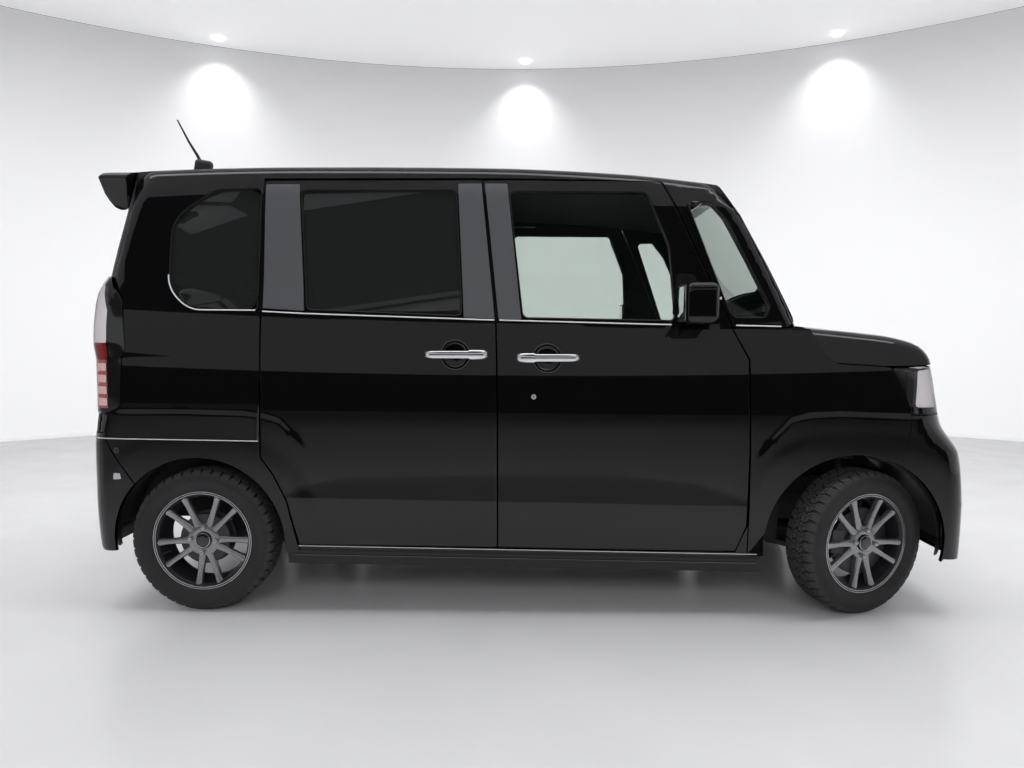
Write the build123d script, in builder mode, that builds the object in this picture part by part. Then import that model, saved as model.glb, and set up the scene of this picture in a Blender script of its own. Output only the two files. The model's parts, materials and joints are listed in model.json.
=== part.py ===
from build123d import *
from math import cos, radians, sin
import os

# Tall-bodied kei car.  Millimetres, +X forward, +Y left, +Z up.  The origin is on the
# ground, under the middle of the car's length, on its centre plane.
os.makedirs("parts", exist_ok=True)

# ---------------------------------------------------------------- driving dimensions
LENGTH = 3395.0            # bumper to bumper
WIDTH = 1475.0             # over the doors, mirrors left out
WHEELBASE = 2520.0
AXLE_SHIFT = 2.0           # the middle of the wheelbase stands this far ahead of the origin
TRACK = 1305.0
TYRE_D = 557.0
TYRE_W = 155.0
RIM_LIP_R = 194.5          # outer radius of the rim's flange
RIM_W = 128.0
NUT_PCD = 100.0
STEER_REST = 20.6          # front wheels stand turned this far to the left, in degrees
KING_PIN_IN = 53.0         # king pin inboard of the tyre's centre plane, at hub height
KING_PIN_LEAN = 14.0       # top of the king pin leans inboard, degrees
GAP = 5.0                  # shut line between two panels
SEAT = 0.3                 # clearance of a piece in its seat
RUN = 0.5                  # running gap of a pin
HINGE_X = 805.0            # front door hinge axis
HINGE_Y = -722.0
HINGE_CLEAR_R = 43.5
PLATE_HALF = 170.0
PLATE_HOLE_Y = 105.0
PLATE_HOLE_R = 3.0
GLASS_T = 5.0
GLASS_DEPTH = 9.0          # glass behind the outer skin
ARCH_FRONT_R = 342.0
ARCH_REAR_R = 334.0
ARCH_FRONT_X = -17.0       # centre of the front arch, from the axle
DOOR_T = 70.0              # whole thickness of a door below the belt
FRAME_T = 44.0             # whole thickness of a window frame or pillar
TAILGATE_T = 66.0
ROOF_T = 32.0
BONNET_T = 34.0
BUMPER_T = 48.0
FENDER_T = 42.0
LAMP_T = 90.0
FLOOR_Z = 300.0            # underside of the floor
FLOOR_T = 30.0
LOAD_FLOOR_Z = 470.0       # top of the load floor
FIREWALL_X = 985.0

HALF_L = LENGTH / 2
HALF_W = WIDTH / 2
FRONT_AXLE_X = AXLE_SHIFT + WHEELBASE / 2
REAR_AXLE_X = AXLE_SHIFT - WHEELBASE / 2
HUB_Y = TRACK / 2
HUB_Z = TYRE_D / 2
BIG = 4000.0

# Sections of the lower body, level cuts from the sills to the belt.
# z at mid-length, fall per mm forward, inset of: side, rear, front; radius of the corner
# and bow of the end: rear, front
LOWER = [
    # z      fall    side  rear   front  r_rear r_front bow_rear bow_front
    (184.0, 0.012, 24.0, 26.0, 14.0, 85.0, 115.0, 8.0, 18.0),
    (232.0, 0.012, 17.5, 4.0, 3.0, 85.0, 120.0, 8.0, 18.0),
    (428.0, 0.015, 4.5, 0.0, 0.0, 85.0, 120.0, 8.0, 18.0),
    (640.0, 0.015, 0.0, 4.0, 10.0, 85.0, 135.0, 8.0, 22.0),
    (760.0, 0.013, 1.0, 18.0, 52.0, 95.0, 180.0, 8.0, 30.0),
    (986.0, 0.012, 14.5, 26.0, 92.0, 105.0, 190.0, 8.0, 36.0),
    (1112.0, 0.030, 32.0, 30.0, 150.0, 110.0, 190.0, 8.0, 40.0),
]
# Sections of the glasshouse, from the belt to above the roof.
UPPER = [
    # z       fall    side   rear   front   r_rear r_front bow_rear bow_front
    (1112.0, 0.030, 32.0, 30.0, 587.0, 110.0, 60.0, 8.0, 70.0),
    (1250.0, 0.020, 60.0, 38.0, 645.0, 110.0, 60.0, 8.0, 72.0),
    (1400.0, 0.010, 84.0, 62.0, 714.0, 110.0, 60.0, 8.0, 74.0),
    (1540.0, 0.000, 105.0, 88.0, 788.0, 110.0, 60.0, 8.0, 76.0),
    (1660.0, 0.000, 126.0, 112.0, 868.0, 110.0, 60.0, 8.0, 78.0),
    (1830.0, 0.000, 156.0, 145.0, 985.0, 110.0, 60.0, 8.0, 80.0),
]
# Crown lines, cross cuts that give the height on the centre plane.
ROOF = [
    # x from the middle, z
    (-1800.0, 1750.0), (-1450.0, 1780.0), (-950.0, 1790.0), (-187.0, 1784.0),
    (357.0, 1759.0), (663.0, 1727.0), (900.0, 1690.0), (1250.0, 1620.0),
]
BONNET = [
    (900.0, 1142.0), (1100.0, 1124.0), (1260.0, 1106.0), (1390.0, 1084.0),
    (1480.0, 1050.0), (1560.0, 1000.0), (1640.0, 930.0), (1720.0, 850.0),
]
ROOF_FLAT = 540.0          # half-width of the roof's crown, before its edge turns down
ROOF_SAG = 49.0            # how far the crown falls to there
BONNET_FLAT = 600.0
BONNET_SAG = 20.0
EDGE_R = 70.0              # radius where a crown turns down
EDGE_TURN = 66.0           # slope at the end of that turn, degrees


# ---------------------------------------------------------------- helpers
def outline(row, inset_side, inset_rear, inset_front):
    """One level cut of the body: a box with bowed ends and round corners."""
    z, fall, side, rear, front, r_rear, r_front, bow_rear, bow_front = row
    hw = HALF_W - side - inset_side
    xf = HALF_L - front - inset_front
    xr = -(HALF_L - rear - inset_rear)
    rf = max(r_front - min(inset_side, inset_front), 5.0)
    rr = max(r_rear - min(inset_side, inset_rear), 5.0)
    f0, r0 = xf - bow_front, xr + bow_rear
    k = cos(radians(45))
    plane = Plane(origin=(0, 0, z), x_dir=(1, 0, -fall), z_dir=(fall, 0, 1))
    with BuildSketch(plane) as cut:
        with BuildLine():
            ThreePointArc((f0, -(hw - rf)), (xf, 0), (f0, hw - rf))
            ThreePointArc((f0, hw - rf), (f0 - rf + rf * k, hw - rf + rf * k), (f0 - rf, hw))
            Line((f0 - rf, hw), (r0 + rr, hw))
            ThreePointArc((r0 + rr, hw), (r0 + rr - rr * k, hw - rr + rr * k), (r0, hw - rr))
            ThreePointArc((r0, hw - rr), (xr, 0), (r0, -(hw - rr)))
            ThreePointArc((r0, -(hw - rr)), (r0 + rr - rr * k, -(hw - rr + rr * k)), (r0 + rr, -hw))
            Line((r0 + rr, -hw), (f0 - rf, -hw))
            ThreePointArc((f0 - rf, -hw), (f0 - rf + rf * k, -(hw - rf + rf * k)), (f0, -(hw - rf)))
        make_face()
    return cut.sketch


def stack(rows, side=0.0, rear=0.0, front=0.0):
    """The body between level cuts, drawn in by the given amounts."""
    with BuildPart() as solid:
        loft([outline(row, side, rear, front).face() for row in rows], ruled=True)
    return solid.part


def crown(table, flat, sag, drop=0.0):
    """All that lies under a crowned roof or bonnet, lowered by drop."""
    radius = (flat ** 2 + sag ** 2) / (2 * sag)
    start = flat / radius
    slope0 = degrees_of(start)
    turn = EDGE_TURN
    dy = EDGE_R * (sin(radians(turn)) - sin(radians(slope0)))
    dz = EDGE_R * (cos(radians(slope0)) - cos(radians(turn)))
    mid = (slope0 + turn) / 2
    my = EDGE_R * (sin(radians(mid)) - sin(radians(slope0)))
    mz = EDGE_R * (cos(radians(slope0)) - cos(radians(mid)))
    run = 260.0
    ly, lz = run * cos(radians(turn)), run * sin(radians(turn))
    faces = []
    for x, top in table:
        t = top - drop
        edge = t - sag
        with BuildSketch(Plane(origin=(x, 0, 0), x_dir=(0, 1, 0), z_dir=(1, 0, 0))) as cut:
            with BuildLine():
                low = edge - dz - lz
                out = flat + dy + ly
                ThreePointArc((-flat, edge), (0, t), (flat, edge))
                ThreePointArc((flat, edge), (flat + my, edge - mz), (flat + dy, edge - dz))
                Line((flat + dy, edge - dz), (out, low))
                Line((out, low), (out, 100.0))
                Line((out, 100.0), (-out, 100.0))
                Line((-out, 100.0), (-out, low))
                Line((-out, low), (-flat - dy, edge - dz))
                ThreePointArc((-flat - dy, edge - dz), (-flat - my, edge - mz), (-flat, edge))
            make_face()
        faces.append(cut.sketch.face())
    with BuildPart() as solid:
        loft(faces)
    return solid.part


def degrees_of(angle):
    return angle * 57.29577951308232


def side_prism(points, radius=None, grow=0.0, depth=(150.0, 900.0)):
    """What lies behind a side-view outline, on the right-hand side of the car."""
    with BuildPart() as prism:
        with BuildSketch(Plane.XZ.offset(depth[0])):
            with BuildLine():
                if radius:
                    FilletPolyline(*points, radius=radius, close=True)
                else:
                    Polyline(*points, close=True)
            make_face()
            if grow:
                offset(amount=grow, kind=Kind.INTERSECTION)
        extrude(amount=depth[1] - depth[0])
    return prism.part


def rear_prism(points, radius=None, grow=0.0, x0=-BIG / 2, x1=0.0):
    """What lies behind an outline in the rear or front view, between two lengths."""
    with BuildPart() as prism:
        with BuildSketch(Plane.YZ.offset(x0)):
            with BuildLine():
                if radius:
                    FilletPolyline(*points, radius=radius, close=True)
                else:
                    Polyline(*points, close=True)
            make_face()
            if grow:
                offset(amount=grow, kind=Kind.INTERSECTION)
        extrude(amount=x1 - x0)
    return prism.part


def box(x0, x1, y0, y1, z0, z1):
    with BuildPart() as solid:
        with Locations(((x0 + x1) / 2, (y0 + y1) / 2, (z0 + z1) / 2)):
            Box(x1 - x0, y1 - y0, z1 - z0)
    return solid.part


def drum(x, z, r, y0, y1):
    """A cylinder across the car."""
    with BuildPart() as solid:
        with BuildSketch(Plane.XZ.offset(-y1)):
            with Locations((x, z)):
                Circle(r)
        extrude(amount=y1 - y0)
    return solid.part


def drum_up(x, y, r, z0, z1):
    """An upright cylinder."""
    with BuildPart() as solid:
        with BuildSketch(Plane.XY.offset(z0)):
            with Locations((x, y)):
                Circle(r)
        extrude(amount=z1 - z0)
    return solid.part


def plate_holes(x0, x1, z):
    """The two screw holes of a number plate, along the car."""
    with BuildPart() as holes:
        with BuildSketch(Plane.YZ.offset(x0)):
            with Locations((-PLATE_HOLE_Y, z), (PLATE_HOLE_Y, z)):
                Circle(PLATE_HOLE_R)
        extrude(amount=x1 - x0)
    return holes.part


def common(*solids):
    with BuildPart() as out:
        add(solids[0])
        for other in solids[1:]:
            add(other, mode=Mode.INTERSECT)
    return out.part


def less(first, *others):
    with BuildPart() as out:
        add(first)
        for other in others:
            add(other, mode=Mode.SUBTRACT)
    return out.part


def joined(*solids):
    with BuildPart() as out:
        for solid in solids:
            add(solid)
    return out.part


def to_left(solid):
    return mirror(solid, about=Plane.XZ)


def save(part, name):
    part.label = name
    export_step(part, f"parts/{name}.step")



# ---------------------------------------------------------------- masters
TOP_BOX = box(-BIG / 2, BONNET[0][0] + 5, -BIG / 4, BIG / 4, 0, 1300)


def low_body(side=0.0, rear=0.0, front=0.0, drop=0.0):
    return common(stack(LOWER, side, rear, front),
                  joined(crown(BONNET, BONNET_FLAT, BONNET_SAG, drop), TOP_BOX))


def high_body(side=0.0, rear=0.0, front=0.0, drop=0.0):
    return common(stack(UPPER, side, rear, front), crown(ROOF, ROOF_FLAT, ROOF_SAG, drop))


RIGHT = box(-BIG / 2, BIG / 2, -BIG / 4, 0, 0, 2500)
outer_low, outer_high = low_body(), high_body()
outer = joined(outer_low, outer_high)
cabin_low = common(stack(LOWER, DOOR_T, TAILGATE_T, 0), box(-BIG / 2, FIREWALL_X, -BIG / 4, BIG / 4,
                                                            FLOOR_Z + FLOOR_T, 1300))
cabin_high = high_body(FRAME_T, TAILGATE_T, FRAME_T, ROOF_T)
cabin = joined(cabin_low, cabin_high)
# Everything inboard of the doors, with the clearance that their seals fill.
within = joined(stack(LOWER, DOOR_T + 6, 0, 0), stack(UPPER, FRAME_T + 6, 0, 0))
nose_inner = low_body(FENDER_T, 0, BUMPER_T, BONNET_T)
nose_seat = low_body(FENDER_T + SEAT, 0, BUMPER_T + SEAT, BONNET_T + SEAT)

# ---------------------------------------------------------------- side-view outlines
DOOR_TOP = 1674.0
DOOR_SILL = 262.0
B_GAP_X = -110.0
A_GAP_X = 843.0
C_GAP_X = -1013.0
FRONT_DOOR = [
    (B_GAP_X, DOOR_SILL), (A_GAP_X - 45, DOOR_SILL - 12), (A_GAP_X - 6, 350), (A_GAP_X, 640),
    (A_GAP_X - 6, 985), (774, 1109), (522, DOOR_TOP), (B_GAP_X - 62, DOOR_TOP), (B_GAP_X - 6, 1109),
    (B_GAP_X, 830),
]
SLIDE_DOOR = [
    (B_GAP_X, DOOR_SILL), (B_GAP_X, 830), (B_GAP_X - 6, 1109), (B_GAP_X - 62, DOOR_TOP),
    (C_GAP_X - 7, DOOR_TOP), (C_GAP_X, 1150), (C_GAP_X, 611), (C_GAP_X + 48, 541),
    (C_GAP_X + 95, 444), (C_GAP_X + 138, DOOR_SILL + 6),
]
FRONT_GLASS = [(-70, 1631), (-15, 1140), (566, 1128), (548, 1415), (462, 1626)]
SLIDE_GLASS = [(-878, 1638), (-271, 1635), (-244, 1147), (-842, 1171)]
REAR_QUARTER = [(-1029, 1646), (-1215, 1640), (-1378, 1530), (-1378, 1250), (-1290, 1168),
                (-1027, 1167)]
FRONT_QUARTER = [(612, 1590), (704, 1590), (772, 1510), (926, 1180), (905, 1139), (790, 1139),
                 (768, 1160)]
BONNET_SIDE = [(1080, 1400), (1080, 1102), (1104, 1045), (1139, 989), (1172, 969), (1353, 957),
               (1800, 965), (1800, 1400)]
BUMPER_SIDE = [(1441, 774), (1438, 720), (1400, 560), (1300, 420), (1300, 100), (1800, 100),
               (1800, 774)]
LAMP_SIDE = [(1364, 953), (1400, 889), (1441, 774), (1800, 774), (1800, 961), (1483, 955)]
FENDER_LOW = 243.0
FENDER_SIDE = [
    (A_GAP_X, FENDER_LOW), (A_GAP_X, 640), (A_GAP_X - 6, 985), (779, 1101), (1080, 1101), (1104, 1045),
    (1139, 989), (1172, 969), (1353, 957), (1364, 953), (1400, 889), (1441, 774),
    (1438, 720), (1400, 560), (1300, 420), (1300, FENDER_LOW),
]
REAR_BUMPER_SIDE = [(-1800, 700), (-1618, 700), (-1590, 636), (-1510, 520), (-1400, 420),
                    (-1400, 100), (-1800, 100)]
TAIL_LAMP_SIDE = [(-1800, 1271), (-1601, 1268), (-1545, 1190), (-1530, 1037), (-1543, 990),
                  (-1547, 805), (-1609, 774), (-1800, 774)]
GATE_HALF = 575.0
GATE_TOP_HALF = 540.0
GATE_LOW = 486.0
GATE_TOP = 1690.0
GATE_REAR_VIEW = [(-GATE_HALF, GATE_LOW), (GATE_HALF, GATE_LOW), (GATE_HALF, 1280),
                  (GATE_TOP_HALF, GATE_TOP), (GATE_TOP_HALF, 1900), (-GATE_TOP_HALF, 1900),
                  (-GATE_TOP_HALF, GATE_TOP), (-GATE_HALF, 1280)]
GATE_GLASS = [(-520, 1165), (520, 1165), (480, 1560), (-480, 1560)]
SCREEN = [(-636, 1124), (636, 1124), (560, 1640), (200, 1682), (-200, 1682), (-560, 1640)]
ROOF_HALF = 552.0
SKIRT_X = (-922.0, 898.0)
SKIRT_TOP = 244.0          # top of the side skirt at mid-length
SKIRT_H = 65.0
SKIRT_FALL = 0.014         # per millimetre forward
UNDER_SILL = [(-1800, 0), (1800, 0), (1800, SKIRT_TOP + SEAT - SKIRT_FALL * 1800),
              (-1800, SKIRT_TOP + SEAT + SKIRT_FALL * 1800)]
ROOF_REAR_X = -1545.0


def shrunk(points, radius=None, depth=(150.0, 900.0)):
    return side_prism(points, radius, -GAP / 2, depth)


def widened(points, radius=None, depth=(150.0, 900.0)):
    return side_prism(points, radius, GAP / 2, depth)


def seated(points, depth=(150.0, 900.0)):
    """For a fixed panel, which meets its fixed neighbours."""
    return side_prism(points, None, -SEAT / 2, depth)


def set_in(points, depth=(150.0, 900.0)):
    """For a fixed panel that fills its own cut in the body side."""
    return side_prism(points, None, GAP / 2 - SEAT, depth)


front_arch = drum(FRONT_AXLE_X + ARCH_FRONT_X, HUB_Z + 6, ARCH_FRONT_R, -BIG / 4, -415)
rear_arch = drum(REAR_AXLE_X - 4, HUB_Z - 3, ARCH_REAR_R, -BIG / 4, -ROOF_HALF + 2)
hinge_scoop = drum_up(HINGE_X, HINGE_Y, HINGE_CLEAR_R, DOOR_SILL - 20, 1100)
gate_zone = rear_prism(GATE_REAR_VIEW, None, GAP / 2, -BIG / 2, ROOF_REAR_X)
bumper_zone = joined(widened(REAR_BUMPER_SIDE, None, (0.0, 900.0)),
                     box(-BIG / 2, -1500, -GATE_HALF - 10, 0, 100, GATE_LOW - GAP))
bumper_zone = less(bumper_zone, rear_prism(GATE_REAR_VIEW, None, GAP / 2, -BIG / 2, -1300))

# ---------------------------------------------------------------- body sides
wall = common(less(outer, cabin), box(-BIG / 2, 1140, -BIG / 4, -ROOF_HALF, 0, 2500))
front_door_space = less(widened(FRONT_DOOR), within)
slide_door_space = less(widened(SLIDE_DOOR), within)
screen_zone = rear_prism(SCREEN, 40, GAP / 2, 600, 1400)
side = less(wall, front_door_space, slide_door_space, widened(FENDER_SIDE), widened(BONNET_SIDE), rear_arch, gate_zone,
            bumper_zone, widened(TAIL_LAMP_SIDE), screen_zone, side_prism(REAR_QUARTER, 60),
            side_prism(FRONT_QUARTER, 22), front_arch,
            box(FIREWALL_X, BIG / 2, -BIG / 4, 0, 0, 1060),
            side_prism(UNDER_SILL, None, 0, (0.0, 900.0)), hinge_scoop)
body_side = max(side.solids(), key=lambda s: s.volume)
B_PILLAR = (-160.0, -70.0)
B_PILLAR_T = 38.0
pillar_ring = less(within, joined(stack(LOWER, DOOR_T + 6 + B_PILLAR_T, 0, 0),
                                  stack(UPPER, FRAME_T + 6 + B_PILLAR_T, 0, 0)))
pillar = common(pillar_ring, box(B_PILLAR[0], B_PILLAR[1], -BIG / 4, -400, FLOOR_Z + 10, 1760),
                crown(ROOF, ROOF_FLAT, ROOF_SAG, ROOF_T + SEAT))
pillar_head = common(outer, box(B_PILLAR[0], B_PILLAR[1], -BIG / 4, -500, DOOR_TOP + GAP, 1760),
                     crown(ROOF, ROOF_FLAT, ROOF_SAG, ROOF_T + SEAT))
STOP_Z = (880.0, 910.0)
stop_ring = less(stack(LOWER, DOOR_T + SEAT, 0, 0), stack(LOWER, DOOR_T + 8, 0, 0))
door_stops = common(stop_ring, joined(box(B_GAP_X + 10, B_GAP_X + 34, -BIG / 4, -400, *STOP_Z),
                                      box(B_GAP_X - 40, B_GAP_X - 10, -BIG / 4, -400, *STOP_Z)))
body_side_right = joined(body_side, pillar, pillar_head, door_stops)
save(body_side_right, "body_side_right")

# ---------------------------------------------------------------- doors
inboard = joined(stack(LOWER, DOOR_T, 0, 0), stack(UPPER, FRAME_T, 0, 0))
skin_side = less(outer, inboard)
HANDLE_Z = 996.0
HANDLE_OUT = 24.0
HANDLE_L = 236.0
FRONT_HANDLE_X = 87.0
SLIDE_HANDLE_X = -262.0
HANDLE_SKIN_Y = -(HALF_W - 15.0)


def handle(x_mid, z_mid):
    """A pull bar on two feet, standing off the door's skin."""
    y_bar = HANDLE_SKIN_Y - HANDLE_OUT
    with BuildPart() as bar:
        with BuildSketch(Plane.XZ.offset(-y_bar - 14)):
            with Locations((x_mid, z_mid)):
                SlotOverall(HANDLE_L, 27)
        extrude(amount=14)
        with Locations((x_mid - 100, HANDLE_SKIN_Y - 6, z_mid), (x_mid + 92, HANDLE_SKIN_Y - 6, z_mid)):
            Box(34, 38, 22)
    return bar.part


def door(points, glass, handle_x, handle_z):
    skin = less(common(skin_side, shrunk(points)), side_prism(glass, 22))
    cup = drum(handle_x - 8, handle_z, 46, HANDLE_SKIN_Y - 30, HANDLE_SKIN_Y + 16)
    return joined(less(skin, cup), handle(handle_x, handle_z))


door_front = door(FRONT_DOOR, FRONT_GLASS, FRONT_HANDLE_X, HANDLE_Z - 8)
door_slide = door(SLIDE_DOOR, SLIDE_GLASS, SLIDE_HANDLE_X, HANDLE_Z + 4)
for name, solid in (("door_front", door_front), ("door_slide", door_slide)):
    save(solid, name + "_right")
    save(to_left(solid), name + "_left")

# ---------------------------------------------------------------- side glass
pane_ring = less(high_body(GLASS_DEPTH, 0, 0), high_body(GLASS_DEPTH + GLASS_T, -20, -20))


def pane(points, radius):
    return common(pane_ring, side_prism(points, radius, -SEAT, (300.0, 900.0)))


front_pane = pane(FRONT_GLASS, 22)
save(front_pane, "glass_front_right")
save(to_left(front_pane), "glass_front_left")
fixed_panes = [pane(SLIDE_GLASS, 22), pane(REAR_QUARTER, 60), pane(FRONT_QUARTER, 22)]
save(Compound(children=fixed_panes + [to_left(p) for p in fixed_panes]), "glass_side")

# ---------------------------------------------------------------- roof, screen, tailgate
roof_zone = less(box(ROOF_REAR_X + GAP / 2, 1000, -ROOF_HALF + SEAT, ROOF_HALF - SEAT, 1560, 2000), screen_zone)
roof = less(common(outer_high, roof_zone), cabin)
ANTENNA = (-1240.0, -400.0)
antenna_z = ROOF[1][1] - 22.0
with BuildPart() as mast:
    with BuildSketch(Plane.XY.offset(antenna_z)):
        with Locations((ANTENNA[0] - 6, ANTENNA[1])):
            SlotOverall(66, 34)
    extrude(amount=20, taper=12)
    with Locations(Plane(origin=(ANTENNA[0], ANTENNA[1], antenna_z + 12), z_dir=(-0.42, 0, 0.9075))):
        Cylinder(3.2, 172, align=(Align.CENTER, Align.CENTER, Align.MIN))
save(joined(roof, mast.part), "roof")

screen = common(less(stack(UPPER, 0, 0, 3), stack(UPPER, 0, 0, 3 + GLASS_T)),
                rear_prism(SCREEN, 40, GAP / 2 - SEAT, 600, 1400))
save(screen, "windshield")

gate_skin = less(outer, stack(LOWER, 0, TAILGATE_T, 0), stack(UPPER, 0, TAILGATE_T, 0))
GATE_PLATE_X = -1663.5
GATE_PLATE_Z = (700.0, 875.0)
gate = less(common(gate_skin, rear_prism(GATE_REAR_VIEW, None, -GAP / 2, -BIG / 2,
                                         ROOF_REAR_X - GAP / 2)),
            rear_prism(GATE_GLASS, 40, 0, -BIG / 2, ROOF_REAR_X),
            box(-1800, GATE_PLATE_X, -PLATE_HALF - 2, PLATE_HALF + 2, *GATE_PLATE_Z),
            plate_holes(GATE_PLATE_X - 2, GATE_PLATE_X + 18, GATE_PLATE_Z[1] - 35))
save(gate, "tailgate")
gate_pane = common(less(stack(UPPER, 0, GLASS_DEPTH, 0), stack(UPPER, -20, GLASS_DEPTH + GLASS_T, -20)),
                   rear_prism(GATE_GLASS, 40, -SEAT, -BIG / 2, -1300))
save(gate_pane, "glass_tailgate")

with BuildPart() as wing:
    with BuildSketch(Plane.XZ):
        with BuildLine():
            FilletPolyline((-1697.5, 1694), (-1690, 1634), (-1655, 1598), (-1628, 1598), (-1612, 1694),
                           (-1560, 1722), (-1560, 1738), radius=5, close=True)
        make_face()
    extrude(amount=582, both=True)
save(less(wing.part, outer), "spoiler")

# ---------------------------------------------------------------- nose
BONNET_REAR_SIDE = 1083.0
BONNET_REAR_MID = 1160.0
BONNET_REAR_HALF = 640.0
with BuildPart() as bonnet_plan:
    with BuildSketch(Plane.XY.offset(800)):
        with BuildLine():
            ThreePointArc((BONNET_REAR_SIDE, -BONNET_REAR_HALF), (BONNET_REAR_MID, 0),
                          (BONNET_REAR_SIDE, BONNET_REAR_HALF))
            Polyline((BONNET_REAR_SIDE, BONNET_REAR_HALF), (BONNET_REAR_SIDE, 900), (1900, 900),
                     (1900, -900), (BONNET_REAR_SIDE, -900), (BONNET_REAR_SIDE, -BONNET_REAR_HALF))
        make_face()
    extrude(amount=500)
nose_skin = less(outer_low, nose_inner)
bonnet_side_zone = side_prism(BONNET_SIDE, None, -GAP / 2, (-900.0, 900.0))
bonnet = common(nose_skin, bonnet_side_zone, bonnet_plan.part)
save(bonnet, "bonnet")

COWL_X = (FIREWALL_X + 2, 1150.0)
with BuildPart() as cowl_plan:
    with BuildSketch(Plane.XY.offset(900)):
        with BuildLine():
            ThreePointArc((BONNET_REAR_SIDE - GAP, -BONNET_REAR_HALF + 10), (BONNET_REAR_MID - GAP, 0),
                          (BONNET_REAR_SIDE - GAP, BONNET_REAR_HALF - 10))
            Polyline((BONNET_REAR_SIDE - GAP, BONNET_REAR_HALF - 10),
                     (COWL_X[0], BONNET_REAR_HALF - 10), (COWL_X[0], -BONNET_REAR_HALF + 10),
                     (BONNET_REAR_SIDE - GAP, -BONNET_REAR_HALF + 10))
        make_face()
    extrude(amount=260)
cowl_skin = less(outer, low_body(0, 0, 0, 46), high_body(0, 0, FRAME_T))
cowl = common(cowl_skin, cowl_plan.part)
fender_edge = side_prism(FENDER_SIDE, None, SEAT / 2)
cowl = less(cowl, screen_zone, wall, to_left(wall), fender_edge, to_left(fender_edge))
save(max(cowl.solids(), key=lambda s: s.volume), "cowl")

fender_skin = common(nose_skin, seated(FENDER_SIDE), box(-BIG, BIG, -BIG, -400, 0, 2000))
fender = less(fender_skin, front_arch, widened(FRONT_DOOR), widened(BONNET_SIDE), hinge_scoop)
fender = max(fender.solids(), key=lambda s: s.volume)
save(fender, "fender_right")
save(to_left(fender), "fender_left")

LAMP_INNER_Y = 408.0
lamp_skin = less(outer_low, stack(LOWER, 36, 0, LAMP_T))
lamp = less(common(lamp_skin, seated(LAMP_SIDE, (LAMP_INNER_Y + SEAT / 2, 900.0))), widened(BONNET_SIDE))
save(Compound(children=[lamp, to_left(lamp)]), "headlamps")

GRILLE_Z = (786.0, 950.0)
GRILLE_BARS = 4
GRILLE_BAR_H = 17.0
grille_skin = less(stack(LOWER, 0, 0, 8), stack(LOWER, 0, 0, 44))
grille_zone = box(1400, 1800, -LAMP_INNER_Y + SEAT / 2, LAMP_INNER_Y - SEAT / 2, 774.2, 958)
pitch = (GRILLE_Z[1] - GRILLE_Z[0]) / GRILLE_BARS
slots = [box(1400, 1800, -LAMP_INNER_Y + 18, LAMP_INNER_Y - 18, GRILLE_Z[0] + i * pitch + 4,
             GRILLE_Z[0] + (i + 1) * pitch - GRILLE_BAR_H + 4) for i in range(GRILLE_BARS)]
grille_back = common(less(stack(LOWER, 0, 0, 36), stack(LOWER, 0, 0, 44)), grille_zone)
grille = joined(less(common(grille_skin, grille_zone), *slots), grille_back)
save(grille, "grille")

INTAKE = [(-430, 300), (430, 300), (470, 420), (-470, 420)]
bumper_skin = less(outer_low, low_body(BUMPER_T, 0, BUMPER_T, 0))
FRONT_PLATE_X = 1696.5
FRONT_PLATE_Z = (505.0, 670.0)
plate_seat = box(1662, FRONT_PLATE_X, -PLATE_HALF, PLATE_HALF, *FRONT_PLATE_Z)


front_bumper = less(
    joined(common(bumper_skin, seated(BUMPER_SIDE, (-900.0, 900.0))), plate_seat),
    front_arch, to_left(front_arch), rear_prism(INTAKE, 25, 0, 1400, 1900),
    plate_holes(FRONT_PLATE_X - 20, FRONT_PLATE_X + 5, FRONT_PLATE_Z[1] - 22))
INTAKE_BARS = 3
intake_mesh = common(less(stack(LOWER, 0, 0, 30), stack(LOWER, 0, 0, BUMPER_T)),
                     rear_prism(INTAKE, 25, 6, 1400, 1900))
front_bumper = joined(front_bumper, *[
    common(intake_mesh, box(1400, 1900, -BIG, BIG, 322 + 30 * i, 334 + 30 * i))
    for i in range(INTAKE_BARS)])
save(front_bumper, "front_bumper")

# ---------------------------------------------------------------- tail
rear_skin = less(outer_low, low_body(BUMPER_T, BUMPER_T, 0, 0))
clear_gate = rear_prism(GATE_REAR_VIEW, None, GAP / 2, -BIG / 2, -1300)
rear_bumper = less(common(rear_skin, joined(
    set_in(REAR_BUMPER_SIDE, (-900.0, 900.0)))), rear_arch,
    to_left(rear_arch), clear_gate)
save(rear_bumper, "rear_bumper")

lamp_zone = set_in(TAIL_LAMP_SIDE, (GATE_HALF + GAP / 2 + 2, 900.0))
tail_lamp = common(less(outer, stack(LOWER, DOOR_T, TAILGATE_T, 0), stack(UPPER, DOOR_T, TAILGATE_T, 0)),
                   lamp_zone)
save(Compound(children=[tail_lamp, to_left(tail_lamp)]), "tail_lamps")

skirt_z = SKIRT_TOP - SKIRT_FALL * SKIRT_X[0]
with BuildPart() as skirt:
    with BuildSketch(Plane.YZ.offset(SKIRT_X[0])):
        with BuildLine():
            FilletPolyline((-640, skirt_z - SKIRT_H + 22), (-700, skirt_z - SKIRT_H),
                           (-716, skirt_z - SKIRT_H), (-724, skirt_z - 12), (-720, skirt_z),
                           (-640, skirt_z), radius=3, close=True)
        make_face()
    extrude(amount=SKIRT_X[1] - SKIRT_X[0], dir=(1, 0, -SKIRT_FALL))
save(Compound(children=[skirt.part, to_left(skirt.part)]), "side_skirts")

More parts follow.
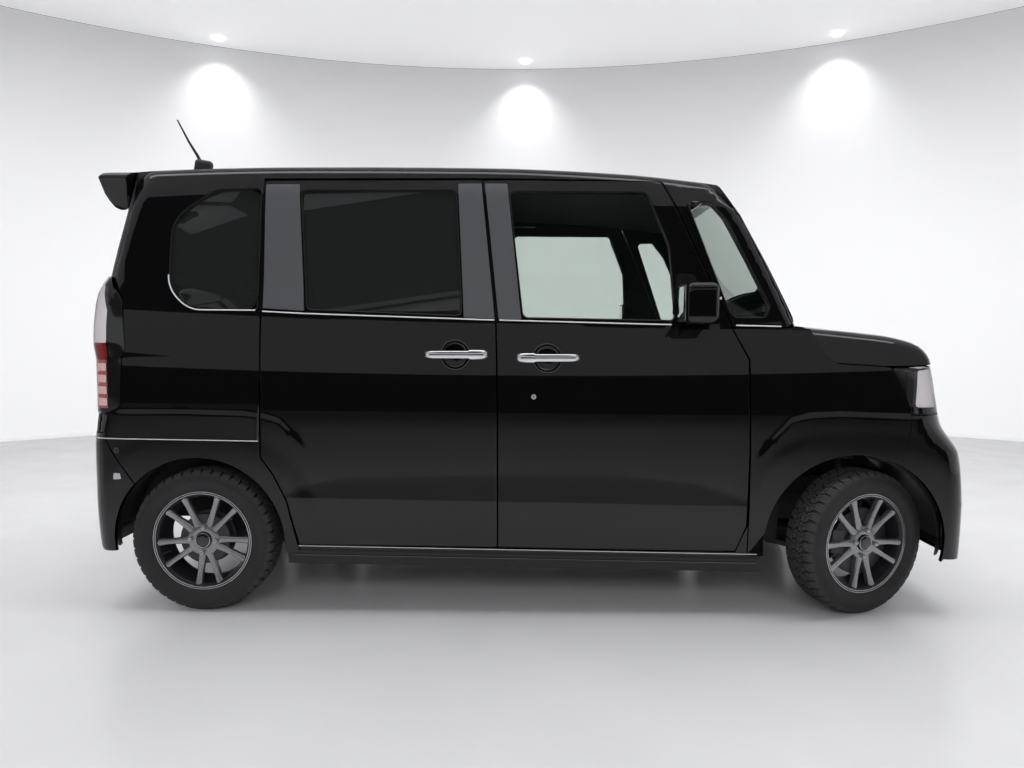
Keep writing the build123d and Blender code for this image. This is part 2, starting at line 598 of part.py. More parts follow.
# ---------------------------------------------------------------- floor and structure
SILL_IN = ROOF_HALF - SEAT   # half-width between the sills
LOAD_HALF = 660.0
APRON_Y = 652.0
RAIL_Y = 370.0             # chassis rails from the centre plane
RAIL_W = 60.0
SPRING_COILS = 5
WHEELHOUSE_Y = (-650.0, -556.0)
SILL_CLEAR_Z = 334.0
STRUT_TOP_Z = 878.0
HEEL_X = -560.0            # the floor steps up here under the rear seat
RAIL_Z = (400.0, 480.0)
FRAME_END_X = 1590.0
GRILLE_BACK = 44.0         # how far the back of the grille lies behind the nose
JACK_X = (780.0, -500.0)   # jacking pads under the sills
JACK_Y = 522.5
JACK_W = 45.0
JACK_Z = 284.0
POST_Y = 385.0
APRON_Z = (900.0, 930.0)
REAR_END_X = -1590.0
REAR_PANEL_X = (-1600.0, -1585.0)
REAR_MOUNT_X = -1586.0     # the rear bumper's and striker's brackets start here
NOSE_POST_X = (1500.0, 1530.0)
APRON_END_X = 1400.0
BRACKET_Y = (300.0, 324.0)
FIREWALL_FRONT_X = FIREWALL_X + 18
with BuildPart() as floor:
    add(box(HEEL_X, FIREWALL_X + 15, -SILL_IN, SILL_IN, FLOOR_Z, FLOOR_Z + FLOOR_T - 2))
    add(box(REAR_END_X, HEEL_X, -LOAD_HALF, LOAD_HALF, LOAD_FLOOR_Z - 26, LOAD_FLOOR_Z))
    add(box(HEEL_X - 20, HEEL_X, -SILL_IN, SILL_IN, FLOOR_Z, LOAD_FLOOR_Z))
    add(box(FIREWALL_X + 4, FIREWALL_FRONT_X, -APRON_Y + 10, APRON_Y - 10, FLOOR_Z, 1040))
    add(box(*REAR_PANEL_X, -LOAD_HALF + 130, LOAD_HALF - 130, 280, LOAD_FLOOR_Z))
    for y in (-RAIL_Y, RAIL_Y):
        y0, y1 = y - RAIL_W / 2, y + RAIL_W / 2
        add(box(FIREWALL_X - 200, FRAME_END_X, y0, y1, *RAIL_Z))
        add(box(FIREWALL_X - 200, FIREWALL_X + 15, y0, y1, FLOOR_Z, RAIL_Z[1]))
        add(box(REAR_END_X, HEEL_X, y0, y1, RAIL_Z[0], LOAD_FLOOR_Z - 20))
    add(box(FRAME_END_X - 30, FRAME_END_X, -520, 520, RAIL_Z[0] + 10, RAIL_Z[1] - 10))
    for hand in (-1, 1):
        post = sorted((hand * (POST_Y - 15), hand * (POST_Y + 15)))
        add(box(FIREWALL_X + 10, APRON_END_X, hand * APRON_Y - 16, hand * APRON_Y + 16, *APRON_Z))
        add(box(APRON_END_X - 30, APRON_END_X, *sorted((hand * APRON_Y, hand * POST_Y)), *APRON_Z))
        add(box(APRON_END_X - 30, NOSE_POST_X[1], *post, *APRON_Z))
        add(box(*NOSE_POST_X, *post, RAIL_Z[1] - 20, APRON_Z[1]))
        add(box(FRONT_AXLE_X - 110, FRONT_AXLE_X + 90, *sorted((hand * APRON_Y, hand * 370)),
                STRUT_TOP_Z + 2, STRUT_TOP_Z + 26))
    add(box(*NOSE_POST_X, -POST_Y, POST_Y, APRON_Z[0] - 4, APRON_Z[0] + 20))
    for x in JACK_X:
        for y in (-JACK_Y, JACK_Y):
            add(box(x - 35, x + 35, y - JACK_W / 2, y + JACK_W / 2, JACK_Z, FLOOR_Z + 2))
    for y0, y1 in ((-BRACKET_Y[1], -BRACKET_Y[0]), BRACKET_Y):
        add(common(box(NOSE_POST_X[0] - 30, NOSE_POST_X[1], y0, y1, APRON_Z[0] - 4, 1100), nose_seat))
        add(common(box(FRAME_END_X - 10, 1800, y0, y1, RAIL_Z[0] + 28, RAIL_Z[1] - 12), nose_seat))
        add(common(box(NOSE_POST_X[1] - 10, 1800, y0 / 2, y1 / 2, APRON_Z[0], APRON_Z[0] + 18),
                   stack(LOWER, 0, 0, GRILLE_BACK + SEAT)))
        add(common(box(-1800, REAR_MOUNT_X, y0, y1, 380, 430), stack(LOWER, 0, BUMPER_T + SEAT, 0)))
    for y0, y1 in ((-800, -640), (640, 800)):
        add(common(box(1290, 1330, y0, y1, *APRON_Z), nose_seat))
    add(common(box(-1800, REAR_MOUNT_X, -40, 40, 440, 520), stack(LOWER, 0, TAILGATE_T + SEAT, 0)))
wheelhouse = less(drum(REAR_AXLE_X - 4, HUB_Z - 3, ARCH_REAR_R + 14, WHEELHOUSE_Y[0], WHEELHOUSE_Y[1] + 14),
                  drum(REAR_AXLE_X - 4, HUB_Z - 3, ARCH_REAR_R + 2, -900, WHEELHOUSE_Y[1]),
                  box(-2000, 0, -900, 0, -300, SILL_CLEAR_Z))
house_clear = drum(REAR_AXLE_X - 4, HUB_Z - 3, ARCH_REAR_R + 12, -BIG, WHEELHOUSE_Y[1] + 12)
arch_clear = drum(FRONT_AXLE_X + ARCH_FRONT_X, HUB_Z + 6, ARCH_FRONT_R + 2, -BIG, -408)
under_body = less(floor.part, house_clear, to_left(house_clear), arch_clear, to_left(arch_clear))
under_body = joined(under_body, wheelhouse, to_left(wheelhouse))
ahead = box(FIREWALL_FRONT_X, BIG, -BIG, BIG, -BIG, BIG)
behind = box(-BIG, HEEL_X, -BIG, BIG, -BIG, BIG)
save(less(under_body, ahead, behind), "floor_pan")
save(common(under_body, ahead), "front_frame")
save(common(under_body, behind), "load_floor")

LINER_R = ARCH_FRONT_R - 8
LINER_OUT_R = ARCH_FRONT_R - SEAT
LINER_Y = (-690.0, -415.0)
arch_centre = (FRONT_AXLE_X + ARCH_FRONT_X, HUB_Z + 6)
liner = less(drum(*arch_centre, LINER_OUT_R, *LINER_Y), drum(*arch_centre, LINER_R, -700, -400),
             box(0, 2000, -900, 0, -300, 300), box(FRONT_AXLE_X - 76, FRONT_AXLE_X + 76, -610, -410, 500, 900))
save(Compound(children=[liner, to_left(liner)]), "arch_liners")

# ---------------------------------------------------------------- wheels
BEAD_R = 177.8
HUB_FACE_IN = 43.0         # mounting face outboard of the wheel's centre plane
SPOKES = (0.0, 43.0, 70.5, 114.0, 141.5, 184.0, 215.0, 262.0, 290.0, 334.5)
CAP_R = 29.0
NUT_R = 10.0
DISC_R = 130.0
DRUM_R = 98.0


def tyre_part():
    """A tyre with its rolling axis along Y, centred on the origin."""
    r = TYRE_D / 2
    w = TYRE_W / 2
    seat_w = RIM_W / 2 - 7
    with BuildPart() as tyre:
        with BuildSketch(Plane.YZ):
            with BuildLine():
                Line((-seat_w, BEAD_R + SEAT), (seat_w, BEAD_R + SEAT))
                Line((seat_w, BEAD_R + SEAT), (seat_w, RIM_LIP_R + 2))
                ThreePointArc((seat_w, RIM_LIP_R + 2), (w, 232), (w - 9, 262))
                ThreePointArc((w - 9, 262), (w - 14, r - 7), (w - 22, r))
                Line((w - 22, r), (-w + 22, r))
                ThreePointArc((-w + 22, r), (-w + 14, r - 7), (-w + 9, 262))
                ThreePointArc((-w + 9, 262), (-w, 232), (-seat_w, RIM_LIP_R + 2))
                Line((-seat_w, RIM_LIP_R + 2), (-seat_w, BEAD_R + SEAT))
            make_face()
        revolve(axis=Axis.Y)
    return tyre.part


def rim_part(front):
    """An alloy wheel, its outer face towards -Y, with its nuts and brake disc or drum."""
    half = RIM_W / 2
    with BuildPart() as rim:
        with BuildSketch(Plane.YZ):
            with BuildLine():
                Polyline((-half, RIM_LIP_R), (-half + 6, RIM_LIP_R), (-half + 7, BEAD_R), (-12, BEAD_R),
                         (0, 165), (34, 165), (40, BEAD_R), (half - 7, BEAD_R), (half - 6, RIM_LIP_R),
                         (half, RIM_LIP_R), (half, BEAD_R - 8), (half - 22, BEAD_R - 8), (30, 157),
                         (-16, 157), (-26, BEAD_R - 8), (-half, BEAD_R - 4), close=True)
            make_face()
        revolve(axis=Axis.Y)
        with BuildSketch(Plane.XZ.offset(HUB_FACE_IN)):
            Circle(72)
        extrude(amount=11)
        for angle in SPOKES:
            along = (cos(radians(angle)), 0, sin(radians(angle)))
            with BuildSketch(Plane(origin=(0, -HUB_FACE_IN - 2, 0), x_dir=along, z_dir=(0, -1, 0))):
                with BuildLine():
                    Polyline((40, -10.5), (176, -8.5), (176, 8.5), (40, 10.5), close=True)
                make_face()
            extrude(amount=15)
        with BuildSketch(Plane.XZ.offset(HUB_FACE_IN)):
            with PolarLocations(NUT_PCD / 2, 4, start_angle=-4):
                Circle(NUT_R)
        extrude(amount=28)
        with BuildSketch(Plane.XZ.offset(HUB_FACE_IN)):
            Circle(CAP_R)
        extrude(amount=20)
        with BuildSketch(Plane.XZ.offset(HUB_FACE_IN - 14)):
            Circle(68)
        extrude(amount=14)
        if front:
            with BuildSketch(Plane.XZ.offset(HUB_FACE_IN - 30)):
                Circle(DISC_R)
            extrude(amount=18)
        else:
            with BuildSketch(Plane.XZ.offset(HUB_FACE_IN - 50)):
                Circle(DRUM_R)
            extrude(amount=42)
    return rim.part


def king_pin(hand):
    lean = radians(KING_PIN_LEAN)
    return Axis((FRONT_AXLE_X, hand * (HUB_Y - KING_PIN_IN), HUB_Z), (0, -hand * sin(lean), cos(lean)))


def at_front(solid, hand):
    """Turns a piece that stands straight ahead about its king pin, and lets it settle."""
    turned = solid.rotate(king_pin(hand), STEER_REST)
    return turned.moved(Location((0, 0, SETTLE)))


tyre = tyre_part()
rims = {True: rim_part(True), False: rim_part(False)}
SETTLE = 0.0
probe = at_front(tyre.moved(Location((FRONT_AXLE_X, -HUB_Y, HUB_Z))), -1)
SETTLE = -probe.bounding_box().min.Z
print("front wheels settle by", round(SETTLE, 3))
for end, x, is_front in (("front", FRONT_AXLE_X, True), ("rear", REAR_AXLE_X, False)):
    for hand in (-1, 1):
        side_name = "right" if hand < 0 else "left"
        for kind, solid in (("tyre", tyre), ("rim", rims[is_front])):
            piece = solid if hand < 0 else to_left(solid)
            piece = piece.moved(Location((x, hand * HUB_Y, HUB_Z)))
            save(at_front(piece, hand) if is_front else piece, f"{kind}_{end}_{side_name}")

# ---------------------------------------------------------------- axles and suspension
ARM_Z = 205.0
KNUCKLE_TOP_Z = 568.0
HUB_SHAFT_R = 30.0
CALIPER_X = (-140.0, -86.0)
DISC_Y = (13.0, 31.0)      # brake disc, outboard of the wheel's centre plane


def knuckle():
    """The right-hand upright: stub, king pin, steering arm and caliper, straight ahead."""
    pin = Plane(origin=(FRONT_AXLE_X, -(HUB_Y - KING_PIN_IN), HUB_Z),
                z_dir=(0, sin(radians(KING_PIN_LEAN)), cos(radians(KING_PIN_LEAN))))
    with BuildPart() as upright:
        add(drum(FRONT_AXLE_X, HUB_Z, HUB_SHAFT_R, -(HUB_Y + DISC_Y[0] - 0.5), -(HUB_Y - KING_PIN_IN - 20)))
        with Locations(pin.offset(ARM_Z + 14 - HUB_Z)):
            Cylinder(17, KNUCKLE_TOP_Z - ARM_Z - 14, align=(Align.CENTER, Align.CENTER, Align.MIN))
        add(box(FRONT_AXLE_X - 126, FRONT_AXLE_X, -(HUB_Y - 12), -(HUB_Y - 44), HUB_Z - 22, HUB_Z + 22))
        add(box(FRONT_AXLE_X - 134, FRONT_AXLE_X, -(HUB_Y - KING_PIN_IN + 12), -(HUB_Y - KING_PIN_IN - 12),
                HUB_Z - 46, HUB_Z - 20))
        add(less(box(FRONT_AXLE_X + CALIPER_X[0], FRONT_AXLE_X + CALIPER_X[1], -(HUB_Y + DISC_Y[1] + 6),
                     -(HUB_Y - 14), HUB_Z - 44, HUB_Z + 44),
                 drum(FRONT_AXLE_X, HUB_Z, DISC_R + 2, -(HUB_Y + DISC_Y[1] + 1.5), -(HUB_Y + DISC_Y[0] - 1.5))))
    return upright.part


upright = knuckle()
save(at_front(upright, -1), "knuckle_right")
save(at_front(to_left(upright), 1), "knuckle_left")

PIN_Y = HUB_Y - KING_PIN_IN
pin_plane = Plane(origin=(FRONT_AXLE_X, -PIN_Y, HUB_Z + SETTLE),
                  z_dir=(0, sin(radians(KING_PIN_LEAN)), cos(radians(KING_PIN_LEAN))))
lean_len = 1 / cos(radians(KING_PIN_LEAN))
strut_foot = (KNUCKLE_TOP_Z + 6 - HUB_Z) * lean_len
strut_len = (STRUT_TOP_Z - KNUCKLE_TOP_Z - 20) * lean_len
ARM_IN_Y = 330.0
with BuildPart() as strut:
    with Locations(pin_plane.offset(KNUCKLE_TOP_Z - HUB_Z + RUN)):
        Cylinder(15, strut_foot, align=(Align.CENTER, Align.CENTER, Align.MIN))
    with Locations(pin_plane.offset(strut_foot)):
        Cylinder(22, strut_len, align=(Align.CENTER, Align.CENTER, Align.MIN))
        Cylinder(60, 12, align=(Align.CENTER, Align.CENTER, Align.MIN))
        Cylinder(42, strut_len - 4, align=(Align.CENTER, Align.CENTER, Align.MIN))
        for i in range(SPRING_COILS):
            with Locations((0, 0, 34 + 48 * i)):
                Cylinder(51, 14, align=(Align.CENTER, Align.CENTER, Align.MIN))
        with Locations((0, 0, strut_len - 14)):
            Cylinder(58, 12, align=(Align.CENTER, Align.CENTER, Align.MIN))
    strut_head = strut.part.bounding_box().max.Z
with BuildPart() as lower_arm:
    with Locations((FRONT_AXLE_X, -PIN_Y - 17, ARM_Z - 22)):
        Cylinder(26, 24, align=(Align.CENTER, Align.CENTER, Align.MIN))
    with Locations(pin_plane.offset(ARM_Z + 14 - HUB_Z - RUN)):
        Cylinder(13, 22, align=(Align.CENTER, Align.CENTER, Align.MAX))
    with BuildSketch(Plane.XY.offset(ARM_Z - 20)):
        with BuildLine():
            Polyline((FRONT_AXLE_X - 22, -PIN_Y - 10), (FRONT_AXLE_X + 22, -PIN_Y - 10),
                     (FRONT_AXLE_X + 20, -ARM_IN_Y), (FRONT_AXLE_X - 230, -ARM_IN_Y),
                     (FRONT_AXLE_X - 230, -ARM_IN_Y - 42), close=True)
        make_face()
    extrude(amount=20)
SUBFRAME_X = (FRONT_AXLE_X - 250, FRONT_AXLE_X + 60)
front_gear = joined(lower_arm.part, to_left(lower_arm.part),
                    box(*SUBFRAME_X, -ARM_IN_Y - 10, ARM_IN_Y + 10, ARM_Z - 14, ARM_Z + 36),
                    box(SUBFRAME_X[0], SUBFRAME_X[0] + 60, -RAIL_Y - 28, -ARM_IN_Y, ARM_Z, RAIL_Z[0] - SEAT),
                    box(SUBFRAME_X[0], SUBFRAME_X[0] + 60, ARM_IN_Y, RAIL_Y + 28, ARM_Z, RAIL_Z[0] - SEAT))
save(Compound(children=[front_gear, strut.part, to_left(strut.part)]), "front_suspension")

BEAM_X = REAR_AXLE_X + 190
ARM_Y = 505.0
with BuildPart() as beam:
    add(drum(BEAM_X, 245, 32, -ARM_Y, ARM_Y))
    for hand in (-1, 1):
        y = hand * ARM_Y
        add(box(REAR_AXLE_X - 40, BEAM_X + 200, y - 24, y + 24, 225, 275))
        add(drum(BEAM_X + 210, 262, 34, y - 32, y + 32))
        add(box(BEAM_X + 190, BEAM_X + 232, y - 40, y + 40, 290, 299.7))
        y0, y1 = sorted((hand * (HUB_Y + HUB_FACE_IN - 50.5), y))
        add(drum(REAR_AXLE_X, HUB_Z, 30, y0, y1))
        y2, y3 = sorted((hand * (HUB_Y + HUB_FACE_IN - 50.5), hand * (HUB_Y + HUB_FACE_IN - 56)))
        add(drum(REAR_AXLE_X, HUB_Z, DRUM_R + 6, y2, y3))
        with Locations((REAR_AXLE_X + 60, hand * 470, 240)):
            Cylinder(46, LOAD_FLOOR_Z - 26 - SEAT - 240, align=(Align.CENTER, Align.CENTER, Align.MIN))
        add(box(REAR_AXLE_X + 20, REAR_AXLE_X + 100, min(y, hand * 430), max(y, hand * 430), 228, 246))
save(beam.part, "rear_axle")

# ---------------------------------------------------------------- drive and underbody
engine = joined(box(1030, 1470, -310, 330, 270, 860),
                box(1200, 1260, -(RAIL_Y - RAIL_W / 2 - SEAT), RAIL_Y - RAIL_W / 2 - SEAT, 420, 465))
save(engine, "powertrain")
TANK = (-520.0, 180.0, -420.0, 380.0, 190.0)
with BuildPart() as tank:
    add(box(*TANK, FLOOR_Z - SEAT))
    fillet(tank.part.edges().filter_by(Axis.Z), 40)
save(tank.part, "fuel_tank")
PIPE_R = 19.0
MUFFLER_X = -1480.0
with BuildPart() as exhaust:
    with BuildLine() as route:
        FilletPolyline((MUFFLER_X + 60, 300, 310), (-1250, 300, 336), (-1000, 300, 336),
                       (-700, 470, 262), (560, 470, 262), (FIREWALL_X - 60, 250, 262), radius=60)
    with BuildSketch(Plane(origin=route.line @ 0, z_dir=route.line % 0)):
        Circle(PIPE_R)
    sweep()
    add(drum(MUFFLER_X, 310, 78, -60, 455))
    for x in (400, -300):
        add(box(x - 12, x + 12, 462, 478, 262, FLOOR_Z - SEAT))
    add(box(MUFFLER_X - 10, MUFFLER_X + 10, 100, 120, 380, LOAD_FLOOR_Z - 26 - SEAT))
save(exhaust.part, "exhaust")

# ---------------------------------------------------------------- inside
SEAT_Y = 330.0
SEAT_W = 470.0


def soft_box(x0, x1, y0, y1, z0, z1, r):
    with BuildPart() as pad:
        with Locations(((x0 + x1) / 2, (y0 + y1) / 2, (z0 + z1) / 2)):
            Box(x1 - x0, y1 - y0, z1 - z0)
        fillet(pad.edges(), r)
    return pad.part


def tilted(solid, x, z, degrees):
    return solid.rotate(Axis((x, 0, z), (0, 1, 0)), degrees)


def chair(y0, y1, x_heel, z_base, z_top):
    cushion = soft_box(x_heel, x_heel + 470, y0, y1, z_base + 150, z_base + 300, 35)
    back = tilted(soft_box(x_heel - 100, x_heel - 1, y0, y1, z_base + 210, z_base + 800, 30),
                  x_heel, z_base + 210, -14)
    rest = tilted(soft_box(x_heel - 88, x_heel - 18, (y0 + y1) / 2 - 125, (y0 + y1) / 2 + 125,
                           z_base + 801, z_top, 26), x_heel, z_base + 210, -14)
    bridge = box(x_heel - 45, x_heel + 45, y0 + 60, y1 - 60, z_base + 190, z_base + 240)
    base = box(x_heel + 30, x_heel + 430, y0 + 30, y1 - 30, z_base + SEAT, z_base + 150 - SEAT)
    return [joined(cushion, back, bridge), rest, base]


FRONT_SEAT_X = 30.0
chairs = chair(-SEAT_Y - SEAT_W / 2, -SEAT_Y + SEAT_W / 2, FRONT_SEAT_X, FLOOR_Z + FLOOR_T - 2, 1330)
save(Compound(children=chairs + [to_left(c) for c in chairs]), "seats_front")
bench = chair(-600.0, -10.0, -960.0, LOAD_FLOOR_Z, 1440)
save(Compound(children=bench + [to_left(c) for c in bench]), "seats_rear")
dash = less(box(700, 982, -640, 640, 640, 1075), box(690, 830, -640, 640, 630, 800))
WHEEL_CENTRE = (610.0, -350.0, 985.0)
RAKE = 62.0
wheel_plane = Plane(origin=WHEEL_CENTRE, z_dir=(-sin(radians(RAKE)), 0, cos(radians(RAKE))))
WHEEL_HUB_H = 34.0
with BuildPart() as column:
    with Locations(wheel_plane.offset(-WHEEL_HUB_H / 2 - RUN)):
        Cylinder(26, 130, align=(Align.CENTER, Align.CENTER, Align.MAX))
save(joined(common(dash, cabin), column.part), "dashboard")

with BuildPart() as steering:
    with Locations(wheel_plane):
        Torus(178, 15)
        Cylinder(52, WHEEL_HUB_H)
        for angle in (0, 180, 270):
            with Locations(Location((0, 0, 0), (0, 0, angle))):
                with Locations((110, 0, -4)):
                    Box(140, 34, 14)
save(steering.part, "steering_wheel")

# ---------------------------------------------------------------- mirrors and fuel lid
MIRROR = (622.0, -812.0, 1188.0)
with BuildPart() as glass_case:
    with Locations((MIRROR[0], MIRROR[1], MIRROR[2])):
        Box(122, 150, 150)
    fillet(glass_case.edges(), 30)
    with Locations((MIRROR[0] + 6, MIRROR[1] + 76, MIRROR[2] - 82)):
        Box(70, 130, 24)
mirror_right = less(glass_case.part, joined(outer_low, outer_high))
save(mirror_right, "mirror_right")
save(to_left(mirror_right), "mirror_left")

FUEL_LID = [(-1190, 800), (-1050, 800), (-1050, 940), (-1190, 940)]
LID_T = 8.0
POCKET_T = 52.0
left_skin = less(outer_low, stack(LOWER, LID_T, 0, 0))
lid = to_left(common(left_skin, side_prism(FUEL_LID, 20, -GAP / 2)))
save(lid, "fuel_lid")
pocket = common(less(stack(LOWER, -20, 0, 0), stack(LOWER, POCKET_T, 0, 0)), side_prism(FUEL_LID, 20, GAP / 2))
latch = common(less(stack(LOWER, LID_T + SEAT, 0, 0), stack(LOWER, POCKET_T + 2, 0, 0)),
               box(-1180, -1168, -900, 0, 864, 876))
save(joined(less(to_left(body_side_right), to_left(pocket)), to_left(latch)), "body_side_left")
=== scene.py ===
"""Kei car in gloss black: the looks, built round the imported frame."""

import json
import logging
import math
from dataclasses import dataclass
from enum import Enum
from typing import Callable, ClassVar, Dict, List, Optional, Sequence, Tuple, Union

import bmesh
import bpy
import numpy as np
from mathutils import Matrix, Vector

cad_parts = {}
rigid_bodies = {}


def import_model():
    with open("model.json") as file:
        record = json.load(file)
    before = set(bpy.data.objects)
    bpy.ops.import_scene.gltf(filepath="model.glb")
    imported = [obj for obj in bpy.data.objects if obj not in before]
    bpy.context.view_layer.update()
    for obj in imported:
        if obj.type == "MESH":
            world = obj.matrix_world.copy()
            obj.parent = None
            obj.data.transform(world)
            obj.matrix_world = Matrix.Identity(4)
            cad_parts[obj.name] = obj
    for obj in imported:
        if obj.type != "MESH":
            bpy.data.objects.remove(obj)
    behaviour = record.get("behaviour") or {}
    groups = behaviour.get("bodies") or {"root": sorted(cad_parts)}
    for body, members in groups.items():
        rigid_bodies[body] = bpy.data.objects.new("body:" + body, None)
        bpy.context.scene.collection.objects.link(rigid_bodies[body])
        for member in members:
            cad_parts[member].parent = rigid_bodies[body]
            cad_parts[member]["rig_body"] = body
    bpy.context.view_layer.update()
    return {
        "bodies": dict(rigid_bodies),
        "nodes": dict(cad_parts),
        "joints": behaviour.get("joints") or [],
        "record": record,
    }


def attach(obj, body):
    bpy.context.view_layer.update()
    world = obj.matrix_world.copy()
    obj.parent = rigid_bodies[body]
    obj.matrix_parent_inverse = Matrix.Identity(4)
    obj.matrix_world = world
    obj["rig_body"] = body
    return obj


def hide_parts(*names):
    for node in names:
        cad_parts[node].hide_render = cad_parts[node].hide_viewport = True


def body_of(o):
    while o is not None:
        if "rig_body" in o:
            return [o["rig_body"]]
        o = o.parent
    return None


log = logging.getLogger("scene")

Point2 = Tuple[float, float]
Point3 = Tuple[float, float, float]
Array = np.ndarray
NodeStart = Tuple[bpy.types.Material, bpy.types.NodeTree, bpy.types.Node, bpy.types.Node]
Mapping = Callable[[Array, Array], Tuple[Array, Array, Array]]    # surface coordinates to a place
Relief = Callable[[Array, Array], Array]                          # surface coordinates to a height
Band = Tuple[int, float, float, float]                            # axis, from, to, step of closer cuts
MM = 0.001
RIGHT, LEFT = -1, 1


class Grain(Enum):
    """How a finish varies over its surface."""

    # scale of the small noise, spread of the roughness, strength of the bump
    NONE = (14.0, 0.02, 0.0)
    PEEL = (55.0, 0.008, 0.012)        # the faint waviness of sprayed paint
    MOULD = (900.0, 0.10, 0.12)        # moulded plastic, fine pimples
    CAST = (260.0, 0.16, 0.30)         # sand-cast metal
    WOVEN = (700.0, 0.10, 0.4)         # seat cloth
    RUBBER = (120.0, 0.16, 0.10)       # dusty rubber


@dataclass(frozen=True)
class Finish:
    """One surface finish.

    Args:
        name: material name.
        color: linear base colour.
        rough: roughness.
        metal: metalness.
        coat: clear coat weight.
        grain: kind of small variation.
        spec: specular level.
        glow: emission strength of the base colour; a painted glow that stands in for light through an unlit lamp's
            lens.
        clear: share of light let through.
        tint: colour of the light let through.
        slot: the record's material slot; not used.
    """

    name: str
    color: Tuple[float, float, float]
    rough: float = 0.5
    metal: float = 0.0
    coat: float = 0.0
    grain: Grain = Grain.NONE
    spec: float = 0.5
    glow: float = 0.0
    clear: float = 0.0
    tint: Tuple[float, float, float] = (1.0, 1.0, 1.0)
    slot: str = "black_plastic"


class Palette:
    """Makes each finish once, as a node material in object coordinates."""

    BUMP_DEPTH: ClassVar[float] = 0.0006          # metres
    COAT_ROUGH: ClassVar[float] = 0.02
    GLASS_IOR: ClassVar[float] = 1.52

    def __init__(self) -> None:
        self._made: Dict[str, bpy.types.Material] = {}

    def get(self, finish: Finish) -> bpy.types.Material:
        """Returns the material of a finish.

        Args:
            finish: the finish wanted.

        Returns:
            The material, made on first use.
        """
        if finish.name not in self._made:
            self._made[finish.name] = self._pane(finish) if finish.clear else self._solid(finish)
        return self._made[finish.name]

    def start(self, name: str) -> NodeStart:
        """Begins a material.

        Args:
            name: the material's name.

        Returns:
            The material, its nodes, the output node and the coordinate node.
        """
        mat = bpy.data.materials.new(name)
        mat.use_nodes = True
        tree = mat.node_tree
        tree.nodes.clear()
        out = tree.nodes.new("ShaderNodeOutputMaterial")
        coords = tree.nodes.new("ShaderNodeTexCoord")
        return mat, tree, out, coords

    def noise(self, tree: bpy.types.NodeTree, coords: bpy.types.Node, scale: float,
              detail: float = 3.0) -> bpy.types.Node:
        """Adds a noise on object coordinates.

        Args:
            tree: the material's nodes.
            coords: its coordinate node.
            scale: blotches per metre.
            detail: how many finer layers it has.

        Returns:
            The noise node.
        """
        noise = tree.nodes.new("ShaderNodeTexNoise")
        noise.inputs["Scale"].default_value = scale
        noise.inputs["Detail"].default_value = detail
        tree.links.new(coords.outputs["Object"], noise.inputs["Vector"])
        return noise

    def _solid(self, f: Finish) -> bpy.types.Material:
        """An opaque finish: paint, plastic, rubber, metal or cloth.

        Args:
            f: the finish.

        Returns:
            Its material.
        """
        mat, tree, out, coords = self.start(f.name)
        link = tree.links.new
        bsdf = tree.nodes.new("ShaderNodeBsdfPrincipled")
        bsdf.inputs["Base Color"].default_value = (*f.color, 1)
        bsdf.inputs["Roughness"].default_value = f.rough
        bsdf.inputs["Metallic"].default_value = f.metal
        bsdf.inputs["Coat Weight"].default_value = f.coat
        bsdf.inputs["Coat Roughness"].default_value = self.COAT_ROUGH
        bsdf.inputs["Specular IOR Level"].default_value = f.spec
        # Painted glow: the finish shines in its own colour, in place of light let through an unlit lamp's lens.
        if f.glow:
            bsdf.inputs["Emission Color"].default_value = (*f.color, 1)
            bsdf.inputs["Emission Strength"].default_value = f.glow
        link(bsdf.outputs[0], out.inputs["Surface"])
        scale, spread, bump = f.grain.value
        noise = self.noise(tree, coords, scale)
        slow = self.noise(tree, coords, 5.0, 2.0)
        rough = tree.nodes.new("ShaderNodeMapRange")
        rough.inputs["To Min"].default_value = max(f.rough - spread, 0.0)
        rough.inputs["To Max"].default_value = min(f.rough + spread, 1.0)
        link(slow.outputs["Fac"], rough.inputs["Value"])
        link(rough.outputs["Result"], bsdf.inputs["Roughness"])
        if bump:
            node = tree.nodes.new("ShaderNodeBump")
            node.inputs["Strength"].default_value = bump
            node.inputs["Distance"].default_value = self.BUMP_DEPTH
            link(noise.outputs["Fac"], node.inputs["Height"])
            link(node.outputs["Normal"], bsdf.inputs["Normal"])
        return mat

    def _pane(self, f: Finish) -> bpy.types.Material:
        """Thin glass: a mirror share that grows at a slant, over a tinted see-through share.

        Args:
            f: the finish.

        Returns:
            Its material.
        """
        mat, tree, out, coords = self.start(f.name)
        link = tree.links.new
        gloss = tree.nodes.new("ShaderNodeBsdfGlossy")
        gloss.inputs["Roughness"].default_value = f.rough
        through = tree.nodes.new("ShaderNodeBsdfTransparent")
        through.inputs["Color"].default_value = (*f.tint, 1)
        body = tree.nodes.new("ShaderNodeBsdfDiffuse")
        body.inputs["Color"].default_value = (*f.color, 1)
        inner = tree.nodes.new("ShaderNodeMixShader")
        inner.inputs["Fac"].default_value = f.clear
        mix = tree.nodes.new("ShaderNodeMixShader")
        edge = tree.nodes.new("ShaderNodeFresnel")
        edge.inputs["IOR"].default_value = self.GLASS_IOR
        noise = self.noise(tree, coords, 2.0, 1.0)
        vary = tree.nodes.new("ShaderNodeMapRange")
        vary.inputs["To Min"].default_value = f.rough
        vary.inputs["To Max"].default_value = f.rough + 0.004
        link(noise.outputs["Fac"], vary.inputs["Value"])
        link(vary.outputs["Result"], gloss.inputs["Roughness"])
        link(body.outputs[0], inner.inputs[1])
        link(through.outputs[0], inner.inputs[2])
        link(edge.outputs["Fac"], mix.inputs["Fac"])
        link(inner.outputs[0], mix.inputs[1])
        link(gloss.outputs[0], mix.inputs[2])
        link(mix.outputs[0], out.inputs["Surface"])
        return mat


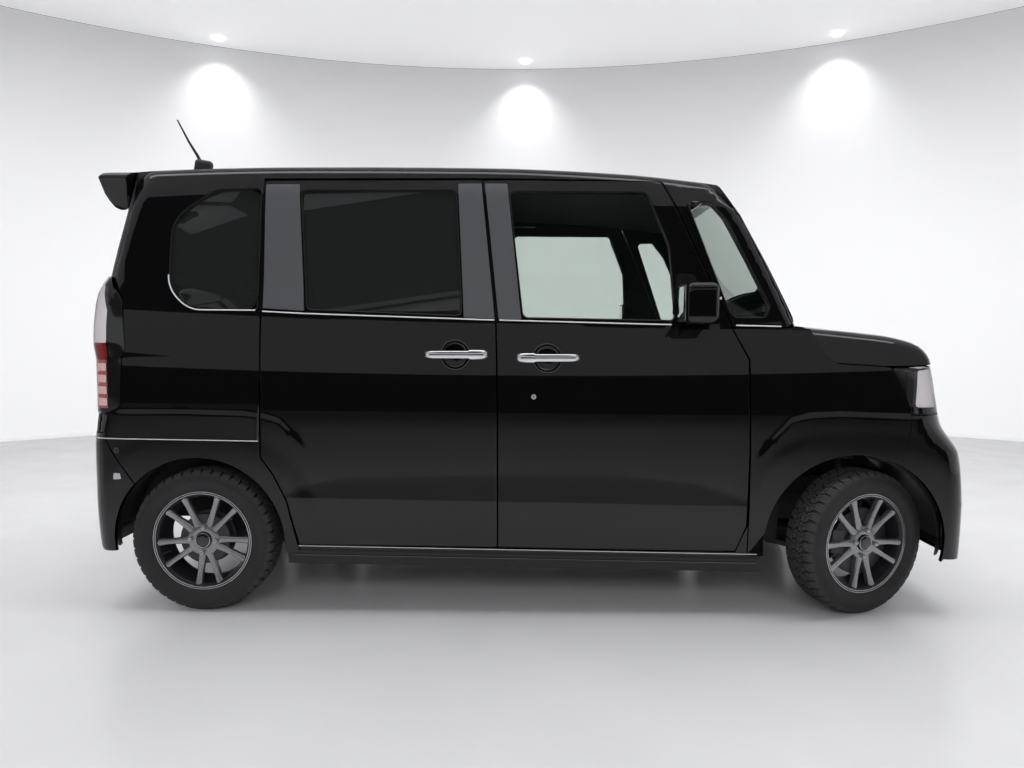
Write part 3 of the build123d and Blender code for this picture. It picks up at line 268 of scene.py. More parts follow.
PAINT = Finish("paint_black", (0.0028, 0.0028, 0.0032), 0.05, coat=1.0, spec=0.0, grain=Grain.PEEL, slot="body_paint")
SATIN = Finish("pillar_satin", (0.062, 0.063, 0.068), 0.32, grain=Grain.MOULD)
PLASTIC = Finish("black_plastic", (0.012, 0.012, 0.013), 0.45, grain=Grain.MOULD)
GLOSS_PLASTIC = Finish("gloss_plastic", (0.006, 0.006, 0.006), 0.12, coat=0.6)
CABIN = Finish("cabin_plastic", (0.022, 0.022, 0.024), 0.6, grain=Grain.MOULD, slot="cabin_plastic")
CLOTH = Finish("seat_cloth", (0.035, 0.034, 0.036), 0.9, grain=Grain.WOVEN, slot="seat_cloth")
LINING = Finish("cabin_lining", (0.30, 0.29, 0.28), 0.9, grain=Grain.WOVEN, slot="cabin_plastic")
RUBBER = Finish("tyre_rubber", (0.017, 0.017, 0.018), 0.72, grain=Grain.RUBBER, slot="tyre")
TREAD = Finish("tyre_tread", (0.034, 0.034, 0.035), 0.85, grain=Grain.RUBBER, slot="tyre")
# Painted highlight: pale strips along the belt weatherstrip and the tail's ledge, where the light catches them.
HIGHLIGHT_LINE = Finish("painted_highlight_line", (0.72, 0.73, 0.75), 0.28, metal=0.35)
SEAL = Finish("seal_rubber", (0.008, 0.008, 0.008), 0.55, grain=Grain.RUBBER)
GUNMETAL = Finish("wheel_gunmetal", (0.27, 0.272, 0.285), 0.27, metal=0.8, coat=0.6, slot="wheel_metal")
WELL = Finish("wheel_well", (0.022, 0.022, 0.025), 0.45, metal=0.5, slot="wheel_metal")
BRIGHT = Finish("machined_edge", (0.62, 0.63, 0.65), 0.22, metal=1.0, slot="wheel_metal")
CHROME = Finish("chrome", (0.82, 0.83, 0.85), 0.06, metal=1.0, slot="wheel_metal")
# The brake disc's steel is darkened well below bare steel: painted shade inside the wheel.
SHADED_STEEL = Finish("disc_steel_shaded", (0.075, 0.073, 0.07), 0.45, metal=0.9, slot="cast_metal")
CAST = Finish("cast_iron", (0.055, 0.055, 0.058), 0.65, metal=0.4, grain=Grain.CAST, slot="cast_metal")
UNDER = Finish("underseal", (0.012, 0.012, 0.013), 0.7, grain=Grain.CAST, slot="under_metal")
EXHAUST = Finish("exhaust_steel", (0.26, 0.24, 0.22), 0.42, metal=0.9, slot="exhaust_steel")
CLEAR_GLASS = Finish("clear_glass", (0.02, 0.03, 0.028), 0.0, clear=0.97, tint=(0.90, 0.93, 0.91), slot="clear_glass")
DARK_GLASS = Finish("privacy_glass", (0.030, 0.032, 0.032), 0.0, clear=0.6, tint=(0.26, 0.27, 0.27),
                    slot="privacy_glass")
FRIT = Finish("glass_frit", (0.004, 0.004, 0.0045), 0.06, coat=0.5)
LENS = Finish("lamp_lens", (0.2, 0.2, 0.2), 0.01, clear=0.98, tint=(0.93, 0.95, 0.97), slot="lamp_clear")
REFLECTOR = Finish("lamp_reflector", (0.72, 0.73, 0.75), 0.16, metal=1.0, slot="lamp_clear")
# The next three lamp finishes carry a painted glow that stands in for light let through the unlit lenses.
LAMP_WHITE = Finish("lamp_white", (0.78, 0.72, 0.73), 0.25, coat=0.8, glow=0.22, slot="lamp_clear")
LAMP_ROSE = Finish("lamp_rose", (0.50, 0.12, 0.13), 0.22, coat=0.8, glow=0.2, slot="lamp_red")
LAMP_PINK = Finish("lamp_pink", (0.78, 0.50, 0.48), 0.22, coat=0.9, glow=0.3, slot="lamp_red")
LAMP_RED = Finish("lamp_red", (0.42, 0.012, 0.010), 0.22, coat=0.8, slot="lamp_red")
MIRROR = Finish("mirror_silver", (0.78, 0.79, 0.80), 0.02, metal=1.0, slot="clear_glass")
LIP = Finish("machined_lip", (0.42, 0.425, 0.44), 0.22, metal=0.75, slot="wheel_metal")
KEY = Finish("key_cover", (0.40, 0.40, 0.41), 0.4, metal=0.3, coat=0.3)
PLATE = Finish("plate_blank", (0.62, 0.62, 0.60), 0.4, coat=0.3)


# ------------------------------------------------------------------ form of the body, in millimetres
@dataclass(frozen=True)
class Sections:
    """Level cuts of the body: how far each lies inside the box of length and width."""

    z: Sequence[float]
    fall: Sequence[float]
    side: Sequence[float]
    rear: Sequence[float]
    front: Sequence[float]
    r_rear: Sequence[float]
    r_front: Sequence[float]
    bow_rear: Sequence[float]
    bow_front: Sequence[float]


LOWER = Sections(
    z=(184, 232, 428, 640, 760, 986, 1112),
    fall=(0.012, 0.012, 0.015, 0.015, 0.013, 0.012, 0.030),
    side=(24, 17.5, 4.5, 0, 1, 14.5, 32), rear=(26, 4, 0, 4, 18, 26, 30), front=(2, 0, 0, 8, 48, 76, 134),
    r_rear=(85, 85, 85, 85, 95, 105, 110), r_front=(100, 104, 106, 124, 172, 180, 184),
    bow_rear=(8, 8, 8, 8, 8, 8, 8), bow_front=(9, 9, 9, 13, 27, 36, 40))
UPPER = Sections(
    z=(1112, 1250, 1400, 1540, 1660, 1830), fall=(0.030, 0.020, 0.010, 0, 0, 0),
    side=(32, 60, 84, 105, 126, 156), rear=(30, 38, 62, 88, 112, 145), front=(587, 645, 714, 788, 868, 985),
    r_rear=(110,) * 6, r_front=(60,) * 6, bow_rear=(8,) * 6, bow_front=(70, 72, 74, 76, 78, 80))


def pchip(xs: Sequence[float], ys: Sequence[float], at: Array) -> Array:
    """A smooth curve through points that never overshoots them.

    Args:
        xs: places of the points, rising.
        ys: heights of the points.
        at: where to read the curve.

    Returns:
        The curve's height at each place; straight on beyond the ends.
    """
    x, y = np.asarray(xs, float), np.asarray(ys, float)
    h, d = np.diff(x), np.diff(y) / np.diff(x)
    m = np.zeros_like(x)
    m[0], m[-1] = d[0], d[-1]
    for i in range(1, len(x) - 1):
        if d[i - 1] * d[i] > 0:
            w1, w2 = 2 * h[i] + h[i - 1], h[i] + 2 * h[i - 1]
            m[i] = (w1 + w2) / (w1 / d[i - 1] + w2 / d[i])
    at = np.asarray(at, float)
    k = np.clip(np.searchsorted(x, at) - 1, 0, len(x) - 2)
    t = (np.clip(at, x[0], x[-1]) - x[k]) / h[k]
    inside = ((2 * t ** 3 - 3 * t ** 2 + 1) * y[k] + (t ** 3 - 2 * t ** 2 + t) * h[k] * m[k]
              + (-2 * t ** 3 + 3 * t ** 2) * y[k + 1] + (t ** 3 - t ** 2) * h[k] * m[k + 1])
    return inside + np.minimum(at - x[0], 0) * m[0] + np.maximum(at - x[-1], 0) * m[-1]


def ease(t: Array) -> Array:
    """A soft step from 0 to 1."""
    t = np.clip(t, 0, 1)
    return t ** 2 * (3 - 2 * t)


def smooth_min(a: Array, b: Array, k: float) -> Array:
    """The lesser of two values, with the change-over rounded within k."""
    h = np.clip(0.5 + 0.5 * (b - a) / k, 0, 1)
    return b + (a - b) * h - k * h * (1 - h)


class BodyForm:
    """The car's outer surface. Lengths in millimetres, x forward, z up, y to the right taken positive."""

    HALF_L, HALF_W, BELT = 1697.5, 737.5, 1112.0                  # half length and width, height of the belt
    # centre lines of roof and bonnet, then how far their crowns are flat and sag there
    ROOF_X = (-1800, -1450, -950, -187, 357, 663, 900, 1250)
    ROOF_Z = (1750, 1780, 1790, 1784, 1759, 1727, 1690, 1620)
    BONNET_X = (900, 1100, 1260, 1390, 1480, 1560, 1640, 1720)
    BONNET_Z = (1142, 1124, 1107, 1092, 1072, 1036, 966, 880)
    ROOF_FLAT, ROOF_SAG, BONNET_FLAT, BONNET_SAG = 540.0, 49.0, 600.0, 20.0
    EDGE_R, EDGE_TURN = 70.0, math.radians(66)                    # turn of a crown's edge

    def fall(self, z: Array) -> Array:
        """How much a level line falls towards the front, per millimetre."""
        return np.interp(z, LOWER.z + UPPER.z[1:], LOWER.fall + UPPER.fall[1:])

    def fall_at(self, z: float) -> float:
        """The same at one height."""
        return float(self.fall(np.array([z]))[0])

    def half_at(self, x: float, z: float) -> float:
        """Half-width at one place of the side."""
        return float(self.half(np.array([x]), np.array([z]))[0])

    def rear_at(self, y: float, z: float) -> float:
        """The tailgate's x at one place."""
        return float(self.rear_x(np.array([y]), np.array([z]))[0])

    def front_at(self, y: float, z: float) -> float:
        """The windshield's x at one place."""
        return float(self.front_x(np.array([y]), np.array([z]))[0])

    def side(self, x: Array, z: Array) -> Array:
        """Half-width at a place on the side, from the level cuts alone.

        Args:
            x: distance ahead of the middle, in millimetres.
            z: height, in millimetres.

        Returns:
            The half-width, in millimetres.
        """
        level = z + self.fall(z) * x
        rows_z, rows = LOWER.z + UPPER.z[1:], LOWER.side + UPPER.side[1:]
        return self.HALF_W - pchip(rows_z, rows, level)

    def mix(self, name: str, z: Array, upper: Optional[Array] = None) -> Array:
        """One measure of the level cuts at some heights.

        Args:
            name: which field of the cuts.
            z: height, in millimetres.
            upper: whether the glasshouse's cuts apply, by default above the belt.

        Returns:
            The measure, in millimetres.
        """
        low = pchip(LOWER.z, getattr(LOWER, name), z)
        high = pchip(UPPER.z, getattr(UPPER, name), z)
        return np.where(z <= self.BELT if upper is None else ~upper, low, high)

    def drop(self, y: Array, flat: float, sag: float) -> Array:
        """How far a crown has fallen at a distance from the centre plane.

        Args:
            y: distance from the centre plane, in millimetres.
            flat: half-width of the gently bowed part.
            sag: how far the crown falls over it.

        Returns:
            The fall, in millimetres.
        """
        radius = (flat ** 2 + sag ** 2) / (2 * sag)
        s0 = math.asin(flat / radius)
        far = flat + self.EDGE_R * (math.sin(self.EDGE_TURN) - math.sin(s0))
        y = np.abs(y)
        arc = radius - np.sqrt(np.maximum(radius ** 2 - np.minimum(y, flat) ** 2, 0))
        turn = np.clip((np.clip(y, flat, far) - flat) / self.EDGE_R + math.sin(s0), -1, 1)
        bend = self.EDGE_R * (math.cos(s0) - np.sqrt(1 - turn ** 2))
        return arc + bend + np.maximum(y - far, 0) * math.tan(self.EDGE_TURN)

    def roof_z(self, x: Array, y: Array) -> Array:
        """The roof's height."""
        return pchip(self.ROOF_X, self.ROOF_Z, x) - self.drop(y, self.ROOF_FLAT, self.ROOF_SAG)

    def bonnet_z(self, x: Array, y: Array) -> Array:
        """The bonnet's height."""
        return pchip(self.BONNET_X, self.BONNET_Z, x) - self.drop(y, self.BONNET_FLAT, self.BONNET_SAG)

    def crown_half(self, x: Array, z: Array) -> Array:
        """Half-width where the roof's crown has fallen to a height.

        Args:
            x: distance ahead of the middle, in millimetres.
            z: height, in millimetres.

        Returns:
            The half-width, in millimetres.
        """
        ys = np.linspace(0, 900, 1801)
        falls = self.drop(ys, self.ROOF_FLAT, self.ROOF_SAG)
        return np.interp(pchip(self.ROOF_X, self.ROOF_Z, x) - z, falls, ys)

    def half(self, x: Array, z: Array) -> Array:
        """Half-width at a place on the side, roof edge included.

        Args:
            x: distance ahead of the middle, in millimetres.
            z: height, in millimetres.

        Returns:
            The half-width, in millimetres.
        """
        flat = self.side(x, z)
        high = z > 1580
        if np.any(high):
            flat = np.where(high, smooth_min(flat, self.crown_half(x, z), 10.0), flat)
        return flat

    def wrap(self, s: Array, z: Array, upper: Optional[Array] = None) -> Tuple[Array, Array]:
        """Plan position at perimeter coordinate s: x along the side, then arc length round each corner.

        Args:
            s: perimeter coordinate, zero amidships, positive to the front.
            z: height.
            upper: whether to take the glasshouse's ends, by default above the belt.

        Returns:
            x, and the distance from the centre plane.
        """
        level = z + self.fall(z) * s
        front, rear, rf, rr, bf, br = (self.mix(name, level, upper) for name in
                                       ("front", "rear", "r_front", "r_rear", "bow_front", "bow_rear"))
        xf, xr = self.HALF_L - front, rear - self.HALF_L
        hw = self.half(np.clip(s, xr, xf), z)
        x1, y1 = self._corner(s, xf - bf - rf, rf, hw, bf)
        x2, y2 = self._corner(-s, -(xr + br + rr), rr, hw, br)
        ahead = s >= 0
        return np.where(ahead, x1, -x2), np.where(ahead, y1, y2)

    def _corner(self, s: Array, start: Array, r: Array, hw: Array, bow: Array) -> Tuple[Array, Array]:
        """Plan of a corner: the side, an elliptic turn, then the bowed end.

        Args:
            s: perimeter coordinate, growing towards this end.
            start: where the turn starts.
            r: its radius.
            hw: half-width of the side.
            bow: how far the end's middle stands out.

        Returns:
            Distance ahead of the middle, and from the centre plane.
        """
        kink = np.arctan(2 * bow / np.maximum(hw - r, 1))
        end = math.pi / 2 - kink
        a = np.clip((s - start) / r, 0, math.pi / 2) * end / (math.pi / 2)
        x = start + r * np.sin(a) / np.sin(end)
        y = hw - r * (1 - np.cos(a)) / (1 - np.cos(end))
        t = np.clip((s - start - r * math.pi / 2) / np.maximum(hw - r, 1), 0, 1)
        x = np.where(t > 0, start + r + bow * (1 - (1 - t) ** 2), x)
        y = np.where(t > 0, (hw - r) * (1 - t), y)
        return np.where(s < start, s, x), np.where(s < start, hw, y)

    def ends(self, z: float, front: bool) -> Tuple[float, float, float]:
        """Perimeter coordinates of a corner's start and end and of the centre plane, at a height.

        Args:
            z: height, in millimetres.
            front: True for the nose, False for the tail.

        Returns:
            Coordinates of the turn's start, its end and the centre plane.
        """
        one = np.array([float(z)])
        sign = 1.0 if front else -1.0
        start = 1500.0
        for _ in range(6):
            level = one + self.fall(one) * sign * start
            inset = self.mix("front" if front else "rear", level)
            r = float(self.mix("r_front" if front else "r_rear", level)[0])
            bow = float(self.mix("bow_front" if front else "bow_rear", level)[0])
            start = float(self.HALF_L - inset[0]) - bow - r
        hw = float(self.half(one * 0 + sign * start, one)[0])
        return sign * start, sign * (start + r * math.pi / 2), sign * (start + r * math.pi / 2 + hw - r)

    def s_of_x(self, x: float, z: float) -> float:
        """Perimeter coordinate of the point of the side that lies at x, corners included.

        Args:
            x: distance ahead of the middle, in millimetres.
            z: height, in millimetres.

        Returns:
            The perimeter coordinate.
        """
        front = x > 0
        start, end, _ = self.ends(z, front)
        r = abs(end - start) / (math.pi / 2)
        past = abs(x) - abs(start)
        if past <= 0:
            return x
        turn = start + math.copysign(r * math.asin(min(past / r, 0.999)), x)
        return turn

    def s_of_y(self, y: float, z: float, front: bool) -> float:
        """Perimeter coordinate of the point of an end that lies y from the centre plane.

        Args:
            y: distance from the centre plane, in millimetres.
            z: height, in millimetres.
            front: True for the nose, False for the tail.

        Returns:
            The perimeter coordinate.
        """
        start, end, centre = self.ends(z, front)
        flat = abs(centre - end)
        if y <= flat:
            return centre - math.copysign(y, centre)
        r = abs(end - start) / (math.pi / 2)
        return end - math.copysign(r * math.asin(min((y - flat) / r, 1.0)), end)

    def front_x(self, y: Array, z: Array) -> Array:
        """The windshield's surface.

        Args:
            y: distance from the centre plane, in millimetres.
            z: height, in millimetres.

        Returns:
            Distance ahead of the middle.
        """
        inset, bow = pchip(UPPER.z, UPPER.front, z), pchip(UPPER.z, UPPER.bow_front, z)
        hw = self.HALF_W - pchip(UPPER.z, UPPER.side, z) - 60.0
        return self.HALF_L - inset - bow * (np.abs(y) / hw) ** 2

    def rear_x(self, y: Array, z: Array) -> Array:
        """The tailgate's surface.

        Args:
            y: distance from the centre plane, in millimetres.
            z: height, in millimetres.

        Returns:
            Distance ahead of the middle, below zero.
        """
        xr, r = -(self.HALF_L - self.mix("rear", z)), self.mix("r_rear", z)
        hw = self.side(np.full_like(z, -1600.0), z)
        y = np.abs(y)
        past = np.clip(y - (hw - r), 0, r)
        return xr + 8.0 * np.minimum(y / (hw - r), 1) ** 2 + r - np.sqrt(r ** 2 - past ** 2)

    def inside(self, x: Array, y: Array, z: Array) -> Array:
        """Below zero inside the nose, above it outside; rounded where bonnet, side and front meet.

        Args:
            x: distance ahead of the middle, in millimetres.
            y: distance from the centre plane, in millimetres.
            z: height, in millimetres.

        Returns:
            The signed distance, in millimetres.
        """
        level = z + self.fall(z) * x
        low = np.zeros_like(x, dtype=bool)
        hw = self.side(x, z)
        xf = self.HALF_L - self.mix("front", level, low)
        rf, bf = self.mix("r_front", level, low), self.mix("bow_front", level, low)
        qx = x - (xf - bf * np.minimum(np.abs(y) / (hw - rf), 1) ** 2) + rf
        qy = np.abs(y) - hw + rf
        plan = np.hypot(np.maximum(qx, 0), np.maximum(qy, 0)) + np.minimum(np.maximum(qx, qy), 0) - rf
        top = (z - self.bonnet_z(x, y)) * 0.9
        return -smooth_min(-plan, -top, 16.0)


# ------------------------------------------------------------------ flat outlines and meshes
def rounded(points: Sequence[Point2], radius: Union[float, Sequence[float]], steps: int = 6) -> List[Point2]:
    """A closed outline with round corners.

    Args:
        points: its corners.
        radius: one radius, or one for each corner.
        steps: pieces that each corner is drawn with.

    Returns:
        The points of the rounded outline.
    """
    n, out = len(points), []
    radii = [radius] * n if isinstance(radius, (int, float)) else list(radius)
    for i, r in enumerate(radii):
        p, a, b = (Vector(points[(i + k) % n]) for k in (0, -1, 1))
        if r <= 0:
            out.append(tuple(p))
            continue
        u, v = (a - p).normalized(), (b - p).normalized()
        half = u.angle(v) / 2
        cut = min(r / math.tan(half), (a - p).length * 0.48, (b - p).length * 0.48)
        r = cut * math.tan(half)
        centre = p + (u + v).normalized() * (r / math.sin(half))
        start, end = p + u * cut - centre, p + v * cut - centre
        sweep = math.atan2(start.x * end.y - start.y * end.x, start.dot(end))
        for k in range(steps + 1):
            t = sweep * k / steps
            c, s = math.cos(t), math.sin(t)
            out.append((centre.x + start.x * c - start.y * s, centre.y + start.x * s + start.y * c))
    return out


def sunk(depth: float) -> Relief:
    """A relief that lies at one depth under the surface."""
    return lambda s, v: np.full(np.shape(s), -depth)


def ringed(x: float, z: float, r: float, steps: int = 40) -> List[Point2]:
    """A circle as a closed outline."""
    return [(x + r * math.cos(2 * math.pi * k / steps), z + r * math.sin(2 * math.pi * k / steps))
            for k in range(steps)]


def grown(points: Sequence[Point2], by: float) -> List[Point2]:
    """A closed outline moved outward by a distance.

    Args:
        points: the outline.
        by: the distance, below zero for inward.

    Returns:
        The new outline.
    """
    n = len(points)
    area = sum(points[i][0] * points[(i + 1) % n][1] - points[(i + 1) % n][0] * points[i][1] for i in range(n))
    sign = 1.0 if area > 0 else -1.0
    out = []
    for i in range(n):
        p, a, b = (Vector(points[(i + k) % n]) for k in (0, -1, 1))
        u, v = (p - a).normalized(), (b - p).normalized()
        nu, nv = Vector((u.y, -u.x)) * sign, Vector((v.y, -v.x)) * sign
        m = (nu + nv).normalized()
        out.append(tuple(p + m * (by / max(m.dot(nu), 0.5))))
    return out


def sheet_mesh(outer: Sequence[Point2], holes: Sequence[Sequence[Point2]], cell: Point2,
               fine: Sequence[Band] = ()) -> bmesh.types.BMesh:
    """A flat sheet in x and y, cut into cells.

    Args:
        outer: its outline.
        holes: outlines of its holes.
        cell: cell size along x and y.
        fine: bands of closer cuts: axis (0 or 1), from, to, step.

    Returns:
        The sheet as a mesh.
    """
    bm = bmesh.new()
    for loop in [outer, *holes]:
        verts = [bm.verts.new((p[0], p[1], 0)) for p in loop]
        for i, v in enumerate(verts):
            bm.edges.new((v, verts[(i + 1) % len(verts)]))
    bmesh.ops.triangle_fill(bm, use_beauty=True, use_dissolve=False, edges=bm.edges[:], normal=(0, 0, 1))
    for axis in (0, 1):
        lo, hi = min(p[axis] for p in outer), max(p[axis] for p in outer)
        places = set(np.arange(math.ceil(lo / cell[axis]) * cell[axis], hi, cell[axis]))
        for ax, start, stop, step in fine:
            if ax == axis:
                places |= set(np.arange(start, stop, step))
        normal = (1, 0, 0) if axis == 0 else (0, 1, 0)
        for c in sorted(places):
            if lo + 0.5 < c < hi - 0.5:
                origin = (c, 0, 0) if axis == 0 else (0, c, 0)
                bmesh.ops.bisect_plane(bm, geom=bm.verts[:] + bm.edges[:] + bm.faces[:], dist=0.02,
                                       plane_co=origin, plane_no=normal)
    for f in bm.faces:
        if f.normal.z < 0:
            f.normal_flip()
    return bm


class Workshop:
    """Turns meshes into finished pieces of the scene.

    Args:
        palette: where finishes come from.
        nodes: the frame's CAD nodes by name.
    """

    SEAM: ClassVar[float] = 2e-5          # metres from the centre plane that count as on it
    HEART: ClassVar[Array] = np.array([0.0, 0.0, 800.0])      # the surface's normals point away from here
    NEAR_FLAT: ClassVar[float] = 0.01
    ON_AXIS: ClassVar[float] = 1e-3       # a turned shape's corners this near each other are one, in millimetres

    def __init__(self, palette: Palette, nodes: Dict[str, bpy.types.Object]) -> None:
        self.palette = palette
        self.nodes = nodes

    def piece(self, name: str, bm: bmesh.types.BMesh, finish: Finish, body: str, smooth: float = 40.0,
              normals: Optional[Array] = None, stands_for: Sequence[str] = ()) -> bpy.types.Object:
        """Makes an object of a mesh in metres, gives it its finish and its body.

        Args:
            name: the piece's name.
            bm: its mesh, freed here.
            finish: its finish.
            body: the CAD body it rides on.
            smooth: edges flatter than this many degrees are shaded smooth; 0 for none.
            normals: one normal for each vertex, where they are known exactly.
            stands_for: the CAD nodes it is shown instead of.

        Returns:
            The object.
        """
        mesh = bpy.data.meshes.new(name)
        bm.to_mesh(mesh)
        bm.free()
        obj = bpy.data.objects.new(name, mesh)
        bpy.context.scene.collection.objects.link(obj)
        mesh.materials.append(self.palette.get(finish))
        if normals is not None:
            mesh.polygons.foreach_set("use_smooth", [True] * len(mesh.polygons))
            mesh.normals_split_custom_set_from_vertices([tuple(n) for n in normals])
        elif smooth:
            mesh.shade_smooth()
            mesh.set_sharp_from_angle(angle=math.radians(smooth))
        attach(obj, body)
        for node in stands_for:
            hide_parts(node)
        log.info("%s: %d faces, on %s", name, len(mesh.polygons), body)
        return obj

    def sweep(self, name: str, path: Array, ups: Array, section: Sequence[Point2], finish: Finish, body: str,
              closed: bool = False, smooth: float = 40.0, stands_for: Sequence[str] = ()) -> bpy.types.Object:
        """A bar of one section along a path.

        Args:
            name: the piece's name.
            path: its points in millimetres.
            ups: the direction that the section's second coordinate follows, at each point.
            section: closed outline, sideways and up.
            finish: its finish.
            body: the CAD body it rides on.
            closed: whether the path is a ring.
            smooth: as in piece.
            stands_for: the CAD nodes it is shown instead of.

        Returns:
            The object.
        """
        bm = bmesh.new()
        self.bar(bm, path, ups, section, closed)
        bmesh.ops.scale(bm, vec=(MM, MM, MM), verts=bm.verts)
        return self.piece(name, bm, finish, body, smooth=smooth, stands_for=stands_for)

    @staticmethod
    def bar(bm: bmesh.types.BMesh, path: Array, ups: Array, section: Sequence[Point2], closed: bool = False,
            taper: Optional[Array] = None) -> None:
        """Adds a bar of one section along a path to a mesh in millimetres.

        Args:
            bm: the mesh, in millimetres.
            path: its points.
            ups: the direction that the section's second coordinate follows, at each point.
            section: closed outline, sideways and up.
            closed: whether the path is a ring.
            taper: scale of the section at each point.
        """
        path = np.asarray(path, float)
        ahead, back = np.roll(path, -1, 0), np.roll(path, 1, 0)
        if not closed:
            ahead[-1], back[0] = path[-1], path[0]
        tang = ahead - back
        tang /= np.maximum(np.linalg.norm(tang, axis=1), 1e-9)[:, None]
        side = np.cross(tang, ups)
        side /= np.maximum(np.linalg.norm(side, axis=1), 1e-9)[:, None]
        up = np.cross(side, tang)
        scale = np.ones(len(path)) if taper is None else taper
        rings = [[bm.verts.new(p + (s * a + u * b) * t) for a, b in section]
                 for p, s, u, t in zip(path, side, up, scale)]
        k = len(section)
        faces = []
        for i in range(len(path) if closed else len(path) - 1):
            j = (i + 1) % len(path)
            for m in range(k):
                w = (m + 1) % k
                faces.append(bm.faces.new((rings[i][m], rings[j][m], rings[j][w], rings[i][w])))
        if not closed:
            faces += [bm.faces.new(rings[0]), bm.faces.new(list(reversed(rings[-1])))]
        bmesh.ops.recalc_face_normals(bm, faces=faces)

    @staticmethod
    def turned(bm: bmesh.types.BMesh, profile: Sequence[Point2], steps: int = 72) -> None:
        """Adds a shape turned about the Y axis to a mesh.

        Args:
            bm: the mesh, in millimetres.
            profile: closed outline: place along the axis, and radius.
            steps: steps of the full turn.
        """
        shape = bmesh.new()
        verts = [shape.verts.new((r, y, 0.0)) for y, r in profile]
        edges = [shape.edges.new((v, verts[(i + 1) % len(verts)])) for i, v in enumerate(verts)]
        bmesh.ops.spin(shape, geom=verts + edges, cent=(0, 0, 0), axis=(0, 1, 0), dvec=(0, 0, 0),
                       angle=2 * math.pi, steps=steps, use_merge=True, use_duplicate=False)
        bmesh.ops.remove_doubles(shape, verts=shape.verts, dist=Workshop.ON_AXIS)
        bmesh.ops.delete(shape, geom=[e for e in shape.edges if not e.link_faces], context="EDGES")
        bmesh.ops.recalc_face_normals(shape, faces=shape.faces)
        made = bpy.data.meshes.new("turned")
        shape.to_mesh(made)
        shape.free()
        bm.from_mesh(made)
        bpy.data.meshes.remove(made)

    def block(self, name: str, centre: Sequence[float], size: Sequence[float], radius: float, finish: Finish,
              body: str, turn: Sequence[float] = (0.0, 0.0, 0.0), steps: int = 3, smooth: float = 50.0,
              stands_for: Sequence[str] = ()) -> bpy.types.Object:
        """A box with round edges, in millimetres and degrees.

        Args:
            name: the piece's name.
            centre: its middle.
            size: its three lengths.
            radius: radius of its edges.
            finish: its finish.
            body: the CAD body it rides on.
            turn: turns about X, Y and Z.
            steps: segments of a round edge.
            smooth: as in piece.
            stands_for: the CAD nodes it is shown instead of.

        Returns:
            The object.
        """
        bm = bmesh.new()
        bmesh.ops.create_cube(bm, size=1.0)
        bmesh.ops.scale(bm, vec=Vector(size), verts=bm.verts)
        if radius:
            bmesh.ops.bevel(bm, geom=bm.edges[:], offset=min(radius, min(size) * 0.49), segments=steps,
                            profile=0.5, affect="EDGES", material=-1)
        place = Matrix.Translation(Vector(centre)) @ Matrix.Rotation(math.radians(turn[2]), 4, "Z") \
            @ Matrix.Rotation(math.radians(turn[1]), 4, "Y") @ Matrix.Rotation(math.radians(turn[0]), 4, "X")
        bmesh.ops.transform(bm, matrix=Matrix.Scale(MM, 4) @ place, verts=bm.verts)
        return self.piece(name, bm, finish, body, smooth=smooth, stands_for=stands_for)

    def skin(self, name: str, outer: Sequence[Point2], holes: Sequence[Sequence[Point2]], mapping: Mapping,
             finish: Finish, body: str, hand: int = RIGHT, cell: Point2 = (26.0, 26.0), depth: float = 14.0,
             roll: float = 2.0, relief: Optional[Relief] = None,
             fine: Sequence[Band] = (), both: bool = False,
             stands_for: Sequence[str] = ()) -> bpy.types.Object:
        """A pressed panel: its outline is laid on a surface and its rim is rolled inward.

        Args:
            name: the piece's name.
            outer: outline in the surface's own two coordinates.
            holes: outlines of its openings.
            mapping: from those coordinates to the surface, in millimetres, y to the right.
            finish: its finish.
            body: the CAD body it rides on.
            hand: RIGHT or LEFT.
            cell: cell size.
            depth: depth of the rim.
            roll: radius of the rim's edge.
            relief: height above the surface, where it has a form of its own.
            fine: bands of closer cuts, as in sheet_mesh.
            both: whether the other hand's half joins on at the centre plane.
            stands_for: the CAD nodes it is shown instead of.

        Returns:
            The object.
        """
        bm = sheet_mesh(outer, holes, cell, fine)
        bm.verts.ensure_lookup_table()
        u = np.array([v.co.x for v in bm.verts])
        v = np.array([v.co.y for v in bm.verts])

        def place(a: Array, b: Array) -> Array:
            """Points of the surface, with its relief.

            Args:
                a: the surface's first coordinate.
                b: and its second.

            Returns:
                Their places.
            """
            pos = np.stack(mapping(a, b), axis=1)
            if relief is None:
                return pos
            up = relief(a, b)
            return pos + up[:, None] * self.normal_of(mapping, a, b)

        pos = place(u, v)
        step = 0.6
        du = place(u + step, v) - place(u - step, v)
        dv = place(u, v + step) - place(u, v - step)
        nrm = np.cross(du, dv)
        nrm /= np.maximum(np.linalg.norm(nrm, axis=1), 1e-9)[:, None]
        outward = pos - self.HEART
        outward[:, 0] *= 0.25
        for vert, p in zip(bm.verts, pos):
            vert.co = Vector(p)
        if np.sum(nrm * outward) < 0:
            nrm = -nrm
            bmesh.ops.reverse_faces(bm, faces=bm.faces[:])
        normals = [Vector(n) for n in nrm]
        self._rim(bm, normals, roll, depth, both)
        arr = np.array([n[:] for n in normals])
        sign = float(hand)
        for vert in bm.verts:
            vert.co = Vector((vert.co.x, vert.co.y * sign, vert.co.z)) * MM
        arr[:, 1] *= sign
        if hand == RIGHT:
            bmesh.ops.reverse_faces(bm, faces=bm.faces[:])
        if both:
            arr = self._mirror(bm, arr)
        return self.piece(name, bm, finish, body, normals=arr, stands_for=stands_for)

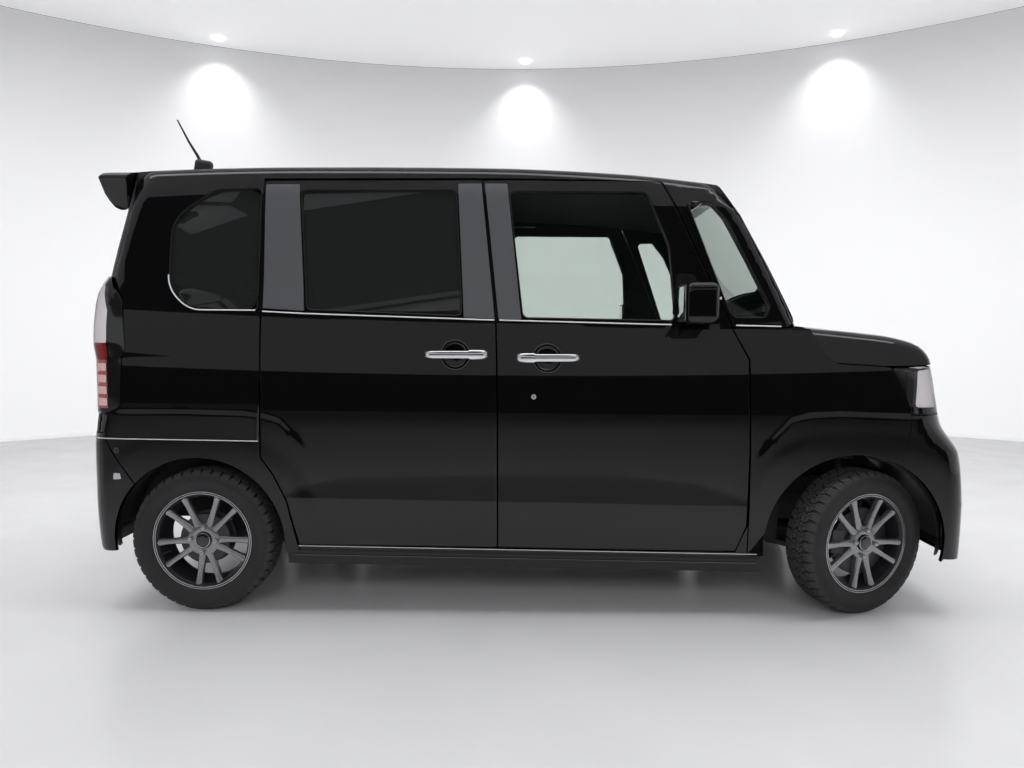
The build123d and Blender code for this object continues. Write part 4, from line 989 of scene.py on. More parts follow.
    @staticmethod
    def normal_of(mapping: Mapping, a: Array, b: Array) -> Array:
        """A surface's outward unit normals.

        Args:
            mapping: the surface.
            a: its first coordinate.
            b: and its second.

        Returns:
            One normal for each pair of coordinates.
        """
        step = 0.8
        du = np.stack(mapping(a + step, b), 1) - np.stack(mapping(a - step, b), 1)
        dv = np.stack(mapping(a, b + step), 1) - np.stack(mapping(a, b - step), 1)
        n = np.cross(du, dv)
        n /= np.maximum(np.linalg.norm(n, axis=1), 1e-9)[:, None]
        centre = np.stack(mapping(a, b), 1) - Workshop.HEART
        centre[:, 0] *= 0.25
        return n if np.sum(n * centre) > 0 else -n

    @staticmethod
    def _rim(bm: bmesh.types.BMesh, normals: List[Vector], roll: float, depth: float, both: bool) -> None:
        """Rolls every free edge inward, and adds the new vertices' normals.

        Args:
            bm: the panel's mesh.
            normals: one normal for each vertex, added to here.
            roll: radius of the rim's edge.
            depth: depth of the rim.
            both: whether the edge on the centre plane stays as it is.
        """
        bm.verts.index_update()
        bm.verts.ensure_lookup_table()
        free = [e for e in bm.edges if e.is_boundary
                and not (both and all(abs(w.co.y) < Workshop.NEAR_FLAT for w in e.verts))]
        tang: Dict[int, Vector] = {}
        for e in free:
            face = e.link_faces[0]
            mid = (e.verts[0].co + e.verts[1].co) / 2
            along = (e.verts[1].co - e.verts[0].co).normalized()
            out = along.cross(normals[e.verts[0].index])
            if out.dot(mid - face.calc_center_median()) < 0:
                out = -out
            for w in e.verts:
                tang[w.index] = tang.get(w.index, Vector()) + out
        base = {i: (bm.verts[i].co.copy(), normals[i], t.normalized()) for i, t in tang.items()}
        rings = [(math.radians(a), 0.0) for a in (35, 65, 90)] + [(math.radians(90), depth)]
        current = {i: bm.verts[i] for i in base}
        for angle, extra in rings:
            fresh: Dict[int, bmesh.types.BMVert] = {}
            for i, (co, n, t) in base.items():
                spot = co + t * (roll * math.sin(angle)) - n * (roll * (1 - math.cos(angle)) + extra)
                if both and abs(co.y) < Workshop.NEAR_FLAT:
                    spot.y = 0.0
                fresh[i] = bm.verts.new(spot)
                normals.append((n * math.cos(angle) + t * math.sin(angle)).normalized())
            for e in free:
                loop = next(lp for lp in e.link_faces[0].loops if lp.edge == e)
                first, second = loop.vert.index, loop.link_loop_next.vert.index
                bm.faces.new((current[second], current[first], fresh[first], fresh[second]))
            current = fresh

    @staticmethod
    def _mirror(bm: bmesh.types.BMesh, normals: Array) -> Array:
        """Adds the other hand's half and joins the two at the centre plane.

        Args:
            bm: the panel's mesh, in metres.
            normals: one normal for each vertex.

        Returns:
            The normals of both halves.
        """
        bm.verts.ensure_lookup_table()
        faces = [[w.index for w in f.verts] for f in bm.faces]
        twin, extra = [], []
        for i, vert in enumerate(bm.verts[:]):
            if abs(vert.co.y) < Workshop.SEAM:
                vert.co.y = 0
                twin.append(vert)
                normals[i][1] = 0
            else:
                twin.append(bm.verts.new((vert.co.x, -vert.co.y, vert.co.z)))
                extra.append((normals[i][0], -normals[i][1], normals[i][2]))
        for face in faces:
            ring = [twin[i] for i in reversed(face)]
            if not all(vert.co.y == 0 for vert in ring):
                bm.faces.new(ring)
        return np.concatenate([normals, np.array(extra).reshape(-1, 3)])

    def paint_node(self, name: str, finish: Finish) -> None:
        """Gives a CAD node that stays shown its finish.

        Args:
            name: the node's name.
            finish: its finish.
        """
        node = self.nodes[name]
        node.data.materials.clear()
        node.data.materials.append(self.palette.get(finish))

    def copy_node(self, name: str, new_name: str, finish: Finish, keep: Callable[[Array, Array], Array],
                  smooth: float = 30.0, stands_for: bool = False, strict: bool = False) -> bpy.types.Object:
        """A copy of some faces of a CAD node, its loose triangles joined.

        Args:
            name: the CAD node.
            new_name: the copy's name.
            finish: its finish.
            keep: from face centres in millimetres and face normals to which faces stay.
            smooth: as in piece.
            stands_for: whether it is shown instead of the node.
            strict: whether every corner of a face has to pass the test too.

        Returns:
            The object.
        """
        src = self.nodes[name]
        bm = bmesh.new()
        bm.from_mesh(src.data)
        bmesh.ops.transform(bm, matrix=src.matrix_world, verts=bm.verts)
        bmesh.ops.remove_doubles(bm, verts=bm.verts, dist=2e-5)
        faces = bm.faces[:]
        mid = np.array([f.calc_center_median()[:] for f in faces]) / MM
        nrm = np.array([f.normal[:] for f in faces])
        wanted = keep(mid, nrm)
        if strict:
            for k in range(3):
                wanted &= keep(np.array([f.verts[k].co[:] for f in faces]) / MM, nrm)
        bmesh.ops.delete(bm, geom=[f for f, k in zip(faces, wanted) if not k], context="FACES")
        return self.piece(new_name, bm, finish, body_of(src)[0], smooth=smooth,
                          stands_for=[name] if stands_for else ())


QUARTER_CORNERS = (20, 110, 150, 150, 110, 16)     # radii of the rear quarter window's corners, in millimetres


# ------------------------------------------------------------------ painted panels
@dataclass(frozen=True)
class ShellSizes:
    """Side-view corners of the panels, in millimetres: x from the middle, z from the ground."""

    b_gap: float = -110.0
    a_gap: float = 843.0
    c_gap: float = -1013.0
    sill: float = 262.0
    door_top: float = 1674.0
    shut: float = 4.4                     # margin of a door's skin before its rim is rolled
    rim_gap: float = 4.6                  # the same of the panel beside it: half a shut line and the rolled rim
    front_arch: Tuple[float, float, float] = (1245.0, 284.5, 342.0)
    rear_arch: Tuple[float, float, float] = (-1262.0, 275.5, 334.0)
    handle_front: Point2 = (79.0, 988.0)
    handle_slide: Point2 = (-270.0, 1000.0)
    front_glass: Tuple[Point2, ...] = ((-70, 1631), (-15, 1140), (566, 1128), (548, 1415), (462, 1626))
    slide_glass: Tuple[Point2, ...] = ((-878, 1638), (-271, 1635), (-244, 1147), (-842, 1171))
    rear_quarter: Tuple[Point2, ...] = ((-1029, 1646), (-1215, 1640), (-1378, 1530), (-1378, 1250),
                                        (-1290, 1168), (-1027, 1167))
    front_quarter: Tuple[Point2, ...] = ((612, 1590), (704, 1590), (772, 1510), (926, 1180), (905, 1139),
                                         (790, 1139), (768, 1160))
    screen: Tuple[Point2, ...] = ((-636, 1124), (636, 1124), (560, 1640), (200, 1682), (-200, 1682), (-560, 1640))
    gate: Tuple[Point2, ...] = ((0, 489.5), (570.5, 489.5), (570.5, 1280), (535.5, 1690), (500, 1722), (0, 1766))
    gate_glass: Tuple[Point2, ...] = ((0, 1163), (522, 1163), (482, 1562), (0, 1562))
    cup_r: float = 54.0                   # recess behind a door handle
    cup_depth: float = 26.0
    roof_half: float = 552.0
    roof_rear: float = -1545.0
    roof_edge_v: float = 1760.0           # surface coordinate of the roof panel's edge
    roof_turn: float = 1660.0             # and of where the side begins to turn in to it
    fuel_door: Tuple[Point2, ...] = ((-1192.5, 797.5), (-1047.5, 797.5), (-1047.5, 942.5), (-1192.5, 942.5))
    swell_foot: float = 441.0             # the doors' swell: level of its foot, and of its head along the car
    door_swell: Tuple[Point2, ...] = ((-940, 441), (-866, 485), (-712, 519), (-101, 546), (355, 549), (657, 522),
                                      (836, 461), (852, 441))
    swell_slope: float = 0.085
    flare_step: float = 4.0               # how far a flare stands out, and over what width it does
    flare_ramp: float = 28.0
    flares: Tuple[Tuple[Tuple[Point2, ...], Point2, Point2], ...] = (
        # upper edge, then where it starts and ends along the car, each with the length of its run-out
        (((843, 540), (861, 631), (927, 707), (989, 768), (1052, 787), (1174, 794), (1440, 784)),
         (843, 70), (1530, 90)),
        (((-1560, 797), (-1319, 798), (-1089, 792), (-1002, 783), (-937, 764), (-869, 703), (-806, 630),
          (-760, 560)), (-1600, 60), (-800, 140)))
    fine: Tuple[Band, ...] = ((1, 440.0, 552.0, 8.0), (1, 700.0, 800.0, 8.0), (1, 978.0, 994.0, 4.0),
                              (1, 420.0, 436.0, 4.0), (1, 648.0, 668.0, 3.0), (1, 1664.0, 1760.0, 8.0))
    fine_front_flare: Tuple[Band, ...] = ((0, 846.0, 1010.0, 8.0), (1, 560.0, 640.0, 8.0))
    fine_rear_flare: Tuple[Band, ...] = ((0, -1000.0, -790.0, 8.0), (1, 560.0, 640.0, 8.0))


class Shell:
    """The painted body: side, doors, roof, nose and tail.

    Args:
        shop: where its pieces are made.
        form: the body's surface.
        size: its panels' corners.
    """

    def __init__(self, shop: Workshop, form: BodyForm, size: ShellSizes = ShellSizes()) -> None:
        self.shop, self.form, self.size = shop, form, size

    # -- surfaces
    def side_map(self, upper: Optional[bool] = None) -> Mapping:
        """The side's surface, from perimeter coordinate and level, round the corners and the roof's edge.

        Args:
            upper: whether the glasshouse's ends apply, by default above the belt.

        Returns:
            The mapping.
        """
        form, size = self.form, self.size

        def at(s: Array, v: Array) -> Tuple[Array, Array, Array]:
            """A place of the side.

            Args:
                s: perimeter coordinate.
                v: level.

            Returns:
                x, distance from the centre plane, and height.
            """
            share = np.clip((v - size.roof_turn) / (size.roof_edge_v - size.roof_turn), 0, 1.2)
            x = np.clip(s, -1600, 1500)
            edge = form.roof_z(x, np.full_like(x, size.roof_half))
            z = np.where(v > size.roof_turn, size.roof_turn + (edge - size.roof_turn) * (1 - (1 - share) ** 2),
                         v - form.fall(v) * s)
            which = None if upper is None else np.full(s.shape, upper)
            px, py = form.wrap(s, z, which)
            return px, py, z

        return at

    def to_level(self, points: Sequence[Point2]) -> List[Point2]:
        """Side-view corners as surface coordinates.

        Args:
            points: corners as x and z.

        Returns:
            The corners as perimeter coordinate and level.
        """
        out = []
        for x, z in points:
            v = z + self.form.fall_at(z) * x
            out.append((self.form.s_of_x(x, z), v if z < self.size.roof_turn else z))
        return out

    def at_end(self, y: float, z: float, front: bool) -> Point2:
        """A point of the nose or tail, given by its distance from the centre plane, as surface coordinates."""
        s = self.form.s_of_y(y, z, front)
        return s, z + self.form.fall_at(z) * s

    @staticmethod
    def arc(circle: Tuple[float, float, float], start: float, stop: float, steps: int = 26) -> List[Point2]:
        """Points of a wheel arch, between two angles in degrees.

        Args:
            circle: the arch's centre and radius.
            start: first angle.
            stop: last angle.
            steps: how many steps lie between them.

        Returns:
            The points, as x and z.
        """
        x, z, r = circle
        return [(x + r * math.cos(math.radians(start + (stop - start) * k / steps)),
                 z + r * math.sin(math.radians(start + (stop - start) * k / steps))) for k in range(steps + 1)]

    def relief(self, s: Array, v: Array) -> Array:
        """Pressed forms of the side: the step under the windows, the arches' flares and the tail's ledge.

        Args:
            s: perimeter coordinate.
            v: level.

        Returns:
            Height over the plain surface, in millimetres.
        """
        z = v - self.form.fall(v) * s
        out = np.zeros_like(v)
        size = self.size
        for x0, z0, r in (size.front_arch, size.rear_arch):
            d = np.hypot(s - x0, z - z0) - r
            out = out + 3.0 * (1 - ease((d - 75.0) / 90.0)) * (1 - ease((z - 560.0) / 160.0))
        rise = np.interp(s, *zip(*size.door_swell)) - size.swell_foot
        depth = np.clip((size.swell_foot + rise - v) / np.maximum(rise, 1.0), 0, 1) ** 1.25
        out = out + size.swell_slope * rise * depth
        for line, start, end in size.flares:
            slope = (np.interp(s + 12, *zip(*line)) - np.interp(s - 12, *zip(*line))) / 24.0
            inside = ease((np.interp(s, *zip(*line)) - z) / (size.flare_ramp * np.hypot(1.0, slope)))
            out = out + size.flare_step * inside * ease((s - start[0]) / start[1]) * ease((end[0] - s) / end[1])
        ledge = np.clip((s + 1660) / 20, 0, 1) * np.clip((-1016 - s) / 4, 0, 1)
        out = out - 4.0 * ledge * np.clip((v - 656.0) / 4.0, 0, 1) * np.clip((900 - v) / 240, 0, 1)
        return out

    def build(self) -> None:
        """Builds every painted panel, both hands."""
        for hand, name in ((RIGHT, "right"), (LEFT, "left")):
            self._doors(hand, name)
            self._body_side(hand, name)
            self._fender(hand, name)
        self._bumpers()
        self._bonnet()
        self._roof()
        self._tailgate()

    def _doors(self, hand: int, side: str) -> None:
        """Front and sliding door of one side, each with its glass opening and handle recess.

        Args:
            hand: RIGHT or LEFT.
            side: the same as a word, for the names.
        """
        z = self.size
        front = [(z.b_gap, z.sill), (z.a_gap - 45, z.sill - 12), (z.a_gap - 6, 350), (z.a_gap, 640),
                 (z.a_gap - 6, 985), (774, 1109), (522, z.door_top), (z.b_gap - 62, z.door_top),
                 (z.b_gap - 6, 1109), (z.b_gap, 830)]
        slide = [(z.b_gap, z.sill), (z.b_gap, 830), (z.b_gap - 6, 1109), (z.b_gap - 62, z.door_top),
                 (z.c_gap - 7, z.door_top), (z.c_gap, 1150), (z.c_gap, 611), (z.c_gap + 48, 541),
                 (z.c_gap + 95, 444), (z.c_gap + 138, z.sill + 6)]
        for label, corners, glass, body, (hx, hz) in (
                ("front", front, z.front_glass, f"door_{side}", z.handle_front),
                ("slide", slide, z.slide_glass, "root", z.handle_slide)):
            outer = grown(rounded(self.to_level(corners), 12), -z.shut)
            hole = grown(rounded(self.to_level(glass), 24), 1.5)
            hv = hz + self.form.fall_at(hz) * hx

            def relief(s: Array, v: Array, hx: float = hx, hv: float = hv) -> Array:
                """The side's form with the handle recess."""
                d = np.hypot(s - hx, v - hv) / z.cup_r
                return self.relief(s, v) - z.cup_depth * (1 - np.clip(d, 0, 1) ** 2) ** 0.7

            fine = z.fine + ((0, hx - 60, hx + 61, 4.0), (1, hv - 58, hv + 59, 4.0))
            fine += z.fine_rear_flare if label == "slide" else ()
            self.shop.skin(f"skin_door_{label}_{side}", outer, [hole], self.side_map(), PAINT, body, hand,
                           relief=relief, fine=fine, stands_for=[f"door_{label}_{side}"])

    def _body_side(self, hand: int, side: str) -> None:
        """Pillars, quarter panel and sill of one side.

        Args:
            hand: RIGHT or LEFT.
            side: the same as a word, for the names.
        """
        z, form = self.size, self.form
        low_door = [(z.c_gap + 138, z.sill - 8), (z.c_gap + 95, 444), (z.c_gap + 48, 541), (z.c_gap, 611),
                    (z.c_gap, 1150)]
        m = z.rim_gap
        outline = self.to_level([(x - m, h) for x, h in low_door] + [(z.c_gap - 7 - m, z.door_top + m),
                                                                     (522 + m, z.door_top + m),
                                                                     (774 + m * 1.2, 1109 + m)])
        outline += [(781, 1101 + m + 0.03 * 781), (985, 1101 + m + 0.03 * 985)]
        for h in (1130, 1250, 1400, 1540, 1625):
            y = np.interp(h, (1124, 1640), (636, 560)) + 3.5
            outline.append(self.at_end(float(y), float(h), True))
        s_top = form.s_of_y(562.0, 1640, True)
        outline += [(s_top, 1668.0), (s_top - 30, 1712.0), (s_top - 40, z.roof_edge_v - 3)]
        outline += [(z.roof_rear + 6, z.roof_edge_v - 3), (z.roof_rear - 10, z.roof_edge_v - 16)]
        for h in (1690, 1560, 1430, 1340):
            y = float(np.interp(h, (1280, 1690), (575, 540))) + m
            outline.append(self.at_end(y, h, False))
        outline += [self.at_end(575 + m, 1298 + m, False)]
        outline += self.to_level([(-1603, 1301), (-1546, 1205), (-1528, 1037), (-1541, 990), (-1545, 805),
                                  (-1607, 771)])
        outline += [self.at_end(575 + m, 771, False), self.at_end(575 + m, 703, False)]
        outline += self.to_level([(-1618, 703), (-1587, 637), (-1507, 521)])
        outline += self.to_level(self.arc(z.rear_arch, 135.5, -2.5) + [(-926, 240), (-880, 240)])
        holes = [grown(rounded(self.to_level(z.rear_quarter), QUARTER_CORNERS), 1.5),
                 grown(rounded(self.to_level(z.front_quarter), 22), 1.5)]
        if hand == LEFT:
            holes.append(rounded(self.to_level(z.fuel_door), 22))
        self.shop.skin(f"skin_body_side_{side}", outline, holes, self.side_map(), PAINT, "root", hand,
                       relief=self.relief, fine=z.fine, roll=1.6, stands_for=[f"body_side_{side}"])
        sill = self.to_level([(-924, 238), (-924, z.sill - m), (800, z.sill - 12 - m), (841, 346), (841, 226)])
        self.shop.skin(f"skin_sill_{side}", sill, [], self.side_map(), PAINT, "root", hand, roll=1.6)

    def _fender(self, hand: int, side: str) -> None:
        """The front wing of one side.

        Args:
            hand: RIGHT or LEFT.
            side: the same as a word, for the names.
        """
        z = self.size
        arch = self.arc(z.front_arch, 173.0, 61.9)
        corners = [(z.a_gap + 3, 243), *arch, (1436, 720), (1439, 774), (1398, 887), (1362, 950), (1353, 953),
                   (1172, 965), (1136, 986), (1100, 1043), (1078, 1098), (781, 1098), (z.a_gap - 1.5, 985),
                   (z.a_gap + 4.6, 640)]
        self.shop.skin(f"skin_fender_{side}", self.to_level(corners), [], self.side_map(False), PAINT, "root", hand,
                       relief=self.relief, fine=z.fine + z.fine_front_flare, roll=1.6,
                       stands_for=[f"fender_{side}"])

    def _bumpers(self) -> None:
        """Both bumpers, carried round the corners to the wheel arches."""
        z = self.size
        front = self.to_level([(1442, 771), (1440, 720)] + self.arc(z.front_arch, 61.5, -12.0) + [(1588, 224)])
        front += [self.at_end(y, h, True) for y, h in (
            (600, 208), (450, 205), (300, 205), (150, 205), (0, 205), (0, 300), (200, 300), (430, 300), (470, 420),
            (235, 420), (0, 420), (0, 600), (0, 770), (150, 770), (300, 770), (450, 771), (600, 771))]
        self.shop.skin("skin_front_bumper", front, [], self.side_map(False), PAINT, "root", RIGHT, both=True,
                       relief=self.relief, fine=z.fine, roll=1.6, stands_for=["front_bumper"])
        rear = self.to_level([(-1620, 698), (-1593, 634), (-1513, 518)] + self.arc(z.rear_arch, 136.5, 186.0)
                             + [(-1592, 240)])
        rear += [self.at_end(y, h, False) for y, h in (
            (600, 236), (450, 232), (300, 230), (150, 230), (0, 230), (0, 482), (150, 482), (300, 482), (450, 482),
            (580, 482), (580, 698))]
        self.shop.skin("skin_rear_bumper", rear, [], self.side_map(), PAINT, "root", RIGHT, both=True,
                       relief=self.relief, fine=z.fine, roll=1.6, stands_for=["rear_bumper"])

    def _bonnet(self) -> None:
        """The bonnet: its skirt at the side, then over the top to the centre plane."""
        form = self.form
        spine, top, base = 1250.0, 1124.0, 880.0

        def at(s: Array, w: Array) -> Tuple[Array, Array, Array]:
            """A place of the bonnet, found by halving between the car's spine and a far point.

            Args:
                s: perimeter coordinate.
                w: height on the skirt; above its top, the way inward.

            Returns:
                x, distance from the centre plane, and height.
            """
            z_side = np.minimum(w, top)
            px, py = form.wrap(s, np.full_like(s, 986.0), np.zeros(s.shape, bool))
            inward = np.clip((w - top) / 740.0, 0, 1)
            ox = np.minimum(s, spine)
            tx, ty = px + (ox - px) * inward, py * (1 - inward)
            tz = np.where(w > top, top + 26.0, z_side)
            lo, hi = np.zeros_like(s), np.full_like(s, 2.5)
            for _ in range(34):
                mid = (lo + hi) / 2
                x, y, zz = ox + (tx - ox) * mid, ty * mid, base + (tz - base) * mid
                out = form.inside(x, y, zz) > 0
                hi, lo = np.where(out, mid, hi), np.where(out, lo, mid)
            return ox + (tx - ox) * lo, ty * lo, base + (tz - base) * lo

        s_end = form.ends(986.0, True)[2]
        rear = [(1083 + 77 * (1 - (y / 640) ** 2), top + 740 * (1 - y / 723)) for y in np.linspace(640, 0, 12)]
        outline = [(1087, 1105), (1087, top), *[(x + 4, w) for x, w in rear[:-1]], (rear[-1][0] + 4, top + 740),
                   (s_end, top + 740), (s_end, 963), (s_end - 500, 963), (1560, 962), (1353, 962), (1174, 974),
                   (1142, 993), (1108, 1048)]
        self.shop.skin("skin_bonnet", outline, [], at, PAINT, "bonnet", RIGHT, both=True, cell=(22.0, 20.0), roll=2.0,
                       stands_for=["bonnet"])

    def _roof(self) -> None:
        """The roof with its pressed ribs."""
        form, z = self.form, self.size
        lead = []
        for y in np.linspace(0, z.roof_half - 6, 12):
            x = 800.0
            for _ in range(20):
                h = float(form.roof_z(np.array([x]), np.array([y]))[0])
                x = form.front_at(y, h)
            lead.append((x - 1, float(y)))
        outer = lead + [(z.roof_rear + 5, z.roof_half - 6), (z.roof_rear + 5, 0)]

        def at(x: Array, y: Array) -> Tuple[Array, Array, Array]:
            """A place of the roof.

            Args:
                x: distance ahead of the middle, in millimetres.
                y: distance from the centre plane, in millimetres.

            Returns:
                x, distance from the centre plane, and height.
            """
            rib = 2.2 * (0.5 + 0.5 * np.cos(2 * np.pi * y / 216.0)) * np.clip((430 - np.abs(y)) / 20, 0, 1)
            rib = rib * np.clip((x + 1450) / 90, 0, 1) * np.clip((560 - x) / 90, 0, 1)
            return x, y, form.roof_z(x, y) - rib

        self.shop.skin("skin_roof", outer, [], at, PAINT, "root", RIGHT, both=True, stands_for=["roof"])

    def _tailgate(self) -> None:
        """The tailgate round its glass, with the plate's recess."""
        form, z = self.form, self.size
        outer = rounded(z.gate, (0, 8, 0, 14, 14, 0)) + rounded(z.gate_glass, (0, 40, 40, 0))[::-1]

        def at(y: Array, h: Array) -> Tuple[Array, Array, Array]:
            """A place of the tailgate.

            Args:
                y: distance from the centre plane, in millimetres.
                h: height, in millimetres.

            Returns:
                x, distance from the centre plane, and height.
            """
            x = form.rear_x(y, h)
            plate = np.clip((176 - np.abs(y)) / 6, 0, 1) * np.clip((h - 696) / 6, 0, 1) * np.clip((879 - h) / 6, 0, 1)
            return x + 14.0 * plate, y, h

        self.shop.skin("skin_tailgate", outer, [], at, PAINT, "tailgate", RIGHT, both=True, stands_for=["tailgate"],
                       fine=((0, 166, 182, 4.0), (1, 694, 704, 3.0), (1, 871, 881, 3.0)))


# ------------------------------------------------------------------ wheels
@dataclass(frozen=True)
class WheelSizes:
    """Tyre and wheel, in millimetres and degrees."""

    front_x: float = 1262.0
    rear_x: float = -1258.0
    hub_y: float = 652.5
    hub_z: float = 278.5
    king_pin_in: float = 53.0
    lean: float = 14.0
    steer: float = 20.6
    settle: float = 1.597
    lip_r: float = 194.0
    half: float = 64.5
    base_r: float = 270.0
    tread_r: float = 278.2
    pitches: int = 44
    spokes: Tuple[float, ...] = (0.0, 43.0, 70.5, 114.0, 141.5, 184.0, 215.0, 262.0, 290.0, 334.5)
    nuts: Tuple[float, ...] = (-4.0, 86.0, 176.0, 266.0)
    nut_circle: float = 50.0


class Wheels:
    """Four block-tread tyres on ten-spoke wheels, the outer face of each towards -Y before it is placed.

    Args:
        shop: where their pieces are made.
        size: their sizes.
    """

    def __init__(self, shop: Workshop, size: WheelSizes = WheelSizes()) -> None:
        self.shop, self.size = shop, size

    def build(self) -> None:
        """Builds all four, the front pair turned as the frame has them."""
        for end in ("front", "rear"):
            for hand, side in ((RIGHT, "right"), (LEFT, "left")):
                self._one(end, hand, side)

    def _seat(self, bm: bmesh.types.BMesh, end: str, hand: int) -> bmesh.types.BMesh:
        """Brings a piece to its wheel's place, and turns a front one with its king pin.

        Args:
            bm: the piece at the origin, in millimetres.
            end: "front" or "rear".
            hand: RIGHT or LEFT.

        Returns:
            The same mesh, in metres.
        """
        s = self.size
        if hand == LEFT:
            bmesh.ops.scale(bm, vec=(1, -1, 1), verts=bm.verts)
            bmesh.ops.reverse_faces(bm, faces=bm.faces[:])
        x = s.front_x if end == "front" else s.rear_x
        place = Matrix.Translation((x, hand * s.hub_y, s.hub_z))
        if end == "front":
            lean = math.radians(s.lean)
            pivot = Matrix.Translation((s.front_x, hand * (s.hub_y - s.king_pin_in), s.hub_z))
            axis = Vector((0, -hand * math.sin(lean), math.cos(lean)))
            turn = Matrix.Rotation(math.radians(s.steer), 4, axis)
            place = Matrix.Translation((0, 0, s.settle)) @ pivot @ turn @ pivot.inverted() @ place
        bmesh.ops.transform(bm, matrix=Matrix.Scale(MM, 4) @ place, verts=bm.verts)
        return bm

    def _one(self, end: str, hand: int, side: str) -> None:
        """Every piece of one wheel.

        Args:
            end: "front" or "rear".
            hand: RIGHT or LEFT.
            side: the same as a word, for the names.
        """
        tag = f"{end}_{side}"

        def make(name: str, bm: bmesh.types.BMesh, finish: Finish, smooth: float = 40.0,
                 stands_for: Sequence[str] = ()) -> None:
            """Makes one piece of this wheel."""
            self.shop.piece(f"{name}_{tag}", self._seat(bm, end, hand), finish, f"wheel_{tag}", smooth=smooth,
                            stands_for=stands_for)

        make("tyre_carcass", self._carcass(), RUBBER, 60.0, (f"tyre_{tag}",))
        make("tyre_blocks", self._blocks(), TREAD, 0.0)
        make("wheel_barrel", self._barrel(), WELL, 40.0, (f"rim_{tag}",))
        make("wheel_face", self._face(), GUNMETAL, 35.0)
        make("wheel_lip", self._lip(), LIP, 40.0)
        make("wheel_nuts", self._nuts(), LIP, 30.0)
        make("wheel_cap", self._cap(), GLOSS_PLASTIC, 40.0)
        make("wheel_cap_ring", self._cap_ring(), BRIGHT, 40.0)
        make("valve", self._valve(), SEAL, 40.0)
        make("brake_disc" if end == "front" else "brake_drum", self._brake(end), SHADED_STEEL if end == "front" else CAST)

    def _carcass(self) -> bmesh.types.BMesh:
        """The tyre without its blocks.

        Returns:
            Its mesh.
        """
        bm = bmesh.new()
        side = [(-57.5, 178.2), (-60.5, 186), (-63.5, 197), (-66.0, 199.0), (-69.2, 203), (-73.8, 214), (-75.4, 219),
                (-77.2, 221), (-77.4, 232), (-76.6, 240), (-75.0, 246), (-74.2, 246.8), (-73.2, 250), (-71.5, 254.5),
                (-68.6, 261), (-64, 266.5), (-55.5, self.size.base_r)]
        tread = [(y, self.size.base_r + 0.6 * (1 - (y / 55.5) ** 2)) for y in (-38, -19, 0, 19, 38)]
        Workshop.turned(bm, side + tread + [(-y, r) for y, r in reversed(side)], 120)
        return bm

    def _blocks(self) -> bmesh.types.BMesh:
        """The tread: rows of blocks, each cut into slices, and shoulder blocks that turn down the side.

        Returns:
            Its mesh.
        """
        s, bm = self.size, bmesh.new()
        pitch = 2 * math.pi / s.pitches
        foot = s.base_r - 1.5
        rows = [(-36.5, -21.0, 0.10, 0.30), (-18.0, -2.2, 0.48, -0.26), (2.2, 18.0, 0.02, 0.26),
                (21.0, 36.5, 0.60, -0.30)]          # y from, y to, phase and slant in parts of a pitch

        def prism(corners: Sequence[Point2]) -> None:
            """Adds a block without a bottom.

            Args:
                corners: its outline: angle and place across the tread.
            """
            low, top = ([bm.verts.new((r * math.cos(a), y, r * math.sin(a))) for a, y in corners]
                        for r in (foot, s.tread_r))
            n = len(corners)
            for i in range(n):
                bm.faces.new((low[i], low[(i + 1) % n], top[(i + 1) % n], top[i]))
            bm.faces.new(top)

        for k in range(s.pitches):
            vary = 1.0 + 0.06 * math.sin(k * 2.4)
            for y0, y1, phase, slant in rows:
                start, width = (k + phase) * pitch, 0.76 * pitch * vary / 3
                lean = slant * pitch
                for j in range(3):
                    a = start + j * (width + 0.012 * pitch)
                    b = a + width * 0.90
                    wave = 0.05 * pitch * (1 if j % 2 else -1)
                    bend, mid = lean / 2 + wave, (y0 + y1) / 2
                    prism([(a, y0), (a + bend, mid), (a + lean, y1), (b + lean, y1), (b + bend, mid), (b, y0)])
            for sign in (-1, 1):
                start = (k + (0.25 if sign > 0 else 0.0)) * pitch
                for j in range(3):
                    a = start + j * 0.265 * pitch
                    b = a + (0.235 if j < 2 else 0.215) * pitch
                    self._shoulder(bm, a, b, sign)
        bmesh.ops.recalc_face_normals(bm, faces=bm.faces)
        return bm

    def _shoulder(self, bm: bmesh.types.BMesh, a: float, b: float, sign: int) -> None:
        """Adds a shoulder block to the tread.

        Args:
            bm: the mesh, in millimetres.
            a: first angle.
            b: last angle.
            sign: -1 for the outer shoulder, 1 for the inner.
        """
        s = self.size
        outline = [(39.5, s.base_r - 1.5), (39.5, s.tread_r), (49.5, s.tread_r - 0.6), (56.0, s.tread_r - 2.6),
                   (61.6, 271.8), (66.0, 266.4), (69.4, 259.6), (71.0, 254.6), (66.0, 254.0)]
        ends = [[bm.verts.new((r * math.cos(t), sign * y, r * math.sin(t))) for y, r in outline] for t in (a, b)]
        n = len(outline)
        for i in range(n):
            j = (i + 1) % n
            bm.faces.new((ends[0][i], ends[0][j], ends[1][j], ends[1][i]))
        bm.faces.new(ends[0])
        bm.faces.new(list(reversed(ends[1])))

    def _barrel(self) -> bmesh.types.BMesh:
        """The rim's barrel with both its flanges.

        Returns:
            Its mesh.
        """
        s, bm = self.size, bmesh.new()
        h = s.half
        profile = [(-h, 190.5), (-h + 0.6, 193.2), (-h + 2, s.lip_r), (-h + 4.2, 193.4), (-h + 6, 189),
                   (-h + 7.5, 178.4), (-22, 177), (-4, 167), (34, 166), (42, 177.4), (h - 7.5, 178.4), (h - 6, 190),
                   (h - 2, s.lip_r), (h, 193), (h, 176), (44, 173), (32, 161), (-4, 161.5), (-22, 171),
                   (-50, 172.5), (-58, 176), (-62, 184)]
        Workshop.turned(bm, profile, 96)
        return bm

